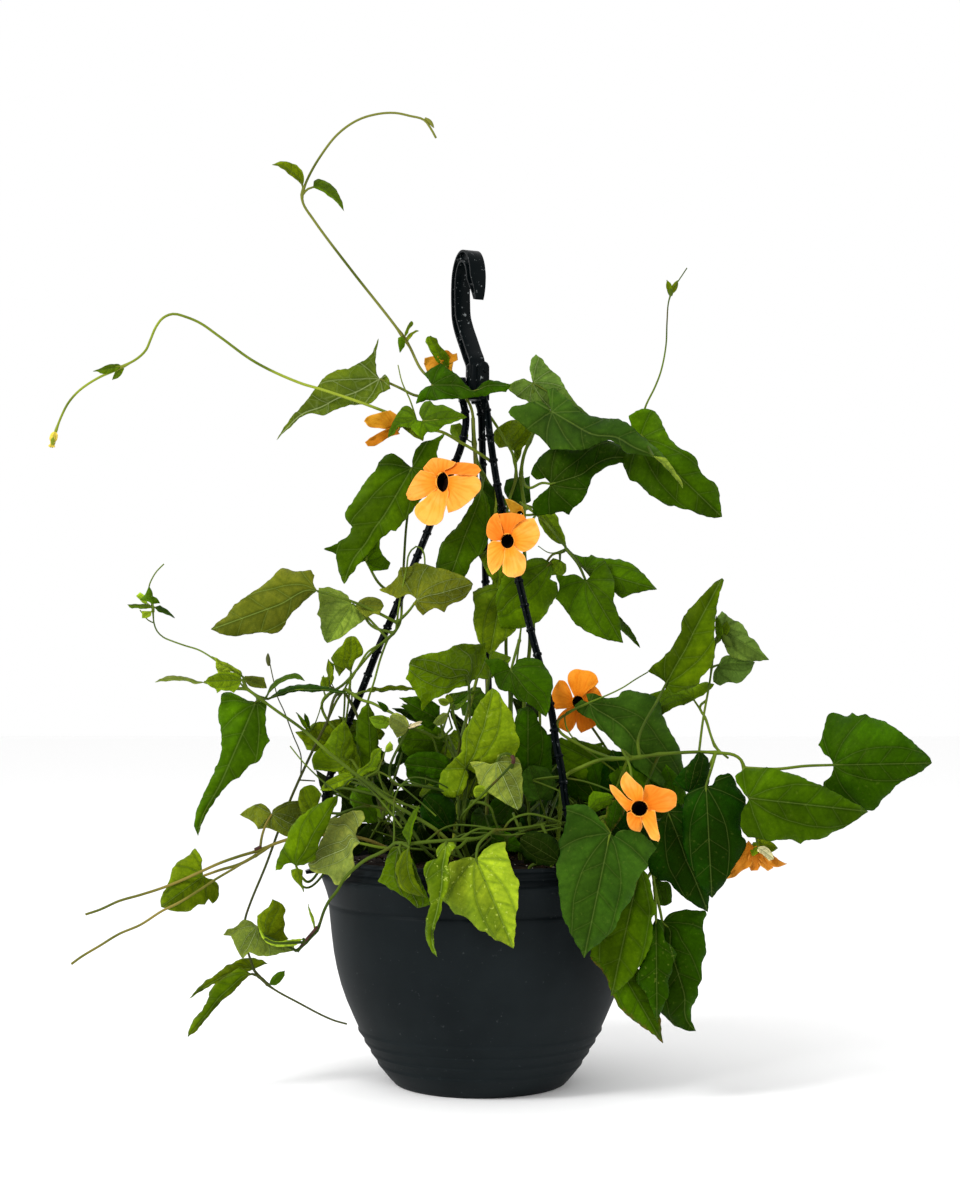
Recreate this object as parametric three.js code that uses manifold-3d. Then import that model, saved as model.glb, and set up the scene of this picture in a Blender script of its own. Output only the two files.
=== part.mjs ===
// Climbing vine with orange dark-eyed flowers, growing in a hanging pot.
// Millimetres, +Z up, -Y toward the viewer, origin at the centre of the pot's flat base.
import * as THREE from 'three';
import { mergeVertices } from 'three/addons/utils/BufferGeometryUtils.js';
import Module from 'manifold-3d';

const wasm = await Module();
wasm.setup();
const { Manifold, Mesh: SolidMesh } = wasm;

// ---- driving dimensions ------------------------------------------------------------
const EYE_BACK = 1220; // distance of the reading point in front of the plane y = 0
const EYE_UP = 257; // its height above the pot's base
const BLADE = 0.8; // thickness of a leaf blade
const PETAL = 0.8; // thickness of a petal
const BASE = 0.9; // half width of a blade where its stalk begins
const RIM_R = 102.5; // outer radius of the pot's rim band
const POT_H = 146; // height of the pot's lip
const FLOOR = 3; // pot floor
const DRAIN_R = 4.5; // drain hole
const DRAINS = 6; // drain holes in the floor
const DRAIN_AT = 38; // distance of the drain holes from the axis
const SOIL_TOP = 139.5; // soil level at the wall
const SOIL_CROWN = 4; // rise of the soil toward the middle
const STEM_FOOT = 129; // height of the stems' lower ends, in their holes
const GAP = 0.35; // clearance between parts that touch in use
const ARM_R = 2.1; // rod radius of a hanger arm
const STRAP_W = 10.5; // hook strap width
const STRAP_D = 8; // hook strap depth
const HUB_X = -3; // axis of the hub
const HUB_R = 6; // radius of the hub
const HUB_LOW = 441; // lower end of the hub
const HUB_HIGH = 464; // upper end of the hub
const PIN_R = 1.6; // pins that carry the arms
const PIN_DROP = 6; // how far a pin lies below its arm's head
const KNUCKLE_W = 6.8; // width of an arm's upper plate
const KNUCKLE_T = 4.4; // its thickness
const CLIP_W = 9; // width of the clip that grips the pot's lip
const POT_SIDES = 28; // flats round the pot

// ---- materials ---------------------------------------------------------------------
const mat = (name, color, roughness) => {
  const m = new THREE.MeshStandardMaterial({ color, roughness, metalness: 0 });
  m.name = name;
  return m;
};
const POT_BLACK = mat('pot_plastic', 0x1d2022, 0.6);
const HANGER_BLACK = mat('hanger_plastic', 0x101315, 0.45);
const SOIL = mat('soil', 0x2a1d14, 0.95);
const GREEN = mat('foliage', 0x3f6b1c, 0.6);
const ORANGE = mat('petal_orange', 0xf59a2c, 0.6);
const EYE_DARK = mat('throat_dark', 0x140608, 0.7);

// ---- plan --------------------------------------------------------------------------
// Every spot is [across, up, depth]: where a line from the reading point, at EYE_BACK in
// front and EYE_UP high, crosses the plane y = 0, and how far behind that plane it lies.
const spot = ([across, up, depth]) => {
  const k = (EYE_BACK + depth) / EYE_BACK;
  return new THREE.Vector3(across * k, depth, EYE_UP + (up - EYE_UP) * k);
};

// A leaf is its name, half its stalk's thickness, its outline (joint, tip, one edge, the
// other edge and, where the rib is bent, the rib, each as across-up pairs), its depths (at
// the joint, at the tip, lean, cup, arch) and the stalk's path from the stem to the joint.
const VINES = [
  {
    name: 'vine_top',
    stems: [
      [1.5, 0.9, [3.9, 131.7, 4, 4.5, 253.1, 3, 11.7, 311.5, 4, 8.4, 347.2, 3, 0, 376.4, 2, -3.9,
        421.8, -10, -6.5, 438.1, -12.5, -16.2, 449.1, -9, -35.7, 458.2, -4, -46.7, 477.7, 0,
        -108.4, 558.8, -18, -114.9, 569.2, -18, -115.5, 574.4, -18, -103.8, 599, -18, -92.2, 614,
        -18, -79.2, 623, -18, -66.2, 626.9, -18, -45.4, 625.6, -18, -36.3, 623, -18, -28.6, 611.4,
        -18]],
    ],
    leaves: [
      ['top_a', 0.52, [
        [-114.9, 579.6], [-135, 593.8],
        [-127.2, 590.6],
        [-114.9, 588.6, -118.1, 593.2, -129.2, 596.4],
      ], [-18, -24, 0.6, 1.5, 1],
      [-115, 576.3, -18]],
      ['top_b', 0.52, [
        [-108.4, 579.6], [-88.3, 564],
        [-107.7, 583.4, -105.1, 584.7, -96.1, 580.9],
        [-95.4, 571.8],
      ], [-18, -26, 0.5, 1.5, 1],
      [-115.3, 575.1, -18, -111.6, 578.3, -18]],
      ['top_c', 0.42, [
        [-49.3, 481.6], [-43.5, 491.9],
        [-46.7, 490],
        [-45.4, 488],
      ], [-1.64, -14, 0, 0.5, 0],
      [-49.1, 481, -0.8]],
      ['top_d', 0.42, [
        [-48, 481.6], [-39.6, 486.1],
        [-43.5, 485.8],
        [-46.7, 479.6],
      ], [-2.64, -11.55, 0.5, 0.5, 0],
      [-48.9, 480.7, -0.7]],
      ['top_e', 0.42, [
        [-50.6, 482.9], [-51.9, 471.8],
        [-53.2, 481.6],
        [-48.7, 476.4],
      ], [-5.18, -8, 0, 1, 0],
      [-50.8, 483.4, -1.4]],
      ['hub', 0.62, [
        [-31.2, 451.1], [20.1, 451.1],
        [-36.3, 458.2, -25.3, 465.3, -13, 456.2, -5.8, 447.8, 7.8, 454.3],
        [-36.3, 449.1, -41.5, 438.7, 16.9, 446.5],
        [-15.6, 447.2, 5.8, 448.1],
      ], [-14, -17, 0.3, 3, 3],
      [-16.2, 449.1, -9, -26, 449.1, -9]],
      ['hang', 0.62, [
        [-64.9, 454.9], [-131.7, 415.4],
        [-67.5, 467.3, -65.9, 480.9, -71.4, 469.9, -77.9, 465.3, -99.9, 456.9, -124.6, 427],
        [-61.7, 458.2, -57.8, 448.5, -72, 438.7, -83.1, 438.1, -101.2, 431.6, -109, 432.2,
          -116.8, 429.6],
      ], [-6, 14, -0.5, 5, 7],
      [-15.9, 448.7, -9.1, -40.2, 443.9, -8, -51.9, 449.1, -7]],
    ],
  },
  {
    name: 'vine_left_tendril',
    stems: [
      [1.4, 0.8, [-18.2, 131.1, -6, -11.7, 220.7, 0, -3.9, 253.1, 8, 3.9, 285.6, 10, 9.1, 324.5,
        10, 10.4, 382.9, 4, 9.1, 398.5, -4, 0, 406.3, -12, -24.7, 420.5, -16, -35, 422.5, -18,
        -76.6, 439.4, -12, -116.8, 452.3, -10, -146, 466, -14, -181.7, 491.3, -20, -199.2, 497.1,
        -24, -205.7, 494.5, -25, -216.8, 473.8, -28, -222, 468.6, -29, -259.6, 447.8, -34, -271.3,
        431.6, -36, -277.8, 410.8, -37]],
      [0.7, 0.4, [-40.7, 424.9, -17.4, -53.2, 464, -16]],
    ],
    leaves: [
      ['pair_a', 0.42, [
        [-232.3, 463.4], [-251.2, 460.1],
        [-238.8, 464.7],
        [-240.1, 458.8],
      ], [-30, -38, -0.6, 1, 1],
      [-231, 463.4, -30]],
      ['pair_b', 0.42, [
        [-232.3, 462.7], [-238.8, 454.3],
        [-235.6, 461.4],
        [-232.3, 458.2],
      ], [-30, -22, 0, 1, 0],
      [-231, 463.4, -30]],
      ['bright_hub', 0.52, [
        [-37, 427.7], [-8.4, 430.3],
        [-39.6, 432.2, -38.9, 436.1, -32.5, 441.3, -29.2, 438.1, -23.4, 438.1],
        [-44.1, 425.7, -44.8, 422.5, -37.6, 416, -34.4, 420.5, -28.6, 420.5],
      ], [-31, -39, 0.3, 3, 2],
      [-36.6, 423.2, -17.8]],
      ['bract7', 0.52, [
        [-40.2, 427.7], [-59.7, 416.7],
        [-44.8, 436.1, -50, 436.8, -59.1, 421.8],
        [-42.8, 423.1, -53.2, 423.1],
      ], [-30, -28, -0.2, 2, 0],
      [-37.6, 423.6, -17.7]],
      ['bract7b', 0.42, [
        [-40.9, 425.7], [-37, 414.7],
        [-50.6, 423.8],
        [-36.3, 418],
      ], [-17, -21, -0.2, 1.5, 0],
      [-37.4, 423.5, -17.8]],
    ],
  },
  {
    name: 'vine_centre',
    stems: [
      [1.9, 1.3, [13, 131.7, 14, 16.2, 207.7, 10, 19.5, 246.6, 10, 16.9, 279.1, 10, 19.5, 337.5,
        12, 16.9, 350.5, 10, 18.2, 373.2, 10, 23.4, 392, 10, 21.4, 405.6, 9, 2.6, 436.1, 9]],
      [1.9, 1.9, [18.2, 373.2, 10, 6.5, 385.5, 9, -1.9, 401.1, 9, -3.9, 415.4, 8, -4.5, 429.6, 10]],
    ],
    leaves: [
      ['twin_dark', 0.62, [
        [1.3, 384.2], [-22.7, 316.7],
        [-13, 361.5, -25.3, 347.9, -28.6, 332.3],
        [5.2, 376.4, 7.1, 363.4, 4.5, 347.2, -5.8, 335.5, -9.1, 327.1, -15.6, 319.3],
      ], [-6, -12, -0.2, 5, 4],
      [1.8, 394.1, 9]],
      ['bud_hub', 0.42, [
        [-7.8, 415.4], [-15.6, 425.7],
        [-12.3, 414.7, -19.5, 420.5, -18.8, 425.1],
        [-10.4, 423.1, -13, 426.4],
      ], [3, 6, 0, 2, 0],
      [-3.5, 412.8, 8.2]],
      ['mid_a', 0.62, [
        [46.1, 335.5], [11, 303.7],
        [37, 338.8, 23.4, 335.5, 16.9, 330.3, 10.4, 312.8],
        [47.4, 329.7, 45.4, 325.1, 50, 322.5, 50.6, 316.1, 38.9, 297.9, 30.5, 294, 13, 293.3],
      ], [-14, -20, 0, 4, 5],
      [19.5, 337.4, 12]],
      ['mid_b', 0.62, [
        [14.3, 319.3], [6.5, 275.8],
        [9.7, 321.9, -4.5, 316.7, -3.2, 290.7, -1.3, 284.9],
        [19.5, 316.7, 25.3, 299.8, 23.4, 292],
      ], [-6, -12, 0, 4, 4],
      [18.7, 321.1, 12]],
      ['mid_c', 0.52, [
        [13, 345.3], [11, 318],
        [6.5, 345.3, 0, 340.1],
        [19.5, 340.7, 20.8, 332.3, 18.2, 324.5],
      ], [-10, -8, 0, 3, 2],
      [17.4, 347.7, 10.4]],
      ['fork', 0.42, [
        [22.7, 407.6], [31.2, 425.7],
        [18.2, 410.8, 12.3, 410.2, 9.1, 414.7, 9.1, 420.5, 18.2, 427.7, 24.7, 428.3],
        [23.4, 399.8, 35, 419.9],
      ], [13, 9, 0.3, 3, 2],
      [22.1, 401.1, 9.3]],
      ['fork_b', 0.42, [
        [26, 389.4], [19.5, 375.1],
        [16.9, 389.4, 15.6, 382.9],
        [32.5, 392, 33.1, 375.8, 26, 372.5],
      ], [20.5, 16.5, 0, 2, 1],
      [23.4, 392, 10]],
    ],
  },
  {
    name: 'vine_left_arm',
    stems: [
      [1.5, 1.1, [-35.7, 131.1, -8, -45.4, 162.2, -12, -70.1, 202.5, -20, -100.6, 236.2, -20,
        -102.5, 244.7, -20, -87.6, 257.6, -20, -70.1, 277.8, -18, -53.2, 294, -13, -50.6, 311.5,
        -2, -49.3, 337.5, 4, -47.4, 363.4, 6, -42.8, 389.4, 4, -32.5, 407.6, -1, -27.9, 410.8,
        -7]],
    ],
    leaves: [
      ['shield', 0.62, [
        [-44.1, 397.2], [-88.3, 321.9],
        [-55.8, 406.3, -61, 405.6, -87, 369.9, -87.6, 364.7, -83.1, 358.9, -85.7, 353.7, -91.5,
          349.2, -93.5, 342, -92.8, 333.6],
        [-41.5, 408.9, -38.3, 413.4, -22.1, 420.5, -26.6, 412.8, -29.9, 389.4, -33.7, 381.6,
          -54.5, 356.3, -57.8, 356.9, -66.2, 349.2],
      ], [-7, -16, -0.1, 6, 5],
      [-45.7, 373, 5.3, -44.8, 385.5, 1]],
      ['shield_back', 0.52, [
        [-74, 336.8], [-68.8, 363.4],
        [-80.5, 335.5, -101.2, 344.6],
        [-70.7, 330.3, -59.7, 331.6, -58.4, 335.5, -64.9, 344.6, -64.9, 351.8],
      ], [-6, -2, 0, 3, 2],
      [-50.4, 316.6, -0.8, -62.3, 319.3, 5]],
      ['pale_left', 0.62, [
        [-105.8, 317.4], [-174.6, 292.4],
        [-108.4, 323.2, -107.1, 327.7, -109.7, 331, -127.9, 332.3, -160.3, 307.6],
        [-122, 303.1, -129.8, 291.4, -135, 289.4, -141.5, 290.7, -158.4, 288.2],
      ], [-22, -34, -0.3, 6, 6],
      [-52.9, 296.4, -11.5, -71.4, 305.7, -18, -87.6, 312.2, -21]],
      ['curl_a', 0.52, [
        [-83.1, 308.9], [-99.3, 283.6],
        [-87, 315.4, -92.2, 318, -104.5, 319.3, -103.8, 308.9, -105.8, 302.4],
        [-73.3, 299.2, -87.6, 288.8],
      ], [-10, -16, -0.3, 3, 3],
      [-57.9, 289.5, -14.4, -70.1, 294.6, -10, -77.9, 305, -10]],
      ['curl_b', 0.42, [
        [-80.5, 308.3], [-62.3, 307.6],
        [-72.7, 313.5, -64.3, 311.5],
        [-73.3, 299.8, -68.8, 302.4, -65.5, 301.8],
      ], [-14, -16, 0.6, 1.5, 1],
      [-61, 286.5, -15.3]],
      ['vein_left', 0.52, [
        [-40.9, 311.5], [-4.5, 321.9],
        [-43.5, 314.1, -51.9, 312.8, -64.9, 318, -53.9, 326.4, -51.9, 332.9, -42.2, 335.5, -22.1,
          331],
        [-43.5, 309.6, -37, 301.8, -29.9, 306.3, -23.4, 303.7, -18.8, 308.9, -9.1, 313.5],
      ], [-20, -26, 0.2, 4, 4],
      [-52.7, 297.4, -10.9, -46.7, 303.7, -17]],
      ['young', 0.52, [
        [-83.7, 264.8], [-83.7, 288.2],
        [-87, 267.4, -91.5, 262.2, -96.7, 273.9, -87, 286.9],
        [-75.9, 279.7, -80.5, 287.5],
      ], [-16, -20, 0, 2, 1],
      [-87.6, 257.6, -20]],
    ],
  },
  {
    name: 'vine_right_upper',
    stems: [
      [1.6, 1.2, [26, 131.1, 4, 29.2, 253.1, 8, 32.5, 285.6, 8, 30.5, 318, 8, 26.6, 390.7, 14,
        28.6, 405.6, 8, 37, 425.7, -2, 33.7, 438.1, -6, 34.4, 447.8, -10]],
      [1, 0.4, [35, 420.5, 0, 46.1, 415.4, 2, 87.6, 420.5, -9, 103.8, 419.9, -11, 107.1, 436.1,
        -11, 117.5, 460.1, -23, 122.7, 506.2, -24, 134.3, 527, -24]],
    ],
    leaves: [
      ['roof_back', 0.62, [
        [34.4, 452.3], [79.2, 425.7],
        [32.5, 462.7, 36.3, 471.2, 51.9, 455.6, 61.7, 440],
        [28.6, 454.9, 16.9, 450.4, 27.3, 442, 61.7, 427],
      ], [-10, -8, 0, 4, 3],
      [34, 441.2, -7.3]],
      ['roof', 0.62, [
        [46.1, 434.2], [131.7, 383.6],
        [43.5, 448.5, 48, 449.1, 70.1, 431.6, 95.4, 426.4, 119.4, 405],
        [39.6, 440.7, 20.1, 436.8, 18.2, 433.5, 46.7, 409.5, 65.5, 408.9, 83.1, 415.4, 89.6,
          412.8, 95.4, 406.9, 112.9, 404.3],
        [77.9, 420.5, 120.1, 401.1],
      ], [-22, -50, 0.35, 5, 8],
      [31.9, 413.3, 3.9, 37.6, 425.1, -10]],
      ['roof_end', 0.62, [
        [103.8, 416.7], [157.1, 365.4],
        [98.6, 423.1, 96.7, 430.9, 106.4, 436.1, 110.3, 435.5, 114.9, 432.2, 124.6, 414.7, 138.2,
          405.6, 146.7, 390.7, 151.9, 388.1, 155.1, 382.9],
        [92.2, 403.7, 97.4, 389.4, 122, 372.5, 151.9, 364.7],
      ], [-18, -28, 0, 6, 8],
      [99.3, 420.1, -10.4]],
      ['shelf', 0.62, [
        [46.1, 386.8], [107.1, 405],
        [42.2, 390.7, 36.3, 389.4, 33.1, 393.3, 35, 399.1, 45.4, 409.5, 81.8, 415.4],
        [33.7, 373.2, 35, 366.7, 53.9, 368.6, 57.8, 367, 68.1, 378.4, 74, 392, 77.9, 395.2],
      ], [-13, -15, 0.3, 5, 4],
      [26.6, 390.8, 14, 32.5, 384.2, -4, 40.2, 387.4, -8]],
      ['shelf_low', 0.52, [
        [39.6, 369.9], [55.8, 347.2],
        [37.6, 366.7, 38.9, 360.8, 43.5, 353.7],
        [49.3, 367.3],
      ], [0, -4, 0, 2, 1],
      [28.2, 376.4, 13.2]],
    ],
  },
  {
    name: 'vine_right_middle',
    stems: [
      [1.4, 1, [42.2, 129.8, -14, 38.9, 155.8, -14, 38.9, 233.6, -10, 35, 298.5, -6, 38.9, 324.5,
        -8, 46.7, 340.7, -14, 55.8, 344.6, -18, 44.1, 360.2, -14, 26, 375.1, -4]],
      [0.7, 0.4, [55.8, 344.6, -18, 45.4, 342, -22, 37.6, 346.6, -22]],
      [0.7, 0.5, [55.8, 344.6, -18, 66.2, 333.6, -24]],
    ],
    leaves: [
      ['quilt', 0.62, [
        [68.8, 323.8], [92.8, 283.6],
        [63.6, 327.7, 49.3, 327.1, 51.3, 319.3, 48.7, 312.2, 63, 295.3, 68.8, 291.4],
        [75.9, 335.5, 80.5, 337.5, 87, 324.5, 87, 311.5],
      ], [-34, -46, 0, 5, 5],
      [55.8, 344.6, -18, 63.6, 334.9, -26]],
      ['spear', 0.62, [
        [68.8, 331.6], [114.9, 318.7],
        [59.7, 341.4, 95.4, 336.2],
        [92.2, 312.8],
      ], [-22, -30, 0.3, 4, 3],
      [55.8, 344.6, -18, 63.6, 337.5, -20]],
      ['fold_small', 0.52, [
        [88.9, 301.8], [103.8, 280.4],
        [90.9, 293.3],
        [99.3, 290.1],
      ], [-20, -26, -1.2, 1, 1],
      [55.8, 344.6, -18, 71.4, 327.7, -14, 81.8, 311.5, -16]],
      ['low_mid', 0.42, [
        [51.9, 337.5], [44.1, 326.4],
        [47.4, 338.8, 44.8, 336.2],
        [55.8, 334.9, 55.8, 329.7, 51.9, 326.4],
      ], [-12, -14, 0, 2, 0],
      [53.4, 343.6, -16.9]],
    ],
  },
  {
    name: 'vine_clump',
    stems: [
      [1.9, 1.2, [-6.5, 129.1, -36, -9.1, 149.3, -42, -11, 158.4, -50, -11, 166.8, -56, -5.2,
        181.1, -66]],
      [1.5, 1, [-11, 158.4, -50, -14.3, 181.7, -44, -15.6, 204.4, -42, -13, 220.7, -44, -18.8,
        242.7, -60]],
      [1.3, 1, [-15.6, 204.4, -42, -7.8, 223.9, -46, 5.8, 253.1, -46]],
      [1.2, 1, [-7.8, 223.9, -46, -7.1, 246.6, -52]],
      [1.6, 1.1, [-7.4, 136.2, -38.1, 32.5, 163.5, -42, 44.1, 167.4, -46]],
      [1.1, 0.9, [32.5, 163.5, -42, 29.9, 188.2, -46, 22.1, 220.7, -50, 20.8, 246.6, -54, 24,
        272.6, -60, 26.6, 293.3, -58]],
      [1, 0.8, [-14.8, 191.4, -43.1, -26, 207.7, -42, -32.5, 223.9, -47, -46.7, 229.1, -52]],
      [1, 0.8, [-32.5, 223.9, -47, -26, 222, -44, -18.2, 228.4, -48]],
    ],
    leaves: [
      ['under_left', 0.62, [
        [-7.1, 255.7], [-46.1, 270],
        [-4.5, 259.6, 8.4, 260.9, 3.2, 283.6, -15.6, 282.3, -25.3, 277.8, -38.9, 275.2],
        [-14.9, 254.4, -26.6, 248.6, -37.6, 239.5, -38.3, 245.3, -48, 260.2],
      ], [-52, -62, -0.2, 5, 4],
      [-7, 245.3, -51.7]],
      ['under_small', 0.42, [
        [7.1, 268], [20.1, 274.5],
        [5.8, 273.9, 7.8, 279.1],
        [16.9, 269.3],
      ], [-46, -50, 0.3, 1, 0],
      [3.5, 246, -46]],
      ['heart', 0.52, [
        [20.1, 266.1], [42.8, 235.6],
        [16.2, 271.9, 2.6, 272.6, 12.3, 253.8, 20.1, 251.8],
        [27.9, 273.9, 38.9, 272.6, 43.5, 266.7, 47.4, 255.7],
      ], [-68, -76, -0.1, 5, 4],
      [25.6, 285.5, -58.3, 22.7, 275.8, -64]],
      ['tall_light', 0.62, [
        [-9.1, 202.5], [8.1, 254.4],
        [-7.8, 197.3, -11, 186.9, -15.6, 183.7, -24.7, 186.3, -26.6, 190.2, -24.7, 199.9, -12.3,
          212.9, -8.4, 229.7, -1.9, 242.1],
        [1.3, 196.6, 9.1, 197.9, 16.9, 203.8, 24.7, 214.8, 25.3, 221.3, 20.8, 237.5, 11.7, 252.5],
      ], [-64, -78, 0, 5, 6],
      [-11, 166.8, -56, -9.1, 188.2, -54, -8.4, 197.9, -58]],
      ['veined_small', 0.52, [
        [11, 206.4], [24.7, 175.2],
        [-6.5, 206.4, 0, 191.5],
        [11.7, 210.9, 15.6, 212.2, 24, 209.6, 26.6, 203.8, 27.9, 189.5, 26.6, 177.2],
      ], [-76, -84, -0.1, 3, 2],
      [-5.2, 181.1, -66, 13, 194, -74, 21.4, 205.1, -79, 19.5, 211.6, -79, 13.6, 210.9, -78]],
      ['oval_small', 0.42, [
        [5.8, 186.9], [-4.5, 187.6],
        [0, 191.5],
        [-0.6, 182.4],
      ], [-76, -80, 0, 1.5, 0],
      [-5.2, 181.1, -66]],
      ['dark_mid', 0.62, [
        [31.2, 188.2], [31.2, 242.7],
        [22.1, 190.8, 20.8, 204.4, 22.1, 230.4, 24.7, 240.1],
        [44.1, 189.5, 46.7, 201.2, 46.1, 220.7, 35.7, 238.8],
      ], [-46, -54, 0.1, 5, 5],
      [31.9, 168.7, -42.8]],
      ['grey_mid', 0.52, [
        [38.9, 181.7], [31.8, 203.8],
        [31.2, 181.1, 27.3, 188.2, 27.3, 197.9],
        [46.7, 181.7, 49.3, 191.5, 44.1, 202.5],
      ], [-52, -56, 0, 2, 0],
      [42.4, 166.9, -45.4]],
      ['dark_left_a', 0.52, [
        [-26, 233.6], [-52.6, 247.9],
        [-31.2, 226.5, -51.9, 242.7, -47.4, 244],
        [-26, 242.7, -32.5, 246.6, -40.2, 249.2],
      ], [-49, -55, 0, 3, 3],
      [-26, 222, -44]],
      ['dark_left_b', 0.52, [
        [-22.1, 219.4], [-51.9, 222],
        [-26, 212.9, -35, 207.7, -44.1, 209, -50.6, 214.2],
        [-23.4, 227.1, -32.5, 231, -42.8, 228.4],
      ], [-36, -42, 0.1, 3, 2],
      [-15.1, 207.2, -42.3]],
      ['dark_left_c', 0.52, [
        [-18.2, 201.2], [-49.3, 205.1],
        [-23.4, 194.7, -46.7, 201.2],
        [-19.5, 209, -28.6, 212.9, -38.9, 212.9, -46.7, 209.6],
      ], [-48, -46, 0.1, 3, 2],
      [-14.3, 191.5, -44]],
      ['dark_left_d', 0.52, [
        [-19.5, 162.2], [-36.3, 183],
        [-26, 160.9, -33.7, 164.8, -38.9, 173.9],
        [-15.6, 170, -18.2, 181.7, -26, 185.6, -32.5, 185.6],
      ], [-56, -60, 0.1, 3, 2],
      [-11, 158.4, -50]],
      ['pale_bit_a', 0.42, [
        [-46.1, 229.7], [-58.4, 236.2],
        [-53.9, 222, -59.1, 231],
        [-47.4, 234.3, -51.9, 237.5, -55.8, 238.2],
      ], [-56, -62, 0, 1.5, 1],
      [-32.5, 223.9, -47]],
      ['pale_bit_b', 0.42, [
        [-57.8, 232.3], [-72, 235.6],
        [-61, 227.8, -67.5, 228.4],
        [-59.1, 235.6],
      ], [-50, -54, 0.2, 1, 0],
      [-38.8, 226.2, -49.2, -49.3, 229.1, -50]],
      ['pale_bit_c', 0.42, [
        [-20.8, 238.2], [-30.5, 231.7],
        [-24, 231, -27.3, 229.7],
        [-27.9, 235.6],
      ], [-56, -60, 0, 1, 0],
      [-18.2, 228.4, -48]],
      ['star_a', 0.42, [
        [-19.5, 244.7], [-27.3, 246.6],
        [-25.3, 243.4],
        [-21.4, 247.3],
      ], [-60, -66, 0, 0.6, 0],
      [-16.2, 232.3, -52]],
      ['star_b', 0.42, [
        [-18.8, 244.7], [-21.4, 250.5],
        [-22.7, 248.6],
        [-16.9, 246],
      ], [-60, -58, 0, 0.6, 0],
      [-16.2, 232.3, -52]],
      ['star_c', 0.42, [
        [-18.2, 244], [-6.5, 251.8],
        [-11.7, 249.9],
        [-14.9, 244],
      ], [-60, -62, 0, 0.6, 0],
      [-16.2, 232.3, -52]],
    ],
  },
  {
    name: 'vine_right',
    stems: [
      [2, 1.4, [46.7, 129.8, -40, 51.9, 172, -52, 53.2, 190.8, -54, 56.5, 197.9, -56, 77.9,
        207.7, -60, 142.1, 212.9, -66, 164.8, 210.9, -69, 169.4, 207.7, -70, 171.3, 202.5, -70]],
      [1.2, 0.8, [142.1, 212.9, -66, 149.3, 259.6, -58, 155.8, 297.2, -58]],
    ],
    leaves: [
      ['blade_up', 0.62, [
        [120.7, 257], [157.1, 325.8],
        [109, 265.4, 127.9, 286.2, 130.4, 297.2, 136.9, 307],
        [120.1, 253.1, 124, 251.8, 136.9, 254.4, 142.1, 257, 151.2, 271.3, 153.2, 301.1, 158.4,
          324.5],
      ], [-58, -62, 0.2, 5, 5],
      [102.6, 209.5, -62.4, 102.5, 220, -61, 107.1, 232.3, -60, 114.2, 244.7, -59]],
      ['blade_back', 0.52, [
        [138.9, 246.6], [118.1, 236.9],
        [127.9, 242.7],
        [149.3, 253.1, 151.9, 257, 146.7, 258.3, 110.3, 250.5, 111.6, 244],
      ], [-44, -42, -0.3, 3, 2],
      [153, 212.3, -67.6, 149.9, 223.3, -50, 145.4, 236.2, -47]],
      ['right_small', 0.52, [
        [157.1, 292], [187.6, 272.9],
        [153.8, 301.1, 157.1, 304.4, 169.4, 296.6],
        [157.7, 284.3, 163.5, 274.5, 175.2, 271.9],
      ], [-54, -58, 0.1, 3, 2],
      [153.3, 285.5, -58]],
      ['right_small_b', 0.52, [
        [154.5, 269.3], [178.5, 271.3],
        [157.1, 273.9, 162.2, 275.8],
        [151.2, 258.3, 155.8, 255.7, 161, 258.3, 167.4, 257.6, 173.9, 262.8],
      ], [-50, -54, 0.3, 2, 2],
      [150.3, 267.4, -58]],
      ['great_dark', 0.62, [
        [70.7, 244.7], [127.2, 188.2],
        [68.8, 250.5, 86.3, 247.9, 96.1, 253.1, 110.3, 250.5, 116.8, 245.3, 118.1, 237.5, 129.8,
          214.2, 132.4, 202.5],
        [66.2, 246.6, 61, 242.7, 64.3, 238.2, 74.6, 232.3, 77.2, 227.1, 81.8, 224.6, 107.1,
          197.9, 116.8, 191.5],
      ], [-52, -48, 0.1, 6, 6],
      [85.7, 208.2, -60.8, 64.9, 217.4, -56, 50, 231, -60, 58.4, 238.8, -60]],
      ['dark_lobe', 0.62, [
        [146.7, 190.8], [150.6, 118.1],
        [135, 186.9, 131.1, 168.7, 131.7, 155.8, 139.5, 133, 144.7, 123.3],
        [150.6, 191.5, 153.8, 197.3, 162.2, 198.6, 172, 183.7, 172.6, 176.5, 169.4, 160.9, 172.6,
          153.8, 170, 146],
      ], [-86, -92, -0.1, 6, 5],
      [153.2, 212.3, -67.6, 149.9, 201.2, -80]],
      ['dark_flap', 0.52, [
        [135.6, 186.3], [141.5, 212.9],
        [124.6, 192.1],
        [142.8, 186.9, 148, 190.8, 148.6, 207, 145.4, 211.6],
      ], [-74, -70, 0, 3, 3],
      [153.3, 212.3, -67.6, 145.4, 197.9, -71]],
      ['twin_a', 0.62, [
        [229.1, 204.4], [293.3, 205.7],
        [219.4, 217.4, 225.2, 236.2, 227.8, 238.2, 238.2, 236.2, 241.4, 238.2, 245.3, 236.2,
          249.9, 237.9, 263.5, 232.3, 279.7, 220.7],
        [222, 188.2, 228.4, 180.4, 240.1, 175.9, 251.2, 174.6, 255.7, 175.2, 270, 190.8],
      ], [-84, -100, 0.15, 6, 6],
      [171, 203.3, -70, 192.8, 201.8, -76, 210.9, 203.8, -81]],
      ['twin_b', 0.62, [
        [174.6, 183], [251.8, 174.3],
        [165.5, 197.3, 173.3, 202.5, 187.6, 203.1, 220.7, 191.8],
        [169.4, 170.7, 170, 161.6, 173.9, 157.7, 184.3, 155.8, 208, 153.5, 223.9, 157.1],
      ], [-102, -108, 0.1, 6, 6],
      [171.3, 202.7, -70, 169.4, 192.7, -92]],
    ],
  },
  {
    name: 'vine_front_right',
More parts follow.
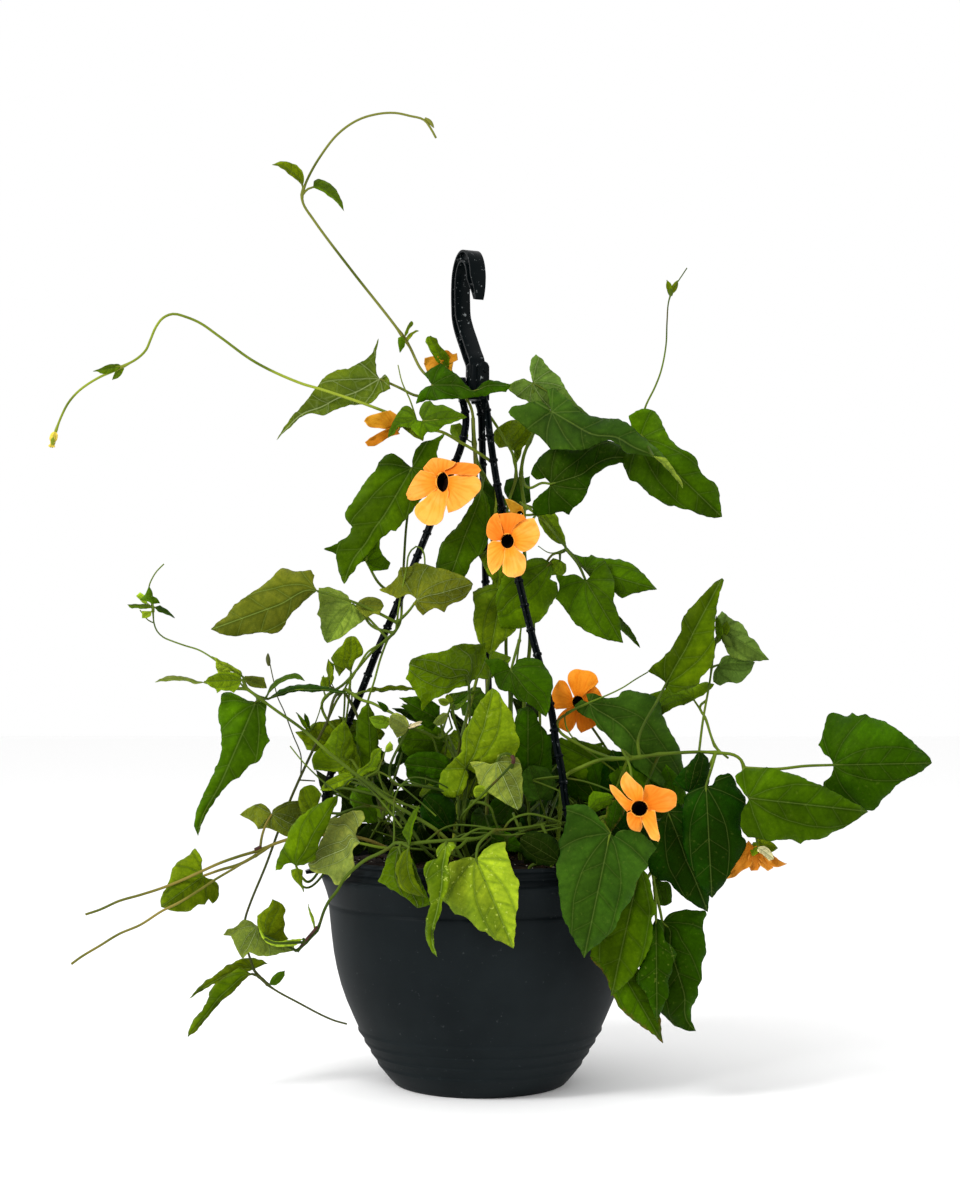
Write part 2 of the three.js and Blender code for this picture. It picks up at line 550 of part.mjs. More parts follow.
    stems: [
      [1.8, 1.3, [32.5, 127.8, -62, 42.2, 141.5, -66, 61.7, 159, -68, 76.6, 168.7, -70, 103.8,
        178.5, -66, 110.3, 168.7, -66, 111.6, 138.9, -74, 113.6, 123.3, -76]],
      [1.2, 1, [90.9, 173.9, -68, 92.2, 185, -44, 94.1, 194.7, -44]],
      [1.2, 1.1, [110.3, 168.7, -66, 97.4, 155.8, -78, 96.1, 149.3, -80]],
    ],
    leaves: [
      ['flap_dark', 0.62, [
        [122, 173.9], [148, 109],
        [115.5, 167.4, 111.6, 158.4, 109, 141.5, 110.3, 135.6, 114.2, 131.1, 122.7, 128.5, 135.6,
          116.2],
        [128.5, 179.8, 135, 173.9, 148.6, 121.4],
      ], [-76, -82, -0.1, 5, 4],
      [103.8, 178.5, -66]],
      ['great_front', 0.62, [
        [84.4, 160.3], [67.5, 79.2],
        [74.6, 173.9, 68.1, 178.5, 55.8, 177.8, 49.3, 138.2, 53.2, 107.7],
        [87, 157.7, 89.6, 160.9, 101.9, 161.6, 114.9, 150.6, 109, 143.4, 109, 138.9, 101.9,
          129.1, 99.3, 119.4, 87.6, 98.6],
      ], [-100, -104, 0, 6, 5],
      [78.8, 169.5, -69.7, 80.5, 166.1, -92]],
      ['gold_front', 0.62, [
        [103.8, 137.6], [85, 54.2],
        [96.1, 129.8, 72.7, 88.3, 71.4, 80.5, 81.8, 72.7],
        [107.7, 135, 110.3, 129.1, 114.9, 109, 111.6, 105.1, 111.6, 90.2, 104.5, 74.6],
      ], [-86, -90, -0.1, 5, 4],
      [97.4, 155.8, -78]],
      ['tail_front', 0.62, [
        [87.6, 77.9], [118.8, 23.7],
        [79.8, 84.4, 72.7, 85.7, 71.4, 79.2, 78.5, 72, 92.2, 45.4],
        [97.4, 76.6, 107.1, 68.1, 114.2, 57.1, 118.1, 50, 116.8, 44.1],
      ], [-76, -80, 0, 4, 4],
      [111.7, 138.6, -74, 94.1, 107.1, -79]],
      ['spotted', 0.62, [
        [114.2, 105.1], [114.9, 37],
        [110.3, 97.3, 101.9, 63.6],
        [118.1, 103.8, 120.1, 90.9, 127.9, 81.8, 122.7, 64.9, 121.4, 52.6],
      ], [-84, -86, -0.1, 3, 4],
      [113.6, 123.4, -76]],
      ['wave_end', 0.62, [
        [118.4, 101.9], [140.2, 31.8],
        [111.6, 81.1, 111.6, 55.2, 124, 37, 129.2, 33.7],
        [124, 108.4, 131.1, 110.3, 146, 109.7, 144.7, 97.3, 146.7, 83.1, 141.5, 55.2, 136.9, 45.4],
      ], [-72, -74, -0.1, 5, 6],
      [113.6, 123.3, -76, 116.8, 110.3, -74]],
      ['scrap', 0.52, [
        [113.6, 132.4], [119.4, 112.9],
        [111.6, 128.5, 113.6, 121.4, 116.2, 113.6],
        [124, 125.9, 124.6, 115.5],
      ], [-72, -72, -0.1, 2, 1],
      [111.6, 138.9, -74]],
      ['bright_small', 0.42, [
        [70.7, 173.9], [86.3, 183],
        [70.7, 183.7, 73.3, 187.6, 84.4, 185.6],
        [75.3, 173.9, 85, 179.1],
      ], [-88, -88, 0.1, 2, 1],
      [77.5, 169.1, -69.9, 73.3, 170, -80]],
      ['brown_fold', 0.52, [
        [85, 160.9], [89.6, 182.4],
        [81.1, 166.1, 83.1, 181.1],
        [93.5, 173.3],
      ], [-91, -88, 0, 2, 0],
      [80.1, 170, -69.5]],
      ['arch_dark', 0.62, [
        [85.7, 201.2], [49.3, 219.4],
        [77.9, 196, 67.5, 194.7, 57.1, 198.6, 50.6, 206.4, 48, 214.2],
        [89.6, 207.7, 84.4, 214.8, 60.4, 222.6, 51.9, 222],
      ], [-36, -44, 0.1, 4, 4],
      [92.2, 185, -44]],
      ['vein_dark', 0.52, [
        [103.8, 181.7], [88.3, 205.1],
        [96.1, 181.7, 88.3, 188.2, 83.1, 197.3],
        [122, 181.7, 128.5, 190.8, 124.6, 202.5, 113.6, 206.4, 101.2, 207.7],
      ], [-50, -46, 0.1, 4, 3],
      [100.1, 177.2, -66.6]],
    ],
  },
  {
    name: 'vine_front',
    stems: [
      [1.8, 1.3, [13, 127.8, -66, 13, 142.8, -72, 16.9, 157.1, -82, 9.7, 160.9, -88, 0, 157.1,
        -92, -16.2, 155.8, -96, -48.7, 153.2, -98, -54.5, 153.8, -94, -59.1, 150.6, -88, -81.1,
        137.6, -76, -88.3, 130.4, -74, -98, 116.2, -75, -105.8, 97.3, -76, -118.8, 83.7, -73]],
      [1.3, 1, [16.9, 157.1, -82, 42.2, 164.8, -77, 53.9, 162.9, -78]],
      [1.1, 0.9, [13.6, 158.9, -84.8, 20.1, 168.7, -90, 31.2, 172.6, -89, 51.9, 167.4, -82]],
    ],
    leaves: [
      ['folded_up', 0.52, [
        [-46.1, 151.9], [-39.6, 178.5],
        [-50.6, 160.9],
        [-43.5, 164.2],
      ], [-104, -90, 0.8, 1, 0],
      [-53.2, 153.7, -94.9]],
      ['folded_down', 0.52, [
        [-46.1, 151.2], [-34.4, 118.1],
        [-51.3, 146.7, -54.5, 138.9, -51.3, 124],
        [-42.2, 131.7],
      ], [-107, -114, -0.1, 3, 2],
      [-51.9, 153.5, -95.8]],
      ['under_rim', 0.62, [
        [-52.6, 150.6], [-40.9, 111.6],
        [-57.1, 149.9, -60.4, 144.7, -66.2, 129.1],
        [-48, 148.6, -43.5, 142.1, -31.8, 113.6],
      ], [-102, -105, 0, 3, 2],
      [-53.2, 153.7, -94.9]],
      ['twist', 0.62, [
        [-22.1, 154.5], [-27.9, 79.8],
        [-27.3, 151.9, -27.9, 144.1, -36.3, 138.9, -32.5, 113.6, -35.7, 96, -34.4, 89.6],
        [-17.5, 154.5, -15.6, 151.9, -20.1, 144.1, -19.5, 129.1, -29.2, 99.9],
      ], [-116, -122, -0.3, 3, 2],
      [-6.7, 156.5, -93.6, -15.6, 150.6, -108]],
      ['golden', 0.62, [
        [-2.6, 143.4], [21.7, 85.3],
        [-5.8, 144.7, -19.5, 141.5, -22.7, 132.4, -24, 116.8, -16.2, 107.7, -7.8, 104.5, 0, 96.7],
        [5.8, 151.9, 16.5, 154.5, 22.1, 133, 25.3, 128.5],
      ], [-110, -116, -0.1, 6, 4],
      [9.7, 160.9, -88, 4.5, 158.4, -98, -1.3, 151.9, -106]],
      ['rim_pair_a', 0.52, [
        [-144.1, 99.3], [-153.8, 78.5],
        [-153.2, 103.8, -166.5, 94.1, -161.6, 93.5],
        [-133, 90.9, -123.3, 90.2, -120.7, 87, -121.4, 83.7, -134.3, 80.8, -149.9, 83.1],
      ], [-64, -72, -0.1, 3, 3],
      [-112.5, 90, -74.1, -133, 88.9, -80, -139.5, 91.5, -76]],
      ['rim_pair_b', 0.52, [
        [-141.5, 94.8], [-134.7, 117.5],
        [-144.7, 106.4],
        [-136.3, 90.2, -129.8, 88.9, -124.3, 91.5, -127.2, 96.7, -126.2, 111],
      ], [-70, -64, 0, 2, 1],
      [-118.8, 83.7, -73]],
      ['rim_bract', 0.42, [
        [-107.1, 98], [-111.6, 114.2],
        [-111, 109],
        [-109.7, 109.7],
      ], [-78, -74, 0, 0.4, 0],
      [-105.8, 97.3, -76]],
      ['mid_rim_a', 0.52, [
        [51.9, 141.5], [26, 157.1],
        [44.1, 138.9, 33.7, 141.5, 26, 149.3],
        [53.2, 149.3, 48.7, 157.1, 38.9, 160.9, 31.2, 160.9],
      ], [-92, -88, 0, 3, 2],
      [39.3, 164.2, -77.3]],
    ],
  },
  {
    name: 'vine_left',
    stems: [
      [2.2, 1.4, [-1.3, 126.6, -78, -16.2, 150.6, -82, -28.6, 162.2, -82, -59.7, 181.7, -78,
        -116.2, 228.4, -77, -153.8, 255.7, -73]],
      [1, 0.7, [-153.8, 255.7, -73, -165.5, 267.4, -66, -181.7, 278.7, -58, -205.7, 287.5, -49,
        -209.6, 291.4, -48, -214.8, 320, -40, -205.1, 334.9, -40]],
      [0.7, 0.6, [-211.6, 296.6, -47, -215.5, 298.5, -49, -220.7, 305, -50]],
    ],
    leaves: [
      ['long_left', 0.62, [
        [-145.4, 245.3], [-183, 158.4],
        [-158.4, 250.5, -168.1, 250.5, -170, 236.9, -168.4, 210.9, -184.3, 173.3, -185.3, 164.8],
        [-145.4, 248.6, -138.2, 244.7, -138.9, 230.4, -136.3, 220, -142.8, 207, -164.2, 191.5,
          -177.8, 172],
      ], [-66, -76, -0.1, 5, 7],
      [-141.8, 246.9, -74.7]],
      ['lime_top', 0.52, [
        [-153.8, 261.5], [-174.6, 275.2],
        [-161, 264.8, -170, 264.1, -171.7, 272.6],
        [-157.1, 266.7],
      ], [-74, -82, 0.2, 1.5, 1],
      [-151.1, 253.7, -73.4]],
      ['lime_low', 0.52, [
        [-154.5, 259.6], [-178.5, 258.6],
        [-155.1, 262.8, -166.8, 264.8],
        [-159.7, 251.2, -168.1, 253.1, -170.7, 250.8],
      ], [-77, -86, 0, 2, 1],
      [-151.1, 253.7, -73.4]],
      ['strip_left', 0.52, [
        [-179.1, 258.3], [-210.9, 258.3],
        [-201.2, 262.5],
        [-198.6, 259.3],
      ], [-70, -62, -1.5, 0.5, 1],
      [-150.5, 253.3, -73.5, -164.8, 254.4, -71]],
      ['strip_mid', 0.42, [
        [-153.8, 260.2], [-138.2, 254.4],
        [-152.5, 262.2, -140.2, 261.2],
        [-149.3, 255.7],
      ], [-66, -58, 0.8, 1, 0],
      [-150.6, 253.4, -73.4]],
      ['horn_up', 0.52, [
        [-139.5, 247.3], [-113.6, 258.9],
        [-133.7, 258.9, -129.2, 261.5, -118.1, 263.8],
        [-129.8, 257.6, -123.3, 260.2],
      ], [-64, -74, 1.2, 1, 0],
      [-144.7, 249, -74.3]],
      ['horn_mid', 0.62, [
        [-137.6, 247.3], [-82.4, 250.5],
        [-131.1, 252.5, -116.2, 256.7, -109, 257],
        [-114.2, 252.5],
      ], [-60, -44, 1.2, 1, 0],
      [-143.2, 248, -74.5]],
      ['sprig_a', 0.42, [
        [-212.2, 307], [-228.8, 308.6],
        [-216.1, 308.9],
        [-226.2, 306.3],
      ], [-46, -52, -1, 1, 0],
      [-212.2, 303.7, -46]],
      ['sprig_b', 0.42, [
        [-211.6, 307], [-197.9, 299.8],
        [-207.7, 308.3],
        [-203.8, 302.4],
      ], [-46, -42, 1, 1, 0],
      [-212.2, 303.7, -46]],
      ['sprig_c', 0.42, [
        [-212.2, 308.9], [-214.8, 320.6],
        [-220.7, 311.5],
        [-207.7, 309.6],
      ], [-52, -48, 0, 1.5, 0],
      [-212.4, 305, -45.5]],
      ['sprig_d', 0.42, [
        [-215.5, 308.9], [-223.3, 314.1],
        [-220.7, 311.5],
        [-220.7, 316.7],
      ], [-42, -38, 0, 0.6, 0],
      [-212.6, 305.7, -45.2]],
      ['sprig_e', 0.42, [
        [-212.9, 304.4], [-219.4, 299.8],
        [-219.4, 304.4],
        [-213.5, 301.1],
      ], [-48, -52, 0, 0.6, 0],
      [-212.2, 303.1, -46.1]],
    ],
  },
  {
    name: 'vine_left_low',
    stems: [
      [1.7, 1.1, [-48.7, 129.8, -28, -58.4, 149.3, -40, -77.9, 157.1, -52, -97.4, 159, -54,
        -116.8, 158.4, -54, -155.8, 145.4, -54, -206.4, 124.6, -57, -256, 107.5, -58]],
      [1.1, 1.1, [-134.2, 153, -54, -194.7, 115.5, -64, -234.3, 94.8, -64, -265.1, 75.3, -64]],
    ],
    leaves: [
      ['tooth_left', 0.52, [
        [-179.8, 132.4], [-207, 112.3],
        [-181.1, 145.4, -185, 150.2, -199.9, 136.3, -207, 118.1],
        [-172.6, 129.8, -170, 126.6, -170.7, 116.8, -173.3, 114.9, -175.9, 117.5, -178.5, 113.6,
          -183, 113.6, -187.6, 109.7, -193.4, 109],
      ], [-50, -56, -0.1, 3, 3],
      [-144.9, 146.1, -56.2, -155.8, 140.2, -54, -168.7, 136.3, -52]],
      ['grey_back', 0.52, [
        [-135, 172.6], [-112.9, 160.9],
        [-131.1, 177.8, -117.5, 181.1, -111.6, 173.9],
        [-142.1, 179.4, -156.1, 172.2, -144.1, 162.9, -137.6, 163.5, -118.1, 157.1],
      ], [-50, -46, 0.1, 3, 2],
      [-143.6, 149, -54, -138.2, 167.4, -51]],
    ],
  },
  {
    name: 'vine_left_clump',
    stems: [
      [1.7, 1.3, [-26, 128.5, -56, -35.7, 149.3, -62, -59.1, 181.7, -64, -70.1, 186.9, -50, -74,
        197.9, -42]],
      [1.3, 1, [-51.9, 172, -64, -71.4, 177.8, -60, -87.6, 173.9, -60, -97.4, 168.7, -60]],
      [1.2, 1, [-35.7, 149.3, -62, -61.7, 150.6, -70]],
      [1, 0.8, [-59.1, 181.7, -64, -66.2, 200.5, -66]],
      [0.9, 0.6, [-71.4, 177.8, -60, -87.6, 183.7, -74, -100.6, 192.7, -76, -123.3, 216.8, -76]],
    ],
    leaves: [
      ['bright_left', 0.62, [
        [-119.4, 138.9], [-92.2, 184.6],
        [-122.7, 140.8, -133, 135.6, -122, 165.5, -108.4, 177.2],
        [-106.4, 143.4],
      ], [-76, -70, 0.1, 4, 4],
      [-87.6, 173.9, -60, -97.4, 154.5, -57, -109, 129.8, -58, -116.2, 132.4, -72]],
      ['drip_left', 0.42, [
        [-118.8, 137.6], [-114.2, 122],
        [-122.7, 136.3, -122, 132.4],
        [-114.9, 136.3],
      ], [-79, -81, 0, 1.5, 0],
      [-87.9, 173.8, -60, -93.5, 149.3, -56, -109, 125.9, -60, -117.5, 128.5, -74]],
      ['silver', 0.52, [
        [-77.9, 153.8], [-111.6, 140.5],
        [-80.5, 158.4, -74.6, 171.3, -76.6, 174.6, -80.5, 175.2, -96.7, 170, -107.1, 144.1],
        [-81.8, 150.6, -83.1, 135, -92.2, 126.9, -98, 133, -109.7, 136.3],
      ], [-72, -64, -0.1, 4, 3],
      [-51.9, 150.6, -66, -61.7, 150.6, -70]],
      ['upper_a', 0.52, [
        [-83.1, 207.7], [-88.3, 233.6],
        [-90.9, 200.5, -107.7, 201.2, -109, 207, -107.7, 211.6],
        [-83.1, 223.9],
      ], [-44, -50, 0, 3, 2],
      [-70.5, 188.1, -49.2, -76.6, 197.9, -45]],
      ['upper_b', 0.52, [
        [-83.1, 193.4], [-85, 223.3],
        [-90.9, 194.7, -92.8, 204.4, -92.2, 215.5, -88.9, 222],
        [-76.6, 196, -77.9, 207.7],
      ], [-38, -40, 0, 2, 2],
      [-70.1, 186.9, -50]],
      ['upper_c', 0.62, [
        [-70.1, 196], [-72.7, 245.3],
        [-76.6, 201.2, -80.5, 227.1, -77.9, 238.8],
        [-66.2, 204.4, -66.2, 222, -68.8, 237.5],
      ], [-34, -30, 0, 3, 3],
      [-61.7, 183, -60.6]],
      ['upper_d', 0.52, [
        [-90.9, 217.4], [-120.1, 225.8],
        [-97.4, 210.9, -112.3, 214.2],
        [-88.3, 227.1, -89.6, 234.9, -107.7, 231.7],
      ], [-18, -22, 0, 3, 2],
      [-74, 197.9, -42]],
      ['wisp', 0.52, [
        [-81.1, 195.3], [-63.6, 215.5],
        [-79.2, 201.2, -72, 206.4, -70.7, 212.2],
        [-66.2, 201.2],
      ], [-64, -66, 0, 1.5, 1],
      [-66, 199.9, -66, -74, 196.6, -65]],
      ['wisp_b', 0.42, [
        [-61.7, 212.9], [-56.5, 217.4],
        [-58.4, 220],
        [-56.5, 214.2],
      ], [-66, -66, 0, 0.6, 0],
      [-66.1, 200.4, -66]],
      ['tongue', 0.52, [
        [-81.8, 197.9], [-103.8, 188.2],
        [-90.9, 198.6, -101.2, 192.1],
        [-84.4, 192.7, -98.6, 187.6],
      ], [-62, -68, -0.2, 1.5, 1],
      [-59.8, 183.3, -64.3, -71.4, 193.4, -64]],
      ['bluish', 0.52, [
        [-83.1, 188.2], [-66.2, 167.4],
        [-84.4, 181.7, -79.2, 172, -72.7, 166.1],
        [-77.9, 191.5, -71.4, 188.2],
      ], [-50, -54, -0.1, 3, 2],
      [-58.7, 181.3, -64]],
      ['behind_left', 0.42, [
        [-109, 173.9], [-116.8, 188.2],
        [-114.9, 168.7, -118.1, 181.7],
        [-102.5, 185.6, -109, 191.5],
      ], [-58, -56, 0, 2, 1],
      [-90.1, 172.6, -60]],
    ],
  },
  {
    name: 'vine_trailing',
    stems: [
      [1.6, 0.9, [-42.2, 130.4, -18, -55.2, 155.8, -26, -68.1, 188.2, -27, -76.6, 227.1, -22,
        -83.1, 243.4, -20, -90.2, 251.8, -24, -108.4, 214.2, -36, -117.5, 194.7, -38, -131.1,
        160.9, -34, -149.3, 114.2, -36, -152.5, 103.8, -44, -153.2, 92.2, -50, -144.7, 68.8, -38,
        -137.6, 61.7, -38, -95.4, 38.9, -38, -86.3, 36.3, -38]],
      [0.9, 0.6, [-83.1, 243.4, -20, -84.4, 254.4, -22]],
      [0.6, 0.5, [-107.1, 194, -34, -116.2, 210.3, -34, -121.4, 223.9, -30, -131.1, 247.9, -30,
        -136.3, 270, -30]],
      [0.7, 0.6, [-117.5, 194.7, -38, -107.1, 194, -34]],
    ],
    leaves: [
      ['trail_a', 0.62, [
        [-148, 68.8], [-189.5, 27.9],
        [-155.8, 73.3, -172.6, 61.7, -177.8, 49.3, -186.3, 38.9],
        [-169.4, 49.3],
      ], [-40, -48, -0.2, 2, 3],
      [-137.6, 61.7, -38, -142.8, 66.8, -39]],
      ['trail_b', 0.62, [
        [-147.3, 72], [-188.9, 52.6],
        [-137.6, 75.6, -148, 79.2, -155.8, 78.5, -177.8, 64.9],
        [-173.3, 62.3],
      ], [-34, -38, -0.2, 2, 3],
      [-142.5, 66.5, -38]],
      ['trail_c', 0.42, [
        [-136.9, 61.7], [-126.6, 71.1],
        [-131.7, 69.4],
        [-129.2, 64.2],
      ], [-39, -44, 0.3, 0.8, 0],
      [-137.6, 61.7, -38]],
      ['trail_top_a', 0.42, [
        [-99.9, 254.4], [-102.5, 261.5],
        [-103.2, 258.3],
        [-98, 257.6, -99.3, 261.5],
      ], [-26, -30, 0, 0.5, 0],
      [-90.7, 250.8, -24.3]],
      ['trail_top_b', 0.42, [
        [-97.4, 255.7], [-98.6, 272.6],
        [-99.9, 267.4],
        [-95.4, 267.4],
      ], [-26, -30, 0.6, 0.6, 0],
      [-90.7, 250.8, -24.3]],
    ],
  },
  {
    name: 'vine_rear_left',
    stems: [
      [1.8, 1.1, [-26, 134.3, 34, -28.6, 155.8, 42, -38.9, 172, 56, -48.7, 168.7, 66, -62.3,
        157.1, 80, -67.5, 148, 90]],
      [1.2, 1, [-48.7, 168.7, 66, -40.2, 150.6, 102]],
      [1.1, 0.9, [-38.9, 172, 56, -40.2, 177.8, 58, -38.9, 184.3, 58]],
      [1.2, 0.9, [-28.6, 155.8, 42, -19.5, 164.8, 46, -11.7, 167.4, 48, -11.7, 173.9, 48]],
    ],
    leaves: [
      ['rear_a', 0.62, [
        [-70.1, 138.9], [-83.1, 92.2],
        [-76.6, 135, -83.1, 125.9, -85.7, 102.5],
        [-62.3, 135, -59.7, 123.3, -64.9, 111.6],
      ], [96, 100, 0, -5, -4],
      [-62.3, 157.1, 80, -67.5, 148, 92]],
      ['rear_b', 0.62, [
        [-38.9, 144.1], [-32.5, 94.1],
        [-46.7, 141.5, -50.6, 129.8, -40.2, 103.8],
        [-31.2, 141.5, -26, 131.1, -26, 116.8],
      ], [112, 116, 0, -5, -4],
      [-44.1, 159, 86, -40.2, 150.6, 104]],
      ['rear_c', 0.52, [
        [-53.2, 181.7], [-84.4, 184.3],
        [-57.1, 173.9, -64.9, 170, -75.3, 173.9],
        [-57.1, 189.5, -66.2, 193.4, -76.6, 190.8],
      ], [70, 78, 0, -4, -3],
      [-48.7, 168.7, 66]],
      ['rear_d', 0.52, [
        [-35.7, 189.5], [-32.5, 227.1],
        [-44.1, 192.1, -48, 201.2, -44.1, 212.9],
        [-27.3, 192.1, -22.1, 202.5, -24.7, 214.2],
      ], [60, 74, 0, -4, -3],
      [-40.2, 177.8, 58]],
      ['rear_j', 0.52, [
        [-11.7, 181.7], [-20.8, 216.8],
        [-18.2, 184.3, -24.7, 192.1, -24.7, 203.8],
        [-3.9, 184.3, -1.3, 196, -9.1, 209],
      ], [46, 58, 0, -4, -3],
      [-11.7, 167.4, 48]],
    ],
  },
  {
    name: 'vine_rear_right',
    stems: [
      [1.8, 1.1, [38.9, 134.3, 34, 37.6, 152.5, 42, 42.2, 165.5, 56, 51.9, 167.4, 66, 58.4,
        158.4, 76]],
      [1.2, 1, [37.6, 152.5, 42, 32.5, 159, 66, 29.9, 159, 86]],
      [1.2, 1, [42.2, 165.5, 56, 18.2, 173.9, 54]],
      [1.1, 0.9, [51.9, 167.4, 66, 77.9, 172, 66, 90.9, 168.7, 64]],
    ],
    leaves: [
      ['rear_e', 0.62, [
        [32.5, 141.5], [26, 90.9],
        [24.7, 138.9, 19.5, 127.2, 22.1, 102.5],
        [41.5, 137.6, 45.4, 125.9, 41.5, 112.9],
      ], [112, 116, 0, -5, -4],
      [29.9, 159, 86, 32.5, 149.3, 104]],
      ['rear_f', 0.62, [
        [71.4, 138.9], [84.4, 97.3],
        [64.9, 133.7, 63.6, 123.3],
        [80.5, 137.6, 88.3, 129.8, 90.9, 116.8],
      ], [84, 92, 0, -4, -3],
      [58.4, 158.4, 76, 67.5, 148, 84]],
      ['rear_g', 0.52, [
        [51.9, 181.7], [84.4, 201.2],
        [54.5, 190.8, 62.3, 198.6, 72.7, 202.5],
        [59.7, 176.5, 70.1, 177.8, 79.2, 188.2],
      ], [70, 78, 0, -4, -3],
      [44.4, 165.9, 58.3]],
      ['rear_h', 0.62, [
        [13, 188.2], [7.8, 231],
        [5.2, 190.8, 0, 201.2, 0, 212.9],
        [20.8, 189.5, 26, 199.9, 23.4, 214.2],
      ], [56, 66, 0, -4, -3],
      [18.2, 173.9, 54]],
      ['rear_i', 0.52, [
        [103.8, 163.5], [136.3, 151.9],
        [106.4, 171.3, 115.5, 175.2, 127.2, 170, 133.7, 160.9],
        [109, 155.8, 118.1, 149.3, 129.8, 148],
      ], [60, 66, 0, -4, -3],
      [77.9, 172, 66]],
    ],
  },
];

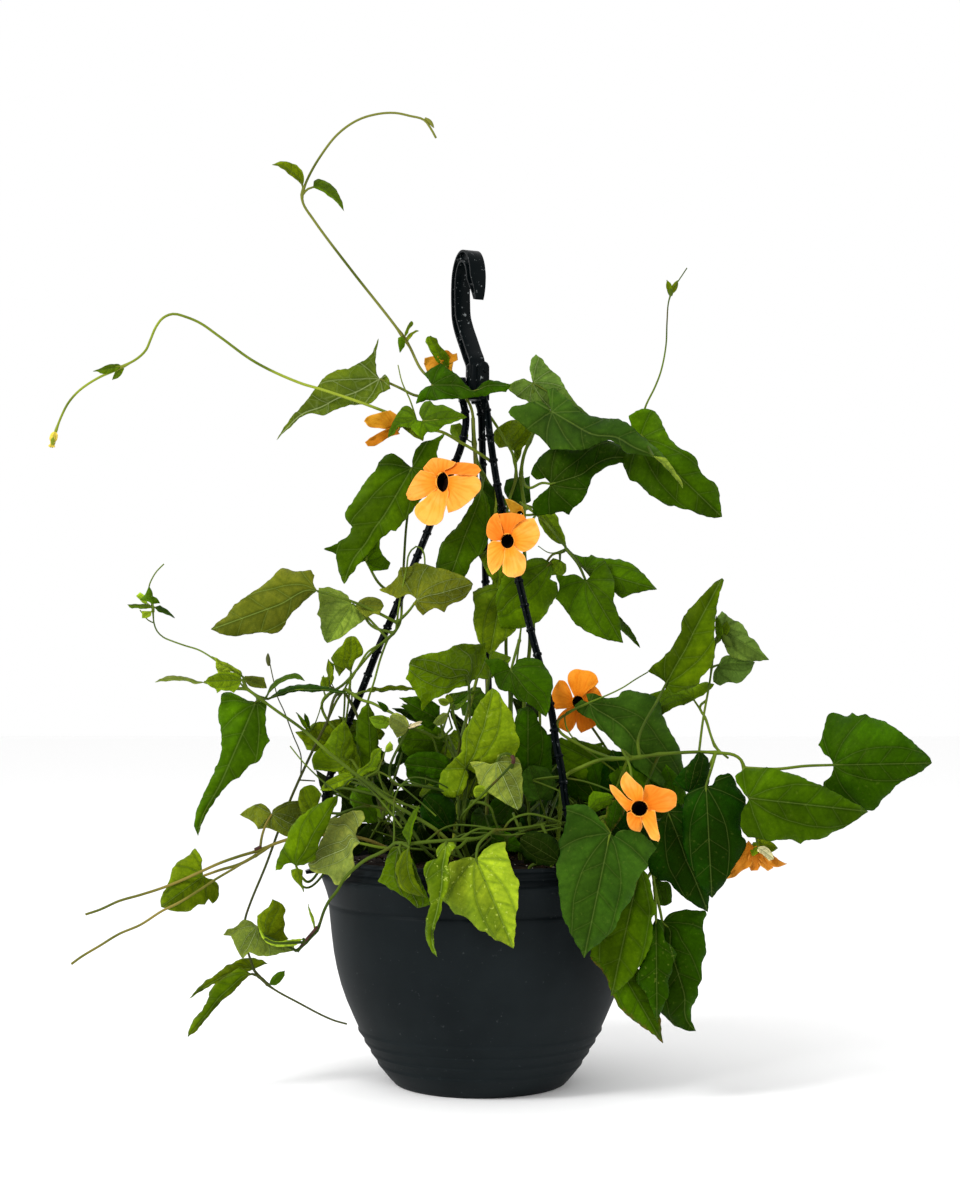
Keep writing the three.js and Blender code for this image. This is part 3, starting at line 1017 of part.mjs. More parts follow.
// A flower is its eye (across, up, half width, half height, depth and the slopes of its
// plane), its petals (tip, one edge, the other edge) and the stalk it stands on.
const FLOWERS = [
  {
    name: 'flower_a',
    vine: 'vine_left_arm',
    open: true,
    reflex: 3,
    eye: [-24.7, 388.1, 4, 6.5, -34, -0.8, 0.1],
    stalk: [-42.8, 389.4, 4, -33.7, 390.7, -7, -10.4, 388.7, -10],
    petals: [
      [[-34.4, 400.4], [-27.9, 391.3, -35.7, 394.6, -37, 397.2], [-23.4, 395.2, -18.2, 397.8,
        -16.2, 400.4, -26, 403.7, -31.2, 403.3]],
      [[0.6, 395.9], [-22.1, 395.9, -16.2, 399.8, -6.5, 400.4, -1.9, 399.1], [-20.1, 392, -2.6,
        392]],
      [[-3.2, 379], [-13, 392.3, -6.5, 392.6, -1.3, 390.7, 0.6, 386.8, 0, 382.9], [-22.1, 382.9,
        -20.4, 368.3, -14.9, 369.9]],
      [[-28.6, 360.2], [-21.4, 382.3, -22.1, 375.1, -24.7, 363.4], [-41.5, 372.5, -42.5, 368.6,
        -39.6, 363.4, -34.4, 360.2]],
      [[-48.7, 378.4], [-27.9, 392, -38.3, 395.2, -42.2, 391.3], [-37.6, 377.7, -44.8, 376.1]],
    ],
  },
  {
    name: 'flower_b',
    vine: 'vine_right_middle',
    open: true,
    reflex: 3,
    eye: [17.8, 349.8, 4.1, 4.7, -62, -0.1, 0.15],
    stalk: [36.3, 367.3, -10, 32.5, 360.8, -24, 26.6, 353.7, -38],
    petals: [
      [[9.1, 367.3], [14.9, 353.1, 11.4, 368], [9.1, 350.5, 5.2, 353.1, 4.2, 357.6, 5.8, 363.4]],
      [[20.1, 368.3], [12.3, 359.5, 11.4, 367.3], [21.4, 358.2, 29.9, 364.1, 28.6, 366.7]],
      [[38, 358.9], [22.1, 358.2, 29.9, 364.1, 35, 364.7], [26, 344, 30.5, 344, 35.7, 347.2,
        38.9, 353.7]],
      [[22.7, 326.1], [28.6, 340.1, 29.9, 333.6, 27.9, 328.4], [14.6, 329.7, 18.2, 326.8]],
      [[7.8, 328.1], [14.9, 345.9, 16.2, 341.4, 14.9, 336.2, 11.7, 331], [9.1, 349.5, 5.8, 347.2,
        5.2, 333.6]],
    ],
  },
  {
    name: 'flower_c',
    vine: 'vine_right_middle',
    open: false,
    reflex: 1.5,
    eye: [26, 367.3, 1.9, 1.9, -30, 0, 0],
    stalk: [36.3, 367.3, -10, 32.5, 366.7, -14, 27.9, 366.7, -20],
    petals: [
      [[16.2, 377.7], [23.4, 366, 17.5, 373.8], [27.9, 369.3, 24, 373.8]],
      [[29.9, 373.2], [24.7, 371.2, 26.6, 373.8], [29.2, 367.3, 31.8, 369.9]],
    ],
  },
  {
    name: 'flower_d',
    vine: 'vine_front_right',
    open: true,
    reflex: 3,
    eye: [63.6, 245.3, 3.6, 3.9, -45, 0, 0.1],
    stalk: [94, 194.1, -44, 81.8, 215.5, -26, 67.5, 236.2, -26],
    petals: [
      [[46.7, 246.6], [60.4, 246.6, 57.8, 254.4, 54.5, 258.9, 51.3, 259.6, 46.7, 251.2], [55.2,
        241.4, 49.3, 240.5]],
      [[66.8, 266.1], [57.1, 258.9, 57.1, 262.8, 62.3, 266.7], [69.4, 252.5, 76.9, 258.3, 75.3,
        262.8, 71.4, 265.4]],
      [[79.2, 249.2], [74.6, 255.7], [72.7, 242.7, 77.9, 244.7]],
      [[71.4, 227.8], [75.9, 233.6, 75.9, 230.4], [63, 229.1, 65.5, 225.2]],
      [[53.9, 227.1], [63, 235.6, 61, 229.1, 57.8, 225.2], [54.5, 239.5, 50, 234.3, 50, 229.1]],
    ],
  },
  {
    name: 'flower_e',
    vine: 'vine_right',
    open: true,
    reflex: 3,
    eye: [103.5, 176.1, 5.3, 5.1, -104, 0, -0.1],
    stalk: [98.6, 209, -62, 92.2, 214.2, -72, 94.8, 209.6, -78, 97.4, 203.1, -84, 98.6, 193.4,
      -88, 101.2, 183, -88],
    petals: [
      [[95.1, 200.2], [100.6, 181.1, 92.8, 188.2, 91.2, 192.1, 91.8, 196], [105.1, 189.5]],
      [[84, 191.5], [96.1, 174.6, 87, 184.3], [90.2, 188.2]],
      [[127.9, 182.4], [105.8, 181.1, 107.4, 190.5, 111, 191.1, 124.6, 187.9, 127.2, 185.6],
        [109, 176.2, 118.1, 173.9, 122.7, 174.6, 127.2, 177.8]],
      [[115.8, 154.8], [112.9, 174.6, 116.8, 157.1], [111.3, 156.4]],
      [[103.8, 160.9], [105.5, 164.8], [96.4, 173.3, 95.7, 168.7, 96.7, 164.2, 98.6, 162.2]],
    ],
  },
  {
    name: 'flower_f',
    vine: 'vine_right',
    open: false,
    reflex: 1.5,
    eye: [179.8, 149.3, 1.9, 1.9, -90, 0, 0],
    stalk: [171.3, 202.5, -70, 176.5, 188.2, -66, 179.8, 172, -70, 180.4, 155.8, -78],
    petals: [
      [[160.3, 130.4], [175.2, 154.5, 170.7, 149.3], [174.6, 138.9, 164.8, 131.7]],
      [[175.9, 135.6], [176.5, 147.3, 173.9, 141.5], [183, 147.3, 183, 141.5, 180.4, 136.3]],
      [[199.2, 140.2], [184.3, 150.6], [180.4, 146, 186.9, 139.5, 193.4, 138.2]],
      [[186.9, 135.6], [181.7, 140.2], [184.3, 147.3, 189.5, 141.5, 190.2, 137.6]],
    ],
  },
  {
    name: 'flower_g',
    vine: 'vine_left_tendril',
    open: false,
    reflex: 1.5,
    eye: [-55.2, 423.8, 1.9, 1.9, -21, 0, 0],
    stalk: [-36.4, 423.1, -17.9, -44.1, 425.7, -14, -50.6, 424.4, -14],
    petals: [
      [[-75.3, 427.7], [-53.9, 430.3, -58.4, 433.9, -72.7, 430.6], [-71.4, 423.8]],
      [[-74.6, 414.1], [-63.6, 420.5], [-52.6, 420.5, -59.1, 418, -68.1, 411.5, -72.7, 411.5]],
    ],
  },
  {
    name: 'flower_h',
    vine: 'vine_top',
    open: false,
    reflex: 1.5,
    eye: [-24.7, 469.2, 1.9, 1.9, -6, 0, 0],
    stalk: [-16.2, 449.1, -9, -16.9, 456.9, -2, -21.4, 464, 2],
    petals: [
      [[-36.3, 464.7], [-35.7, 468.6], [-25.3, 464, -29.9, 460.1, -34.4, 459.5]],
      [[-14.9, 471.8], [-24, 472.5], [-21.4, 466, -17.5, 466, -14.3, 467.3]],
      [[-18.2, 460.1], [-22.1, 469.2, -17.5, 466], [-24.7, 464.7, -20.8, 460.1]],
    ],
  },
];

const ARM_RIGHT = [4.5, 433.5, -8.5, 6.5, 418, -10, 11.7, 383.6, -16, 26, 320.6, -33.5, 33.7,
  288.8, -43, 38.3, 271.9, -47.5, 46.7, 237.5, -58, 49.3, 218.7, -61.5, 53.2, 199.2, -66, 55.2,
  182.4, -69, 59.7, 159, -74];
const ARM_LEFT = [-9.1, 428.3, -2, -12.3, 410.8, -2, -17.5, 397.2, -2.3, -38.9, 344, -4.8, -57.1,
  300.5, -7, -66.2, 279.7, -8, -76.6, 253.1, -9.3, -85, 233, -10.3, -90.2, 218.7, -11, -99.9, 185,
  -12.2, -99.6, 159, -12.2];
const ARM_REAR = [0, 436.1, 10, 1.3, 417.3, 13.5, 1.9, 389.4, 23, 3.2, 337.5, 47, 4.5, 285.6, 71,
  5.8, 246.6, 86, 6.5, 207.7, 95, 7.1, 178.5, 97.5];

// ---- solids ------------------------------------------------------------------------
const solid = (points, triangles) => {
  const mesh = new SolidMesh({
    numProp: 3,
    vertProperties: new Float32Array(points.flatMap((p) => [p.x, p.y, p.z])),
    triVerts: new Uint32Array(triangles.flat()),
  });
  const made = new Manifold(mesh);
  return made.volume() < 0 ? solid(points, triangles.map((t) => [t[0], t[2], t[1]])) : made;
};

// a closed three.js geometry as a solid
const solidFrom = (geometry) => {
  const bare = geometry.index ? geometry.toNonIndexed() : geometry.clone();
  bare.deleteAttribute('normal');
  bare.deleteAttribute('uv');
  const merged = mergeVertices(bare, 1e-3);
  const made = new Manifold(new SolidMesh({
    numProp: 3,
    vertProperties: new Float32Array(merged.attributes.position.array),
    triVerts: new Uint32Array(merged.index.array),
  }));
  return made;
};

const pairs = (list, step = 2) => {
  const out = [];
  for (let i = 0; i < list.length; i += step) {
    out.push(list.slice(i, i + step));
  }
  return out;
};

// A plant's body is one mesh. A bar grows through it ring by ring, four corners to a ring,
// from a loop of four open edges; each new ring closes the last loop and leaves its own.
const body = () => ({ points: [], triangles: [] });

const loopAt = (mesh, p, along, side, size) => {
  const up = along.clone().cross(side);
  return [side, up.clone().negate(), side.clone().negate(), up].map((d) => {
    mesh.points.push(p.clone().addScaledVector(d, size));
    return mesh.points.length - 1;
  });
};

const bridge = (mesh, loop, next) => loop.forEach((q, k) => {
  const j = (k + 1) % 4;
  mesh.triangles.push([q, next[k], next[j]], [q, next[j], loop[j]]);
});

const close = (mesh, loop) => {
  mesh.triangles.push([loop[0], loop[3], loop[2]], [loop[0], loop[2], loop[1]]);
};

// turns a loop's side vector square to the next direction
const sideAlong = (mesh, loop, along) => {
  const corners = loop.map((i) => mesh.points[i]);
  const centre = new THREE.Vector3().add(corners[0]).add(corners[1]).add(corners[2])
    .add(corners[3]).multiplyScalar(0.25);
  const [s, t] = corners.map((c) => {
    const d = c.clone().sub(centre).normalize();
    return d.addScaledVector(along, -d.dot(along));
  });
  return s.length() > 0.6 * t.length() ? s.normalize() : t.normalize().negate().cross(along);
};

const grow = (mesh, start, path, radii) => {
  const loops = [start];
  path.forEach((p, i) => {
    const loop = loops[i];
    const before = i > 0 ? path[i - 1] : mesh.points[loop[0]].clone()
      .add(mesh.points[loop[2]]).multiplyScalar(0.5);
    const along = (path[i + 1] ?? p).clone().sub(before).normalize();
    const next = loopAt(mesh, p, along, sideAlong(mesh, loop, along), radii[i]);
    bridge(mesh, loop, next);
    loops.push(next);
  });
  return loops;
};

// joins two open loops, each corner to the nearest
const join = (mesh, loop, other) => {
  const back = [...other].reverse();
  const spins = [0, 1, 2, 3].map((r) => {
    const next = loop.map((_, k) => back[(k + r) % 4]);
    const cost = loop.reduce((sum, q, k) =>
      sum + mesh.points[q].distanceTo(mesh.points[next[k]]), 0);
    return { next, cost };
  });
  spins.sort((m, n) => m.cost - n.cost);
  bridge(mesh, loop, spins[0].next);
};

// a plain bar with both ends closed
const rod = (path, radii) => {
  const mesh = body();
  const along = path[1].clone().sub(path[0]).normalize();
  const side = Math.abs(along.x) > 0.8 ? new THREE.Vector3(0, 0, 1) : new THREE.Vector3(1, 0, 0);
  side.addScaledVector(along, -side.dot(along)).normalize();
  const start = loopAt(mesh, path[0], along, side, radii[0]);
  mesh.triangles.push([start[0], start[1], start[2]], [start[0], start[2], start[3]]);
  const loops = grow(mesh, start, path.slice(1), radii.slice(1));
  close(mesh, loops[loops.length - 1]);
  return solid(mesh.points, mesh.triangles);
};

const taper = (count, from, to) =>
  Array.from({ length: count }, (_, i) => from + ((to - from) * i) / (count - 1));

// A blade is an outline from the joint up one edge to the tip and back down the other, with a
// rib of two points between, bent in depth and given a constant thickness. Its stalk is a
// square bar that grows out of the blade's base and ends in the stem.
const leafPlace = ({ joint, tip, from, to, lean, cup, arch }) => {
  const run = [tip[0] - joint[0], tip[1] - joint[1]];
  const reach = Math.hypot(...run);
  const place = ([u, v], flat = false) => {
    const du = u - joint[0];
    const dv = v - joint[1];
    const along = (du * run[0] + dv * run[1]) / reach ** 2;
    const out = (dv * run[0] - du * run[1]) / reach;
    const on = Math.min(Math.max(along, -0.2), 1);
    let depth = from + (to - from) * on + lean * out;
    if (!flat) {
      depth += cup * Math.min((out / (0.4 * reach)) ** 2, 1.6);
      depth -= arch * 4 * Math.max(on, 0) * (1 - on);
    }
    return spot([u, v, depth]);
  };
  const corner = [joint[0] - run[1], joint[1] + run[0]];
  const origin = place(joint, true);
  const ahead = place(tip, true).sub(origin);
  const normal = ahead.cross(place(corner, true).sub(origin)).normalize();
  return { place, normal, run };
};

const stepAlong = (from, to, far) => {
  const d = [to[0] - from[0], to[1] - from[1]];
  const k = Math.min(far / Math.hypot(...d), 0.8);
  return [from[0] + d[0] * k, from[1] + d[1] * k];
};

// The rib runs straight from joint to tip, but keeps off an edge that comes near it: at each of
// its two stations it stays in the middle part of the blade's width there.
const RIB_AT = [0.35, 0.7];
const RIB_ROOM = 0.4; // share of the width that it keeps on either side
const ribOf = ({ joint, tip, a, b }, run) => {
  const reach = Math.hypot(...run);
  const ahead = run.map((x) => x / reach);
  const own = ([u, v]) => {
    const d = [u - joint[0], v - joint[1]];
    return [d[0] * ahead[0] + d[1] * ahead[1], d[1] * ahead[0] - d[0] * ahead[1]];
  };
  const outline = [joint, ...a, tip, ...[...b].reverse()].map(own);
  let last = 0;
  return RIB_AT.map((share) => {
    const x = reach * share;
    const cuts = outline.flatMap((p, i) => {
      const q = outline[(i + 1) % outline.length];
      const crosses = (p[0] - x) * (q[0] - x) < 0;
      return crosses ? [p[1] + ((q[1] - p[1]) * (x - p[0])) / (q[0] - p[0])] : [];
    }).sort((m, n) => m - n);
    const away = ([low, high]) => Math.max(low - last, last - high, 0);
    const [low, high] = pairs(cuts).sort((m, n) => away(m) - away(n))[0];
    const room = RIB_ROOM * (high - low);
    last = Math.min(Math.max(0, low + room), high - room);
    return [
      joint[0] + ahead[0] * x - ahead[1] * last,
      joint[1] + ahead[1] * x + ahead[0] * last,
    ];
  });
};

const blade = (mesh, leaf, thick) => {
  const { joint, tip, a, b, rib } = leaf;
  const { place, normal, run } = leafPlace(leaf);
  const mid = rib ?? ribOf(leaf, run);
  const left = stepAlong(joint, a[0], BASE);
  const right = stepAlong(joint, b[0], BASE);
  const ring = [left, ...a, tip, ...[...b].reverse(), right];
  const flatPoints = [...ring, ...mid];
  const m0 = ring.length;
  const top = a.length + 1;
  const halves = [
    [...Array(top + 1).keys(), m0 + 1, m0],
    [m0 - 1, m0, m0 + 1, ...Array.from({ length: m0 - top - 1 }, (_, i) => top + i)],
    [0, m0, m0 - 1],
  ];
  const face = [];
  halves.forEach((half) => {
    const shape = half.map((i) => new THREE.Vector2(...flatPoints[i]));
    THREE.ShapeUtils.triangulateShape(shape, []).forEach((t) => {
      const [p, q, r] = t.map((i) => half[i]);
      const [P, Q, R] = [p, q, r].map((i) => flatPoints[i]);
      const turn = (Q[0] - P[0]) * (R[1] - P[1]) - (Q[1] - P[1]) * (R[0] - P[0]);
      face.push(turn > 0 ? [p, q, r] : [p, r, q]);
    });
  });
  const count = flatPoints.length;
  const first = mesh.points.length;
  const sheet = flatPoints.map((p) => place(p));
  mesh.points.push(
    ...sheet.map((p) => p.clone().addScaledVector(normal, thick / 2)),
    ...sheet.map((p) => p.clone().addScaledVector(normal, -thick / 2)),
  );
  const triangles = [...face, ...face.map(([p, q, r]) => [p + count, r + count, q + count])];
  const area = ring.reduce((sum, p, i) => {
    const q = ring[(i + 1) % m0];
    return sum + p[0] * q[1] - p[1] * q[0];
  }, 0);
  ring.slice(1).forEach((_, i) => {
    const [p, q] = area > 0 ? [i, i + 1] : [i + 1, i];
    triangles.push([p, p + count, q + count], [p, q + count, q]);
  });
  mesh.triangles.push(...triangles.map((t) => t.map((i) => i + first)));
  // the base edge stays open for the stalk
  const last = m0 - 1;
  const open = area > 0 ? [last, 0, count, last + count] : [last, last + count, count, 0];
  return open.map((i) => i + first);
};

const fuse = (solids) => {
  let list = solids;
  while (list.length > 1) {
    const next = [];
    for (let i = 0; i < list.length; i += 2) {
      next.push(i + 1 < list.length ? list[i].add(list[i + 1]) : list[i]);
    }
    list = next;
  }
  return list[0];
};

const cut = (whole, holes) => holes.reduce((left, hole) => left.subtract(hole), whole);

const node = (name, made, material) => {
  const { numProp, vertProperties, triVerts } = made.getMesh();
  const geometry = new THREE.BufferGeometry();
  const at = new Float32Array((vertProperties.length / numProp) * 3);
  for (let i = 0; i < at.length / 3; i += 1) {
    at.set(vertProperties.subarray(i * numProp, i * numProp + 3), i * 3);
  }
  geometry.setAttribute('position', new THREE.BufferAttribute(at, 3));
  geometry.setIndex(new THREE.BufferAttribute(new Uint32Array(triVerts), 1));
  const mesh = new THREE.Mesh(geometry, material);
  mesh.name = name;
  return mesh;
};

// ---- pot and soil ------------------------------------------------------------------
const POT_OUT = [
  [0, 0], [56, 0], [65, 13.5], [78.5, 35.4], [88, 57], [94, 80], [97, 117],
  [RIM_R - 1, 128], [RIM_R, 134], [97.4, 134.6], [99, POT_H],
];
const POT_IN = [[94.8, POT_H], [93.6, 96], [84.4, 54.5], [75.8, 35.4], [57, FLOOR], [0, FLOOR]];

const turned = (profile, sides) => solidFrom(
  new THREE.LatheGeometry(profile.map((p) => new THREE.Vector2(...p)), sides)
    .rotateX(Math.PI / 2),
);

const peg = (radius, height, sides) =>
  new THREE.CylinderGeometry(radius, radius, height, sides).rotateX(Math.PI / 2);

const drains = Array.from({ length: DRAINS }, (_, k) => {
  const turn = ((k + 0.5) * 2 * Math.PI) / DRAINS;
  return solidFrom(peg(DRAIN_R, 4 * FLOOR, 8)
    .translate(DRAIN_AT * Math.cos(turn), DRAIN_AT * Math.sin(turn), 0));
});

const pot = cut(turned([...POT_OUT, ...POT_IN], POT_SIDES), drains);

// ---- vines -------------------------------------------------------------------------
const nearest = (path, point) => {
  let best = { gap: Infinity };
  let run = 0;
  path.slice(1).forEach((q, i) => {
    const line = new THREE.Line3(path[i], q);
    const t = line.closestPointToPointParameter(point, true);
    const gap = line.at(t, new THREE.Vector3()).distanceTo(point);
    if (gap < best.gap) {
      best = { gap, at: run + t * line.distance() };
    }
    run += line.distance();
  });
  return best;
};

const lengths = (path) => path.reduce((out, p, i) =>
  [...out, i ? out[i - 1] + p.distanceTo(path[i - 1]) : 0], []);

const pointAt = (path, runs, at) => {
  let i = 1;
  while (i < path.length - 1 && runs[i] < at) {
    i += 1;
  }
  const t = (at - runs[i - 1]) / (runs[i] - runs[i - 1]);
  return path[i - 1].clone().lerp(path[i], Math.min(Math.max(t, 0), 1));
};

// Shoots leave a stem through windows, one side of the bar between two close rings. Windows
// that fall on one node share their rings; the others are moved apart along the stem.
const WINDOW = 0.8; // half the height of a window
const APART = 0.5;
const windowsOf = (stem) => {
  const runs = lengths(stem.path);
  const end = runs[runs.length - 1] - WINDOW - APART;
  const groups = [];
  [...stem.shoots].sort((p, q) => p.at - q.at).forEach((shoot) => {
    const at = Math.min(Math.max(shoot.at, stem.clear), end);
    const group = groups[groups.length - 1];
    if (group && at < group.at + 2 * WINDOW + APART && group.shoots.length < 3) {
      group.shoots.push(shoot);
    } else {
      const room = group ? group.at + 2 * WINDOW + APART : at;
      groups.push({ at: Math.max(at, room), shoots: [shoot] });
    }
  });
  let top = end;
  [...groups].reverse().forEach((group) => {
    group.at = Math.min(group.at, top);
    top = group.at - 2 * WINDOW - APART;
  });
  return { runs, groups };
};

const growStem = (mesh, stem) => {
  const { runs, groups } = windowsOf(stem);
  const total = runs[runs.length - 1];
  const marks = runs.slice(1).map((at) => ({ at }))
    .filter(({ at }) => groups.every((g) => Math.abs(g.at - at) > WINDOW + 0.3 || at === total));
  groups.forEach((g) => marks.push({ at: g.at - WINDOW }, { at: g.at + WINDOW, group: g }));
  marks.sort((p, q) => p.at - q.at);
  const radius = (at) => stem.from + ((stem.to - stem.from) * at) / total;
  const places = marks.map(({ at }) => pointAt(stem.path, runs, at));
  let start = stem.loop;
  if (!start) {
    const side = new THREE.Vector3(1, 0, 0);
    start = loopAt(mesh, stem.path[0], new THREE.Vector3(0, 0, 1), side, stem.from);
    mesh.triangles.push([start[0], start[1], start[2]], [start[0], start[2], start[3]]);
  }
  const loops = grow(mesh, start, places, marks.map(({ at }) => radius(at)));
  close(mesh, loops[loops.length - 1]);
  marks.forEach(({ group }, i) => {
    if (!group) {
      return;
    }
    const [low, high] = [loops[i], loops[i + 1]];
    const middle = pointAt(stem.path, runs, group.at);
    const free = [0, 1, 2, 3];
    group.shoots.forEach((shoot) => {
      const aim = shoot.toward.clone().sub(middle).normalize();
      const out = (k) => mesh.points[low[k]].clone().add(mesh.points[low[(k + 1) % 4]])
        .add(mesh.points[high[k]]).add(mesh.points[high[(k + 1) % 4]]).multiplyScalar(0.25)
        .sub(middle).normalize().dot(aim);
      free.sort((p, q) => out(q) - out(p));
      const k = free.shift();
      const j = (k + 1) % 4;
      const gone = [[low[k], high[k], high[j]], [low[k], high[j], low[j]]].map(String);
      mesh.triangles = mesh.triangles.filter((t) => !gone.includes(String(t)));
      shoot.loop = [low[k], low[j], high[j], high[k]];
    });
  });
};

const COLLAR_UP = 3; // height over the soil at which a stem may first bend
const ROOT_CLEAR = 20; // length of a rooted stem that carries no shoots
const SHOOT_CLEAR = 2.2; // the same, on a branch
const STALK_OVER = 1.3; // corner radius of a stalk over its half thickness
const feet = [];
const vineMesh = (vine, stalks) => {
  const mesh = body();
  const stems = vine.stems.map(([from, to, spots], i) => {
    const path = pairs(spots, 3).map(spot);
    if (i === 0) {
      const foot = path[0].clone().setZ(STEM_FOOT);
      const collar = path[0].clone().setZ(SOIL_TOP + SOIL_CROWN + COLLAR_UP);
      path.splice(0, 1, foot, collar);
      feet.push([foot, from]);
    }
    return { path, from, to, shoots: [], clear: i === 0 ? ROOT_CLEAR : SHOOT_CLEAR };
  });
  const host = (shoot, choice) => {
    const found = choice.map((stem) => ({ stem, ...nearest(stem.path, shoot.root) }));
    found.sort((p, q) => p.gap - q.gap);
    shoot.at = found[0].at;
    found[0].stem.shoots.push(shoot);
    return shoot;
  };
  stems.slice(1).forEach((stem, i) => {
    stem.root = stem.path[0];
    stem.toward = stem.path[1];
    host(stem, stems.slice(0, i + 1));
  });
  const leaves = vine.leaves.map(([, size, edge, bend, spots]) => {
    const [joint, tip, a, b, rib] = edge.map((e) => pairs(e));
    const [from, to, lean, cup, arch] = bend;
    const leaf = { joint: joint[0], tip: tip[0], a, b, rib, from, to, lean, cup, arch };
    const path = pairs(spots, 3).map(spot);
    const toward = path[1] ?? leafPlace(leaf).place(leaf.joint);
    return host({ root: path[0], toward, path: path.slice(1), size, leaf }, stems);
  });
  const held = stalks.map(({ path, radii }) =>
    host({ root: path[0], toward: path[1], path: path.slice(1), radii }, stems));
  stems.forEach((stem) => growStem(mesh, stem));
  leaves.forEach(({ leaf, path, size, loop }) => {
    const open = blade(mesh, leaf, BLADE);
    const back = [...path].reverse();
    const loops = grow(mesh, open, back, back.map(() => size * STALK_OVER));
    join(mesh, loops[loops.length - 1], loop);
  });
  held.forEach(({ path, radii, loop }) => {
    const loops = grow(mesh, loop, path, radii);
    close(mesh, loops[loops.length - 1]);
  });
  return mesh;
};

// ---- flowers -----------------------------------------------------------------------
const ring = (eye, turns, radii, back) => {
  const [eu, ev] = eye.at;
  return turns.map((turn, i) => {
    const du = radii[i] * Math.cos(turn);
    const dv = radii[i] * Math.sin(turn);
    const p = spot([eu + du, ev + dv, eye.depth + du * eye.gx + dv * eye.gz]);
    return p.addScaledVector(eye.back, back);
  });
};

const oval = (eye, k) => (turn) =>
  (k * eye.rx * eye.ry) / Math.hypot(eye.ry * Math.cos(turn), eye.rx * Math.sin(turn));

const horn = (rings) => {
  const count = rings[0].length;
  const triangles = [];
  rings.slice(1).forEach((_, j) => {
    for (let k = 0; k < count; k += 1) {
      const next = (k + 1) % count;
      const now = j * count;
      triangles.push([now + k, now + next, now + count + next]);
      triangles.push([now + k, now + count + next, now + count + k]);
    }
  });
  const last = (rings.length - 1) * count;
  for (let k = 1; k < count - 1; k += 1) {
    triangles.push([0, k + 1, k], [last, last + k, last + k + 1]);
  }
  return solid(rings.flat(), triangles);
};

const TUBE = 13; // length of a flower's tube
const TUBE_END = 2.6; // the tube's radius at its far end
const BORE_SHORT = 2; // how far its bore stops short of that end
const BORE_NARROW = 0.55; // the bore's radius there, as a share of the tube's
const COLLAR = 1.4; // width of the thick ring round the eye
const COLLAR_BACK = 0.4; // how far the ring lies behind the petals
const PLUG_SINK = 0.6; // how far the dark eye lies behind the rim
const PLUG_DEEP = 4.5; // how far back it reaches
const PLUG_NARROW = 0.62; // its far end, as a share of its face
const PLUG_GAP = 1.6; // its clearance, in GAPs
const SHORT_TUBE = 5; // length of a closed flower's knob
const LOBE_LEAN = 0.12; // how the lobes of a closed flower lie over each other
const eyeOf = (flower) => {
  const [eu, ev, rx, ry, depth, gx, gz] = flower.eye;
  const back = new THREE.Vector3(-gx, 1, -gz).normalize();
  return { at: [eu, ev], rx, ry, depth, gx, gz, back };
};

// The far edge of a flower's lobes, read round its eye as turns and radii. Turns between which
// the edge runs nearly straight are left out.
const EDGE_STEP = 2; // degrees between readings
const EDGE_FLAT = 0.7; // how far the edge may stray from a straight run
const EDGE_LONG = 30; // longest run, in degrees
const EDGE_LEAST = 2.2; // how far the edge stays from the eye's rim
const edgeOf = ({ eye, petals }) => {
  const lobes = petals.map(([tip, a, b]) => [[eye[0], eye[1]], ...pairs(a), tip,
    ...pairs(b).reverse()].map(([u, v]) => [u - eye[0], v - eye[1]]));
  const radius = (turn) => {
    const [c, s] = [Math.cos(turn), Math.sin(turn)];
    return Math.max(...lobes.flatMap((lobe) => lobe.map((p, i) => {
      const q = lobe[(i + 1) % lobe.length];
      const [m, n] = [c * p[1] - s * p[0], c * q[1] - s * q[0]];
      if (m * n > 0 || Math.abs(m - n) < 1e-9) {
        return 0;
      }
      const t = m / (m - n);
      return c * (p[0] + (q[0] - p[0]) * t) + s * (p[1] + (q[1] - p[1]) * t);
    })));
  };
  const count = 360 / EDGE_STEP;
  const all = Array.from({ length: count }, (_, i) => {
    const turn = THREE.MathUtils.degToRad(i * EDGE_STEP);
    const r = radius(turn);
    return { turn, r, x: r * Math.cos(turn), y: r * Math.sin(turn) };
  });
  const keep = (from, to) => {
    const [p, q] = [all[from % count], all[to % count]];
    const run = Math.hypot(q.x - p.x, q.y - p.y);
    let worst = { stray: 0, at: from };
    for (let i = from + 1; i < to; i += 1) {
      const s = all[i % count];
      const stray = Math.abs((s.x - p.x) * (q.y - p.y) - (s.y - p.y) * (q.x - p.x)) / run;
      worst = stray > worst.stray ? { stray, at: i } : worst;
    }
    if (worst.stray < EDGE_FLAT && (to - from) * EDGE_STEP <= EDGE_LONG) {
      return [from % count];
    }
    const at = worst.stray < EDGE_FLAT ? Math.floor((from + to) / 2) : worst.at;
    return [...keep(from, at), ...keep(at, to)];
  };
  const far = all.reduce((best, p, i) => (p.r > all[best].r ? i : best), 0);
  const half = count / 2;
  const kept = [...keep(far, far + half), ...keep(far + half, far + count)];
  const least = eye[2] + EDGE_LEAST;
  return [...new Set(kept)].sort((m, n) => m - n).map((i) =>
    ({ turn: all[i].turn, r: Math.max(all[i].r, least) }));
};

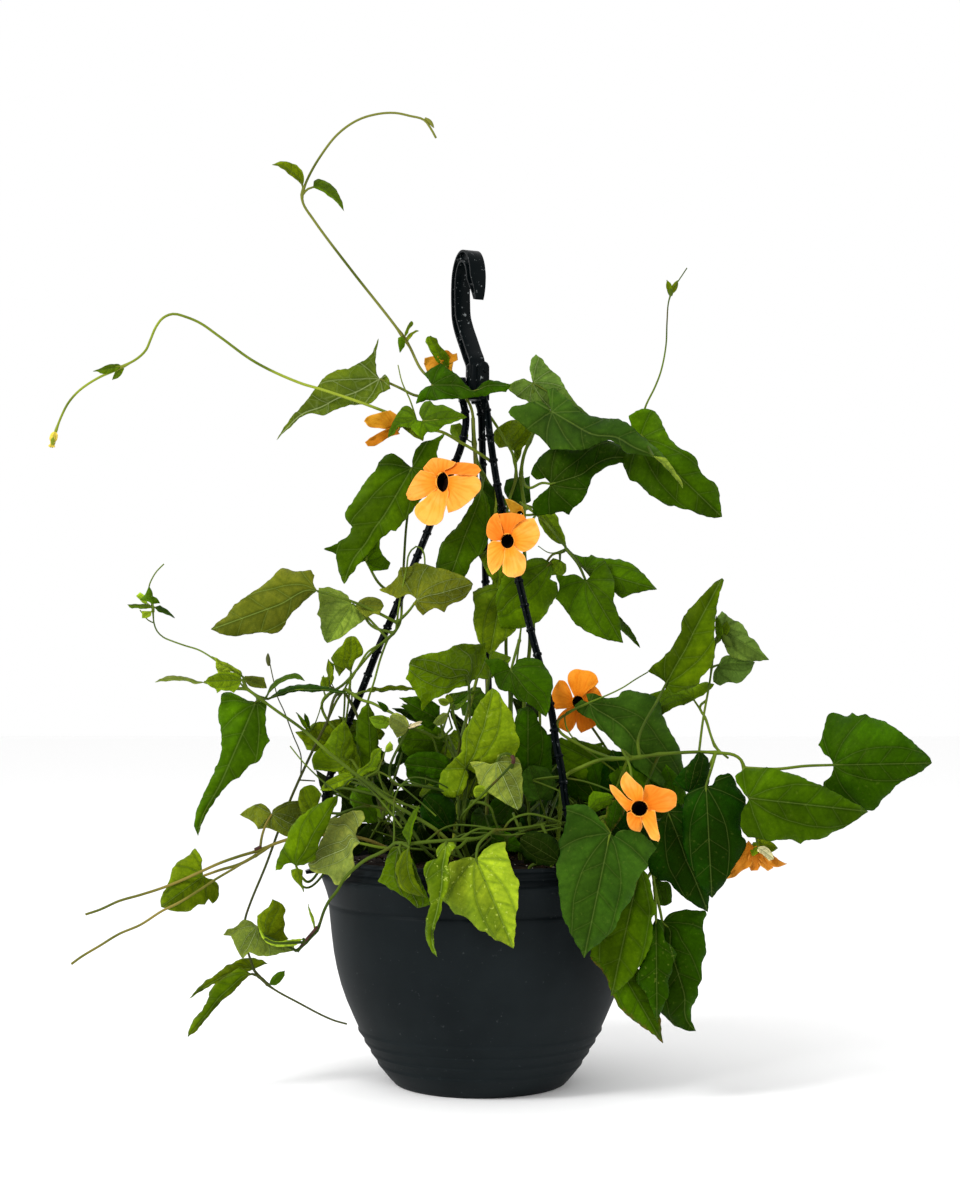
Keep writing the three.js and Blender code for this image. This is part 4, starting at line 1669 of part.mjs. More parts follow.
// An open flower: the lobes' edges are read as one outline round the eye, which rolls back a
// little; a tube narrows behind the eye and is hollow down to its end.
const openFlower = (flower) => {
  const eye = eyeOf(flower);
  const { reflex } = flower;
  const edge = edgeOf(flower);
  const turns = edge.map(({ turn }) => turn);
  const radii = edge.map(({ r }) => r);
  const rim = turns.map(oval(eye, 1));
  const narrow = TUBE_END / Math.max(eye.rx, eye.ry);
  const rings = [
    ring(eye, turns, rim.map((r) => r * narrow * BORE_NARROW), TUBE - BORE_SHORT),
    ring(eye, turns, rim, 0),
    ring(eye, turns, radii, reflex),
    ring(eye, turns, radii.map((r) => r - 0.1), reflex + PETAL),
    ring(eye, turns, rim.map((r) => r + COLLAR), PETAL + COLLAR_BACK),
    ring(eye, turns, rim.map((r) => r * narrow), TUBE),
  ];
  const few = (k, back) => {
    const angles = Array.from({ length: 8 }, (_, i) => (Math.PI * i) / 4);
    return ring(eye, angles, angles.map(oval(eye, k)), back);
  };
  const fit = 1 - (PLUG_GAP * GAP) / Math.min(eye.rx, eye.ry);
  const plug = horn([few(fit, PLUG_SINK), few(fit * PLUG_NARROW, PLUG_DEEP)]);
  const heel = spot([...eye.at, eye.depth]).addScaledVector(eye.back, TUBE + GAP);
  return { corolla: horn(rings), plug, heel, back: eye.back };
};

// A flower seen from the side or faded: separate lobes from a short knob.
const closedFlower = (flower) => {
  const eye = eyeOf(flower);
  const [eu, ev] = eye.at;
  const petals = flower.petals.map(([tip, a, b]) => {
    const run = [tip[0] - eu, tip[1] - ev];
    const reach = Math.hypot(...run);
    const to = eye.depth + eye.gx * run[0] + eye.gz * run[1] + flower.reflex;
    const leaf = { joint: [eu, ev], tip, a: pairs(a), b: pairs(b) };
    const lean = (eye.gz * run[0] - eye.gx * run[1]) / reach + LOBE_LEAN;
    const bend = { from: eye.depth, to, lean, cup: 1, arch: 0 };
    const mesh = body();
    close(mesh, blade(mesh, { ...leaf, ...bend }, PETAL));
    return solid(mesh.points, mesh.triangles);
  });
  const angles = Array.from({ length: 6 }, (_, i) => (Math.PI * i) / 3);
  const round = (k, back) => ring(eye, angles, angles.map(oval(eye, k)), back);
  const knob = horn([round(1, -0.9), round(1.1, 2), round(0.8, SHORT_TUBE)]);
  const heel = spot([eu, ev, eye.depth]).addScaledVector(eye.back, SHORT_TUBE + GAP);
  return { corolla: fuse([knob, ...petals]), heel, back: eye.back };
};

// the stalk that carries a flower, swelling into its calyx
const CALYX = [8, 4, 1.2, 0]; // distances of its sections behind the tube's end
const STALK_R = 0.8; // radius of the stalk under it
const CALYX_R = { open: 3, closed: 2.2 }; // its radius
const flowerStalk = (flower, heel, back) => {
  const path = pairs(flower.stalk, 3).map(spot);
  const wide = flower.open ? CALYX_R.open : CALYX_R.closed;
  const tip = CALYX.map((t) => heel.clone().addScaledVector(back, t));
  const radii = [...taper(path.length, STALK_R + 0.1, STALK_R).slice(1), STALK_R, wide * 0.8,
    wide, wide * 0.7];
  return { path: [...path, ...tip], radii };
};

// ---- hanger ------------------------------------------------------------------------
const HOOK_TURN = (-68 * Math.PI) / 180; // the way the hook opens
const TIP_TRIM = 0.75; // size of the strap's section at the hook's tip
const HOOK_PATH = [
  [0, 456], [0, 464], [-6, 472], [-13, 481], [-20, 490], [-25, 499], [-26.2, 508],
  [-26.4, 518], [-24.6, 528], [-19.5, 534.6], [-12.4, 536.8], [-6, 534.8], [-1, 529],
  [1.4, 520], [1.8, 512], [0.6, 506.5],
];
const forward = new THREE.Vector3(Math.cos(HOOK_TURN), Math.sin(HOOK_TURN), 0);
const across = new THREE.Vector3(-forward.y, forward.x, 0);
const hookSpot = ([f, z]) => new THREE.Vector3(HUB_X, 0, z).addScaledVector(forward, f);

const hookFrames = () => {
  const path = HOOK_PATH.map(hookSpot);
  return path.map((p, i) => {
    const ahead = path[Math.min(i + 1, path.length - 1)];
    const behind = path[Math.max(i - 1, 0)];
    const along = ahead.clone().sub(behind).normalize();
    return { p, along, out: along.clone().cross(across).normalize() };
  });
};

const hookSolid = () => {
  const [h, w] = [STRAP_D / 2, STRAP_W / 2];
  const section = [[h, -w], [h, w], [-h, w], [-h, -w]];
  const frames = hookFrames();
  const points = frames.flatMap(({ p, out }, i) => {
    const trim = i === frames.length - 1 ? TIP_TRIM : 1;
    return section.map(([n, b]) =>
      p.clone().addScaledVector(out, n * trim).addScaledVector(across, b * trim));
  });
  const count = section.length;
  const triangles = [];
  for (let i = 1; i < frames.length; i += 1) {
    for (let k = 0; k < count; k += 1) {
      const next = (k + 1) % count;
      const now = i * count;
      triangles.push([now - count + k, now - count + next, now + next]);
      triangles.push([now - count + k, now + next, now + k]);
    }
  }
  const end = THREE.ShapeUtils.triangulateShape(section.map((s) => new THREE.Vector2(...s)), []);
  const last = points.length - count;
  end.forEach(([p, q, r]) => {
    triangles.push([p, r, q], [last + p, last + q, last + r]);
  });
  const strap = solid(points, triangles);
  const core = solidFrom(peg(HUB_R, HUB_HIGH - HUB_LOW, 10)
    .translate(HUB_X, 0, (HUB_LOW + HUB_HIGH) / 2));
  const pegs = ARMS.map(({ turn, head }) => solidFrom(peg(PIN_R, KNUCKLE_T + 2.6, 6)
    .rotateY(Math.PI / 2).translate(HUB_R + 2, 0, head - PIN_DROP)
    .rotateZ(THREE.MathUtils.degToRad(turn)).translate(HUB_X, 0, 0)));
  return fuse([strap, core, ...pegs]);
};

const plate = (outline, depth) => new THREE.ExtrudeGeometry(
  new THREE.Shape(outline.map((p) => new THREE.Vector2(...p))),
  { depth, bevelEnabled: false },
);

const ARMS = [
  { name: 'arm_right', turn: -53, head: 465, path: ARM_RIGHT },
  { name: 'arm_left', turn: 187, head: 456, path: ARM_LEFT },
  { name: 'arm_rear', turn: 85, head: 462, path: ARM_REAR },
];

const ARM_BARS = 11; // straight bars in an arm
const armSolid = ({ turn, head, path }) => {
  const spots = pairs(path, 3).map(spot);
  const angle = (turn * Math.PI) / 180;
  const radial = new THREE.Vector3(Math.cos(angle), Math.sin(angle), 0);
  const top = new THREE.Vector3(HUB_X, 0, HUB_LOW + 2).addScaledVector(radial, HUB_R + 2.7);
  const low = radial.clone().multiplyScalar(97).setZ(POT_H + 2);
  const curve = new THREE.CatmullRomCurve3([top, ...spots, low], false, 'centripetal');
  const line = curve.getSpacedPoints(ARM_BARS);
  const shank = rod(line, taper(line.length, ARM_R, ARM_R));
  const w = KNUCKLE_W / 2;
  const outline = [
    [-w, HUB_LOW - 1], [w, HUB_LOW - 1], [w, head - 3], [0.6 * w, head - 0.8], [0, head],
    [-0.6 * w, head - 0.8], [-w, head - 3],
  ];
  const slab = plate(outline, KNUCKLE_T).rotateX(Math.PI / 2).rotateZ(Math.PI / 2)
    .translate(HUB_R + GAP, 0, 0).rotateZ(angle).translate(HUB_X, 0, 0);
  const eye = peg(PIN_R + GAP + 0.2, 9, 6).rotateY(Math.PI / 2)
    .translate(HUB_R + 2.5, 0, head - PIN_DROP)
    .rotateZ(angle).translate(HUB_X, 0, 0);
  const knuckle = solidFrom(slab).subtract(solidFrom(eye));
  const grip = [
    [93.6, 141], [93.6, POT_H + GAP], [99.4, POT_H + GAP], [99.4, 137.5], [104, 136.4],
    [112.5, 135.4], [113, 137.2], [104, 140.4], [101.8, 141.5], [101.8, 149], [91.4, 149],
    [91.4, 141],
  ];
  const clip = solidFrom(plate(grip, CLIP_W).translate(0, 0, -CLIP_W / 2).rotateX(Math.PI / 2)
    .rotateZ(angle));
  return fuse([shank, knuckle, clip]);
};

// ---- assembly ----------------------------------------------------------------------
const group = new THREE.Group();
group.add(node('pot', pot, POT_BLACK));

const stalks = Object.fromEntries(VINES.map((vine) => [vine.name, []]));
FLOWERS.forEach((flower) => {
  const made = flower.open ? openFlower(flower) : closedFlower(flower);
  group.add(node(flower.name, made.corolla, ORANGE));
  if (made.plug) {
    group.add(node(`${flower.name}_eye`, made.plug, EYE_DARK));
  }
  stalks[flower.vine].push(flowerStalk(flower, made.heel, made.back));
});
VINES.forEach((vine) => {
  const { points, triangles } = vineMesh(vine, stalks[vine.name]);
  group.add(node(vine.name, solid(points, triangles), GREEN));
});

const HOLE_ROOM = 0.5; // clearance round a stem's foot, at the hole's corners
const HOLE_LONG = 40; // length of the cutter for such a hole
const soilProfile = [
  [0, FLOOR + GAP], [56.3, FLOOR + GAP], [75.2, 35.7], [83.7, 54.6], [92.9, 96], [93.9, 137],
  [91.5, SOIL_TOP - 1], [0, SOIL_TOP + SOIL_CROWN],
];
const stemHoles = feet.map(([p, r]) => solidFrom(peg(r + HOLE_ROOM, HOLE_LONG, 4)
  .translate(p.x, p.y, STEM_FOOT - GAP + HOLE_LONG / 2)));
group.add(node('soil', cut(turned(soilProfile, POT_SIDES), stemHoles), SOIL));

group.add(node('hook', hookSolid(), HANGER_BLACK));
ARMS.forEach((arm) => group.add(node(arm.name, armSolid(arm), HANGER_BLACK)));

export default group;
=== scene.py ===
"""A climbing vine with orange dark-eyed flowers in a hanging pot: the finished look."""

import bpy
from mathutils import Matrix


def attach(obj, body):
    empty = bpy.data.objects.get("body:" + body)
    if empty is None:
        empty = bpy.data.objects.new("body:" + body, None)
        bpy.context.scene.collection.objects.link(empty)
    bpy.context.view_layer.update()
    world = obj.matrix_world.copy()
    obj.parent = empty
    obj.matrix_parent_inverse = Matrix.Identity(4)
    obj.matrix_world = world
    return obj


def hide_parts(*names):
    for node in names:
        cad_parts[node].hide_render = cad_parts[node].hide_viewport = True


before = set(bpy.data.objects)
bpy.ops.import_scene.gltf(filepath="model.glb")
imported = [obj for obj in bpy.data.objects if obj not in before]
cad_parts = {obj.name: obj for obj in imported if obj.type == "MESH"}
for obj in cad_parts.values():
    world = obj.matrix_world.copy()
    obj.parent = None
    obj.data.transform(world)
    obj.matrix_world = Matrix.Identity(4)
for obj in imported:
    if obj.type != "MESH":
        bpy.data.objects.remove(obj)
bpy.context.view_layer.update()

import math
import random
from functools import partialmethod

import bmesh
import bpy
from mathutils import Matrix, Vector, noise
from mathutils.kdtree import KDTree

MM = 0.001
WAVE_ROUND = 6.28   # one full wave, in radians
random_draw = random.Random(11)

# ---- the plan ----------------------------------------------------------------------------
# A spot is (column, row, depth in mm) on a grid in the plane of the pot's axis, as seen
# from the reading point; depth is how far behind that plane it lies on the same sight line.
GRID = 0.649        # mm to one step of the grid
AXIS_COLUMN = 480   # the column over the pot's axis
LEVEL_ROW = 684     # the row level with the reading point
EYE_BACK = 1220     # mm from the reading point to the plane
EYE_UP = 257        # mm from the floor to the reading point


def numbers(text, size):
    """The numbers of a text, as tuples of that size."""
    values = [float(word) for word in text.replace(",", " ").split()]
    return [tuple(values[i:i + size]) for i in range(0, len(values), size)]


def rows(text):
    """The rows of a plan, each as its first words and its parts. A row ends in a semicolon."""
    for row in text.split(";")[:-1]:
        head, *parts = row.split(":")
        yield head.split(), parts


def sheet_spot(column, row):
    return Vector(((column - AXIS_COLUMN) * GRID, EYE_UP + (LEVEL_ROW - row) * GRID))


def place(flat, depth):
    """A point of the plan's plane, moved along its sight line to that depth, in metres."""
    reach = (EYE_BACK + depth) / EYE_BACK
    return Vector((flat.x * reach, depth, EYE_UP + (flat.y - EYE_UP) * reach)) * MM


def spots(text):
    return [place(sheet_spot(c, r), d) for c, r, d in numbers(text, 3)]


# The rows of a vine, lengths in mm:
# stem: the radii of its bar at the foot and at the end; its route.
# leaf (under: one seen from below): its name and tone, its depths at the joint and the tip,
#   how it leans, cups and arches; the joint and the tip; its two edges; its stalk's route.
# hearts: their tone; for each small leaf its joint, its tip, the depths of both, its width.
# bud, node (a red-brown stretch of stem): its radius; its route.
VINES = {
    "vine_top": """
stem 1.5 .9: 486,877,4 487,800,4 488,720,3 487,690,3 492,650,4 498,600,4 493,545,3 480,500,2
  475,462,-4 474,430,-10 470,405,-12.5 455,388,-9 425,374,-4 408,344,0 396,327,-2.6 352,271,-11.9
  313,219,-18 303,203,-18 302,195,-18 304,188,-18 309,176,-18 320,157,-18 338,134,-18 358,120,-18
  378,114,-18 395,113,-18 410,116,-18 424,120,-18 431,129,-18 436,138,-18;
leaf top_a bright -18,-24,-.6,1.5,1: 303,187 272,165: 299,182 291,176 284,170 277,166: 304,178
  303,173 298,166 290,163 281,161 276,163: 303,192,-18;
leaf top_b mid -18,-26,.5,1.5,1: 313,187 344,211: 314,181 318,179 325,181 332,185 338,193 342,202:
  319,190 326,194 333,199 339,205: 303,194,-18 308,189,-18;
leaf top_c bright -1.6,-14,0,.5,0: 404,338 413,322: 405,332 408,325 411,321: 407,335 410,328
  413,325: 404,339,-1.4;
leaf top_d bright -2.6,-11.5,.5,.5,0: 406,338 419,331: 409,334 413,331.5 416,330: 408,341 411,337
  415,333: 405,339,-1.4;
leaf top_e mid -5.2,-8,0,1,0: 402,336 400,353: 398,338 398,344 399,349: 405,340 405,346 402,350:
  402,335,-2.5;
leaf hub dark -14,-17,.3,3,3: 432,385 511,385: 427,378 424,374 430,369 441,363 451,371 460,377
  466,385 471,390 476,389 484,382 492,380 501,382: 424,388 418,396 416,404 424,401 436,400 452,399
  470,398 484,396 497,392 506,392: 455,388,-8 440,388,-9;
under hang moss -6,14,.5,5,7: 380,379 277,440: 377,374 376,360 378.5,339 370,356 360,363 350,368
  338,370 326,376 318,386 302,406 288,422: 385,374 389,379 391,389 380,394 369,404 352,405 340,408
  324,415 312,414 300,418 288,429: 455,389,-8 418,396,-8 400,388,-7;
leaf bract_h mid -4,-8,.2,1.5,1: 447,368 430,336: 437,362 430,350 425,342 427,337: 452,363 446,352
  440,346 437,338: 455,378,-4 449,371,-3;
bud 1.3: 425,118,-18 430,122,-18 434,128,-18;
""",
    "vine_left_tendril": """
stem 1.4 .8: 452,878,-6 458,800,-4 462,740,0 474,690,8 486,640,10 494,580,10 494,530,6 496,490,4
  494,466,-4 480,454,-12 460,442,-14 442,432,-16 426,429,-18 396,416,-16 362,403,-12 320,389,-10
  300,383,-10 255,362,-14 220,337,-18 200,323,-20 186,317,-22 173,314,-24 163,318,-25 156,327,-26
  150,341,-27 146,350,-28 138,358,-29 124,366,-30 114,371,-31 100,377,-32 80,390,-34 69,402,-35
  62,415,-36 55,434,-37 52,447,-37;
stem .7 .4: 420,419,-18 410,400,-17 402,382,-16 398,365,-16;
stem 1 1.4: 55,434,-37 53.5,438,-37 52,443,-37;
leaf pair_a mid -30,-38,.6,1,1: 122,366 93,371: 118,364 112,364 105,366 99,369: 117,370 110,373
  103,374 98,372: 124,366,-30;
leaf pair_b mid -30,-22,0,1,0: 122,367 112,380: 117,369 114,374: 124,369 122,374 118,378:
  124,366,-30;
leaf bright_hub mid -31,-39,.3,3,2: 423,421 467,417: 419,414 420,408 424,402 430,400 435,405
  444,405 452,409 460,413: 417,421 412,424 411,429 416,434 422,439 427,432 436,432 440,429 446,425
  458,421: 424,427,-20;
leaf bract7 mid -30,-28,.2,2,0: 418,421 388,438: 414,413 411,408 407,406 403,407 399,411 396,416
  392,424 389,430: 414,428 404,427 398,428 394,434: 423,425,-18;
leaf bract7b bright -17,-21,.2,1.5,0: 417,424 423,441: 411,425 402,427 409,433 416,438: 421,430
  424,436: 423,426,-19;
leaf dry_bud dry -38,-38,0,.6,0: 55,431 50.5,447.5: 51.5,433 49.5,438 51,443 48,446: 57.5,434
  57,440 54.5,443 55,447: 56,429,-37;
bud 1.7: 54,436,-37 53,442,-37 52.5,448,-37;
""",
    "vine_centre": """
stem 1.9 1.3: 500,877,14 502,830,12 505,760,10 510,700,10 506,650,10 508,600,12 510,560,12
  506,540,10 508,505,10 516,476,10 513,455,9 505,440,8 494,422,8 484,408,9;
stem 1.9 1.9: 508,505,10 490,486,9 477,462,9 474,440,8 473,418,10;
leaf twin_dark leaf -6,-12,.2,5,4: 482,488 445,592: 474,500 466,513 460,523 450,533 441,544
  438,556 436,568 440,582: 488,500 491,520 487,545 478,557 471,563 466,576 456,588: 488,470,-2;
leaf bud_hub olive 3,6,0,2,0: 468,440 456,424: 461,441 455,438 450,432 451,425: 468,434 464,428
  460,423: 474,444,3;
leaf mid_a mid -14,-20,0,4,5: 551,563 497,612: 545,559 537,558 527,560 516,563 506,571 500,584
  496,598: 553,572 550,579 557,583 558,593 553,602 547,612 540,621 527,627 515,629 500,628:
  548,562,4;
leaf mid_b olive -6,-12,0,4,4: 502,588 490,655: 495,584 480,588 473,592 474,602 474,614 473,622
  475,632 478,641 484,649: 510,592 516,605 519,618 516,630 507,638 500,645 494,652: 505,585,2;
leaf mid_c olive -10,-8,0,3,2: 500,548 497,590: 490,548 480,556 482,563 486,571 491,578: 510,555
  512,568 508,580: 503,545,2;
leaf fork bright 13,9,.3,3,2: 515,452 528,424: 508,447 499,448 494,441 494,432 500,426 508,421
  518,420: 516,464 520,458 523,448 530,441 534,433: 514,462,6;
leaf fork_b shade 20.5,16.5,0,2,1: 520,480 510,502: 513,478 506,480 504,490: 530,476 530,488
  531,501 520,506: 516,476,4;
""",
    "vine_left_arm": """
stem 1.5 1.1: 425,878,-8 410,830,-12 392,800,-16 372,768,-20 340,734,-20 325,716,-20 322,703,-20
  345,683,-20 372,652,-18 398,627,-13 402,600,-2 404,560,4 407,520,6 414,480,4 430,452,-1
  437,447,-7;
stem 1.1 .9: 378,640,-24 368,652,-22 360,664,-21 352,678,-20 346,686,-20 344,692,-20;
stem 1.1 .9: 388,640,-16 380,660,-18 374,682,-19 369,697,-19 365,712,-19 358,735,-18;
stem 1.2 1: 343,688,-20 337,700,-20 330,715,-20 324,728,-20 317,740,-18;
stem 1 .9: 344,689,-20 344.5,705,-20 343,726,-18;
stem 1 .9: 350,678,-20 349.5,690,-21 348,706,-21 345,726,-19;
stem .6 .5: 323,694,-20 322,703,-21 319,713,-22 315,724,-22;
stem .5 .4: 334,691,-20 331,682,-21 331,672,-22;
stem 1.5 1.2: 344,690,-20 354,695,-24 362,700,-28 372,703,-34 382,708,-40 392,713,-44 400,719,-48
  408,725,-52;
stem .9 .8: 404,640,-12 400,600,-14 407,566,-14 408,557,-14 411.5,550,-14 416,546.5,-14
  421,548,-14 424,554,-13 425,566,-12;
leaf shield leaf -7,-16,.1,6,5: 412,468 344,584: 404,461 394,454 386,455 380,461 375,471 368,478
  360,490 352,502 346,510 345,518 352,527 348,535 339,542 336,553 337,566 340,576: 413,459 416,450
  421,443 431,440 446,432 439,444 437,452 438,462 434,480 428,492 420,501 411,513 400,526 396,531
  391,530 378,542 366,556 357,567: 408,505,4 411,486,1;
leaf shield_back leaf -6,-2,0,3,2: 366,561 374,520: 356,563 340,556 324,549 338,543 350,535:
  371,571 380,571 388,569 390,563 384,556 380,549 380,538: 398,592,-1 384,588,5;
leaf pale_left pale -22,-34,.3,6,6: 317,591 211,629.5: 313,582 315,575 311,570 300,571 291,570
  283,568 277,572 268,581 254,591 241,600 233,606 227,615 218,622: 309,597 301,605 292,613 285,624
  280,631 272,634 262,632 250,634 236,636 222,634: 390,622,-12 370,609,-18 345,599,-21;
leaf curl_a silver -10,-16,.3,3,3: 352,604 327,643: 346,594 338,590 328,587 319,588 318,597
  320,604 317,614 320,618 321,629 324,639: 357,608 362,613 367,619 353,628 345,635 336,640:
  385,628,-11 372,626,-10 360,610,-10;
leaf curl_b pale -14,-16,.6,1.5,1: 356,605 384,606: 360,600 368,597 377,598 381,600: 359,611
  367,618 374,614 379,615: 372,624,-9;
under vein_left moss -20,-26,.2,4,4: 417,600 473,584: 413,596 406,595 400,598 392,596 380,590
  390,584 397,577 400,567 412,566 415,563 424,564 434,567 446,570 460,575 468,579: 413,603 418,610
  423,615 434,608 444,612 451,604 458,602 466,597 470,591: 400,622,-14 408,612,-17;
leaf young bright -16,-20,0,2,1: 351,672 351,636: 346,668 339,676 335,668 331,658 337,649 342,645
  346,638: 355,661 362,655 363,649 360,642 356,637: 350,688,-22;
leaf strip_right bright -17,-12,.4,.6,0: 363,692 418,690: 370,688 375,686.5 380,688 386,685.5
  395,685.5 406,686 413,688: 371,692 376,691.5 382,692.5 389,690.5 396,690.5 407,690.5:
  357,693,-22;
leaf spear_up mid -22,-24,0,.6,0: 332,674 328,659: 328.5,671 327.5,665: 334,670 334,664 331,662:
  331,676,-22;
leaf spear_mid bright -21,-22,0,.6,0: 329,688 331,672: 326,684 327,677: 332,684 334,677:
  331,690,-20;
leaf spear_low bright -20,-22,0,.6,0: 324,692 323.5,675: 320.5,688 320.5,682 322,678: 327.5,688
  328,682 325,678: 326,695,-20;
leaf spear_dark dark -43,-44,0,.5,0: 389,712 377,701: 384,712 380,707: 388,707 383,703:
  386,709.5,-41;
leaf spear_a mid -26,-30,0,.5,0: 309,732 296,712: 303,726 299,719: 307,724 301,716: 312,722,-20;
leaf spear_b dark -24,-26,0,.5,0: 310,730 304.5,713: 306,724 304,718: 310,724 308,717:
  312,722,-20;
""",
    "vine_right_upper": """
stem 1.6 1.2: 520,878,4 521,830,4 522,760,6 525,690,8 530,640,8 527,590,8 524,540,11 524,505,13
  521,478,14 524,455,8 534,432,0 537,424,-2 532,405,-6 533,390,-10;
stem 1 .4: 534,432,0 551,440,2 580,436,-4 615,432,-9 640,433,-11 645,408,-11 655,387,-17
  661,371,-23 666,345,-24 667,322,-24 669,300,-24 674,288,-24 681,277,-24 687,268,-24;
under roof_back fresh -10,-8,0,4,3: 533,383 602,424: 531,376 530,367 532,358 536,354 542,359
  550,369 560,378 566,389 575,402 586,412: 524,379 515,381 506,386 512,393 522,399 536,405 552,411
  575,422: 530,400,-8;
leaf roof cool -22,-50,.35,5,8: 551,411 683,489: 549,400 547,389 554,388 560,393 568,399 577,409
  588,415 604,418 618,419 627,423 634,429 645,438 655,447 664,456 673,468 679,478: 541,401 530,402
  520,405 511,407 508,412 514,419 521,424 530,431 541,438 552,449 560,449 581,450 593,446 608,440
  618,444 627,453 636,454 645,456 654,457 663,466 672,474 680,483: 522,440,-2 538,425,-10;
leaf roof_end leaf -18,-28,0,6,8: 640,438 722,517: 632,428 629,416 636,411 644,408 650,409 657,414
  661,420 666,431 672,441 682,449 693,455 698,461 700,470 706,478 714,482 719,490 720,501: 628,450
  622,458 623,466 628,475 630,480 636,482 647,493 660,501 668,506 674,506 690,511 702,515 714,518:
  633,433,-15;
leaf shelf shade -13,-15,.3,5,4: 551,484 645,456: 545,478 536,480 531,474 534,465 541,456 550,449
  572,446 592,443 606,440 620,445 634,452: 546,490 537,497 532,505 534,515 545,515 556,513 563,512
  569,514.5 573,508 579,504 585,497 589,486 594,476 600,471 609,466 622,463 636,460: 522,478,2
  530,488,-4 542,483,-8;
leaf shelf_low olive 0,-4,0,2,1: 541,510 566,545: 538,515 540,524 547,535 556,542: 550,511 556,514
  560,526 565,537: 524,500,2;
leaf tip_bract bright -25,-27,0,.6,0: 670,294 667,280: 667,290 666,285: 673,290 671,284:
  671,297,-24;
leaf tip_bract_b bright -25,-23,0,.6,0: 671,294 678,280: 671,288 675,282: 675,292 678,286:
  671,297,-24;
leaf roof_flap silver -64,-62,0,1,0: 653.4,456.1 682.9,489: 665,458 674.2,469.7 682.3,482.7:
  660.6,463 670.5,473 679,483: 650,452,-58;
bud 2: 671,296,-24 670,289,-24 669,283,-24;
""",
    "vine_right_middle": """
stem 1.4 1: 545,880,-14 540,840,-14 538,780,-12 540,720,-10 537,670,-8 534,620,-6 540,580,-8
  552,555,-14 566,549,-18 560,541,-18 548,525,-14 536,514,-10 520,502,-4;
stem .7 .4: 566,549,-18 550,553,-22 538,546,-22;
stem .7 .5: 566,549,-18 575,556,-20 582,566,-24;
leaf quilt leaf -34,-46,0,5,5: 586,581 623,643: 578,575 568,575 556,576 559,588 555,599 561,604
  566,611 577,625 586,631 595,635 611,641: 592,573 597,563 604,560 611,571 614,580 614,590 614,600
  619,616 621,628 622,637: 566,549,-18 578,564,-26;
leaf spear leaf -22,-30,.3,4,3: 586,569 657,589: 578,560 572,554 588,557 591,555 600,558 615,559
  627,562 640,571 649,580: 592,575 603,585 614,592 622,598 631,595 645,591: 566,549,-18
  578,560,-20;
leaf fold_small leaf -20,-26,1.2,1,1: 617,615 640,648: 619,619 620,628 627,636 634,643: 622,619
  628,626 633,633 637,641: 566,549,-18 590,575,-14 606,600,-16;
leaf low_mid olive -12,-14,0,2,0: 560,560 548,577: 553,558 549,562 548,568: 566,564 566,572
  560,577 555,575: 562,550,-14;
leaf leaf_behind_b mid 2,-4,.2,2,1: 522,562 478,555: 508,549 492,549 483,551: 525,586 505,592
  495,583 487,573 483,563: 534,560,-8;
leaf leaf_mid_fill dark 8,2,.2,2,1: 506,512 477,484: 504,497 494,487 485,481: 494,524 482,520
  474,504: 528,512,-2 517,513,4;
""",
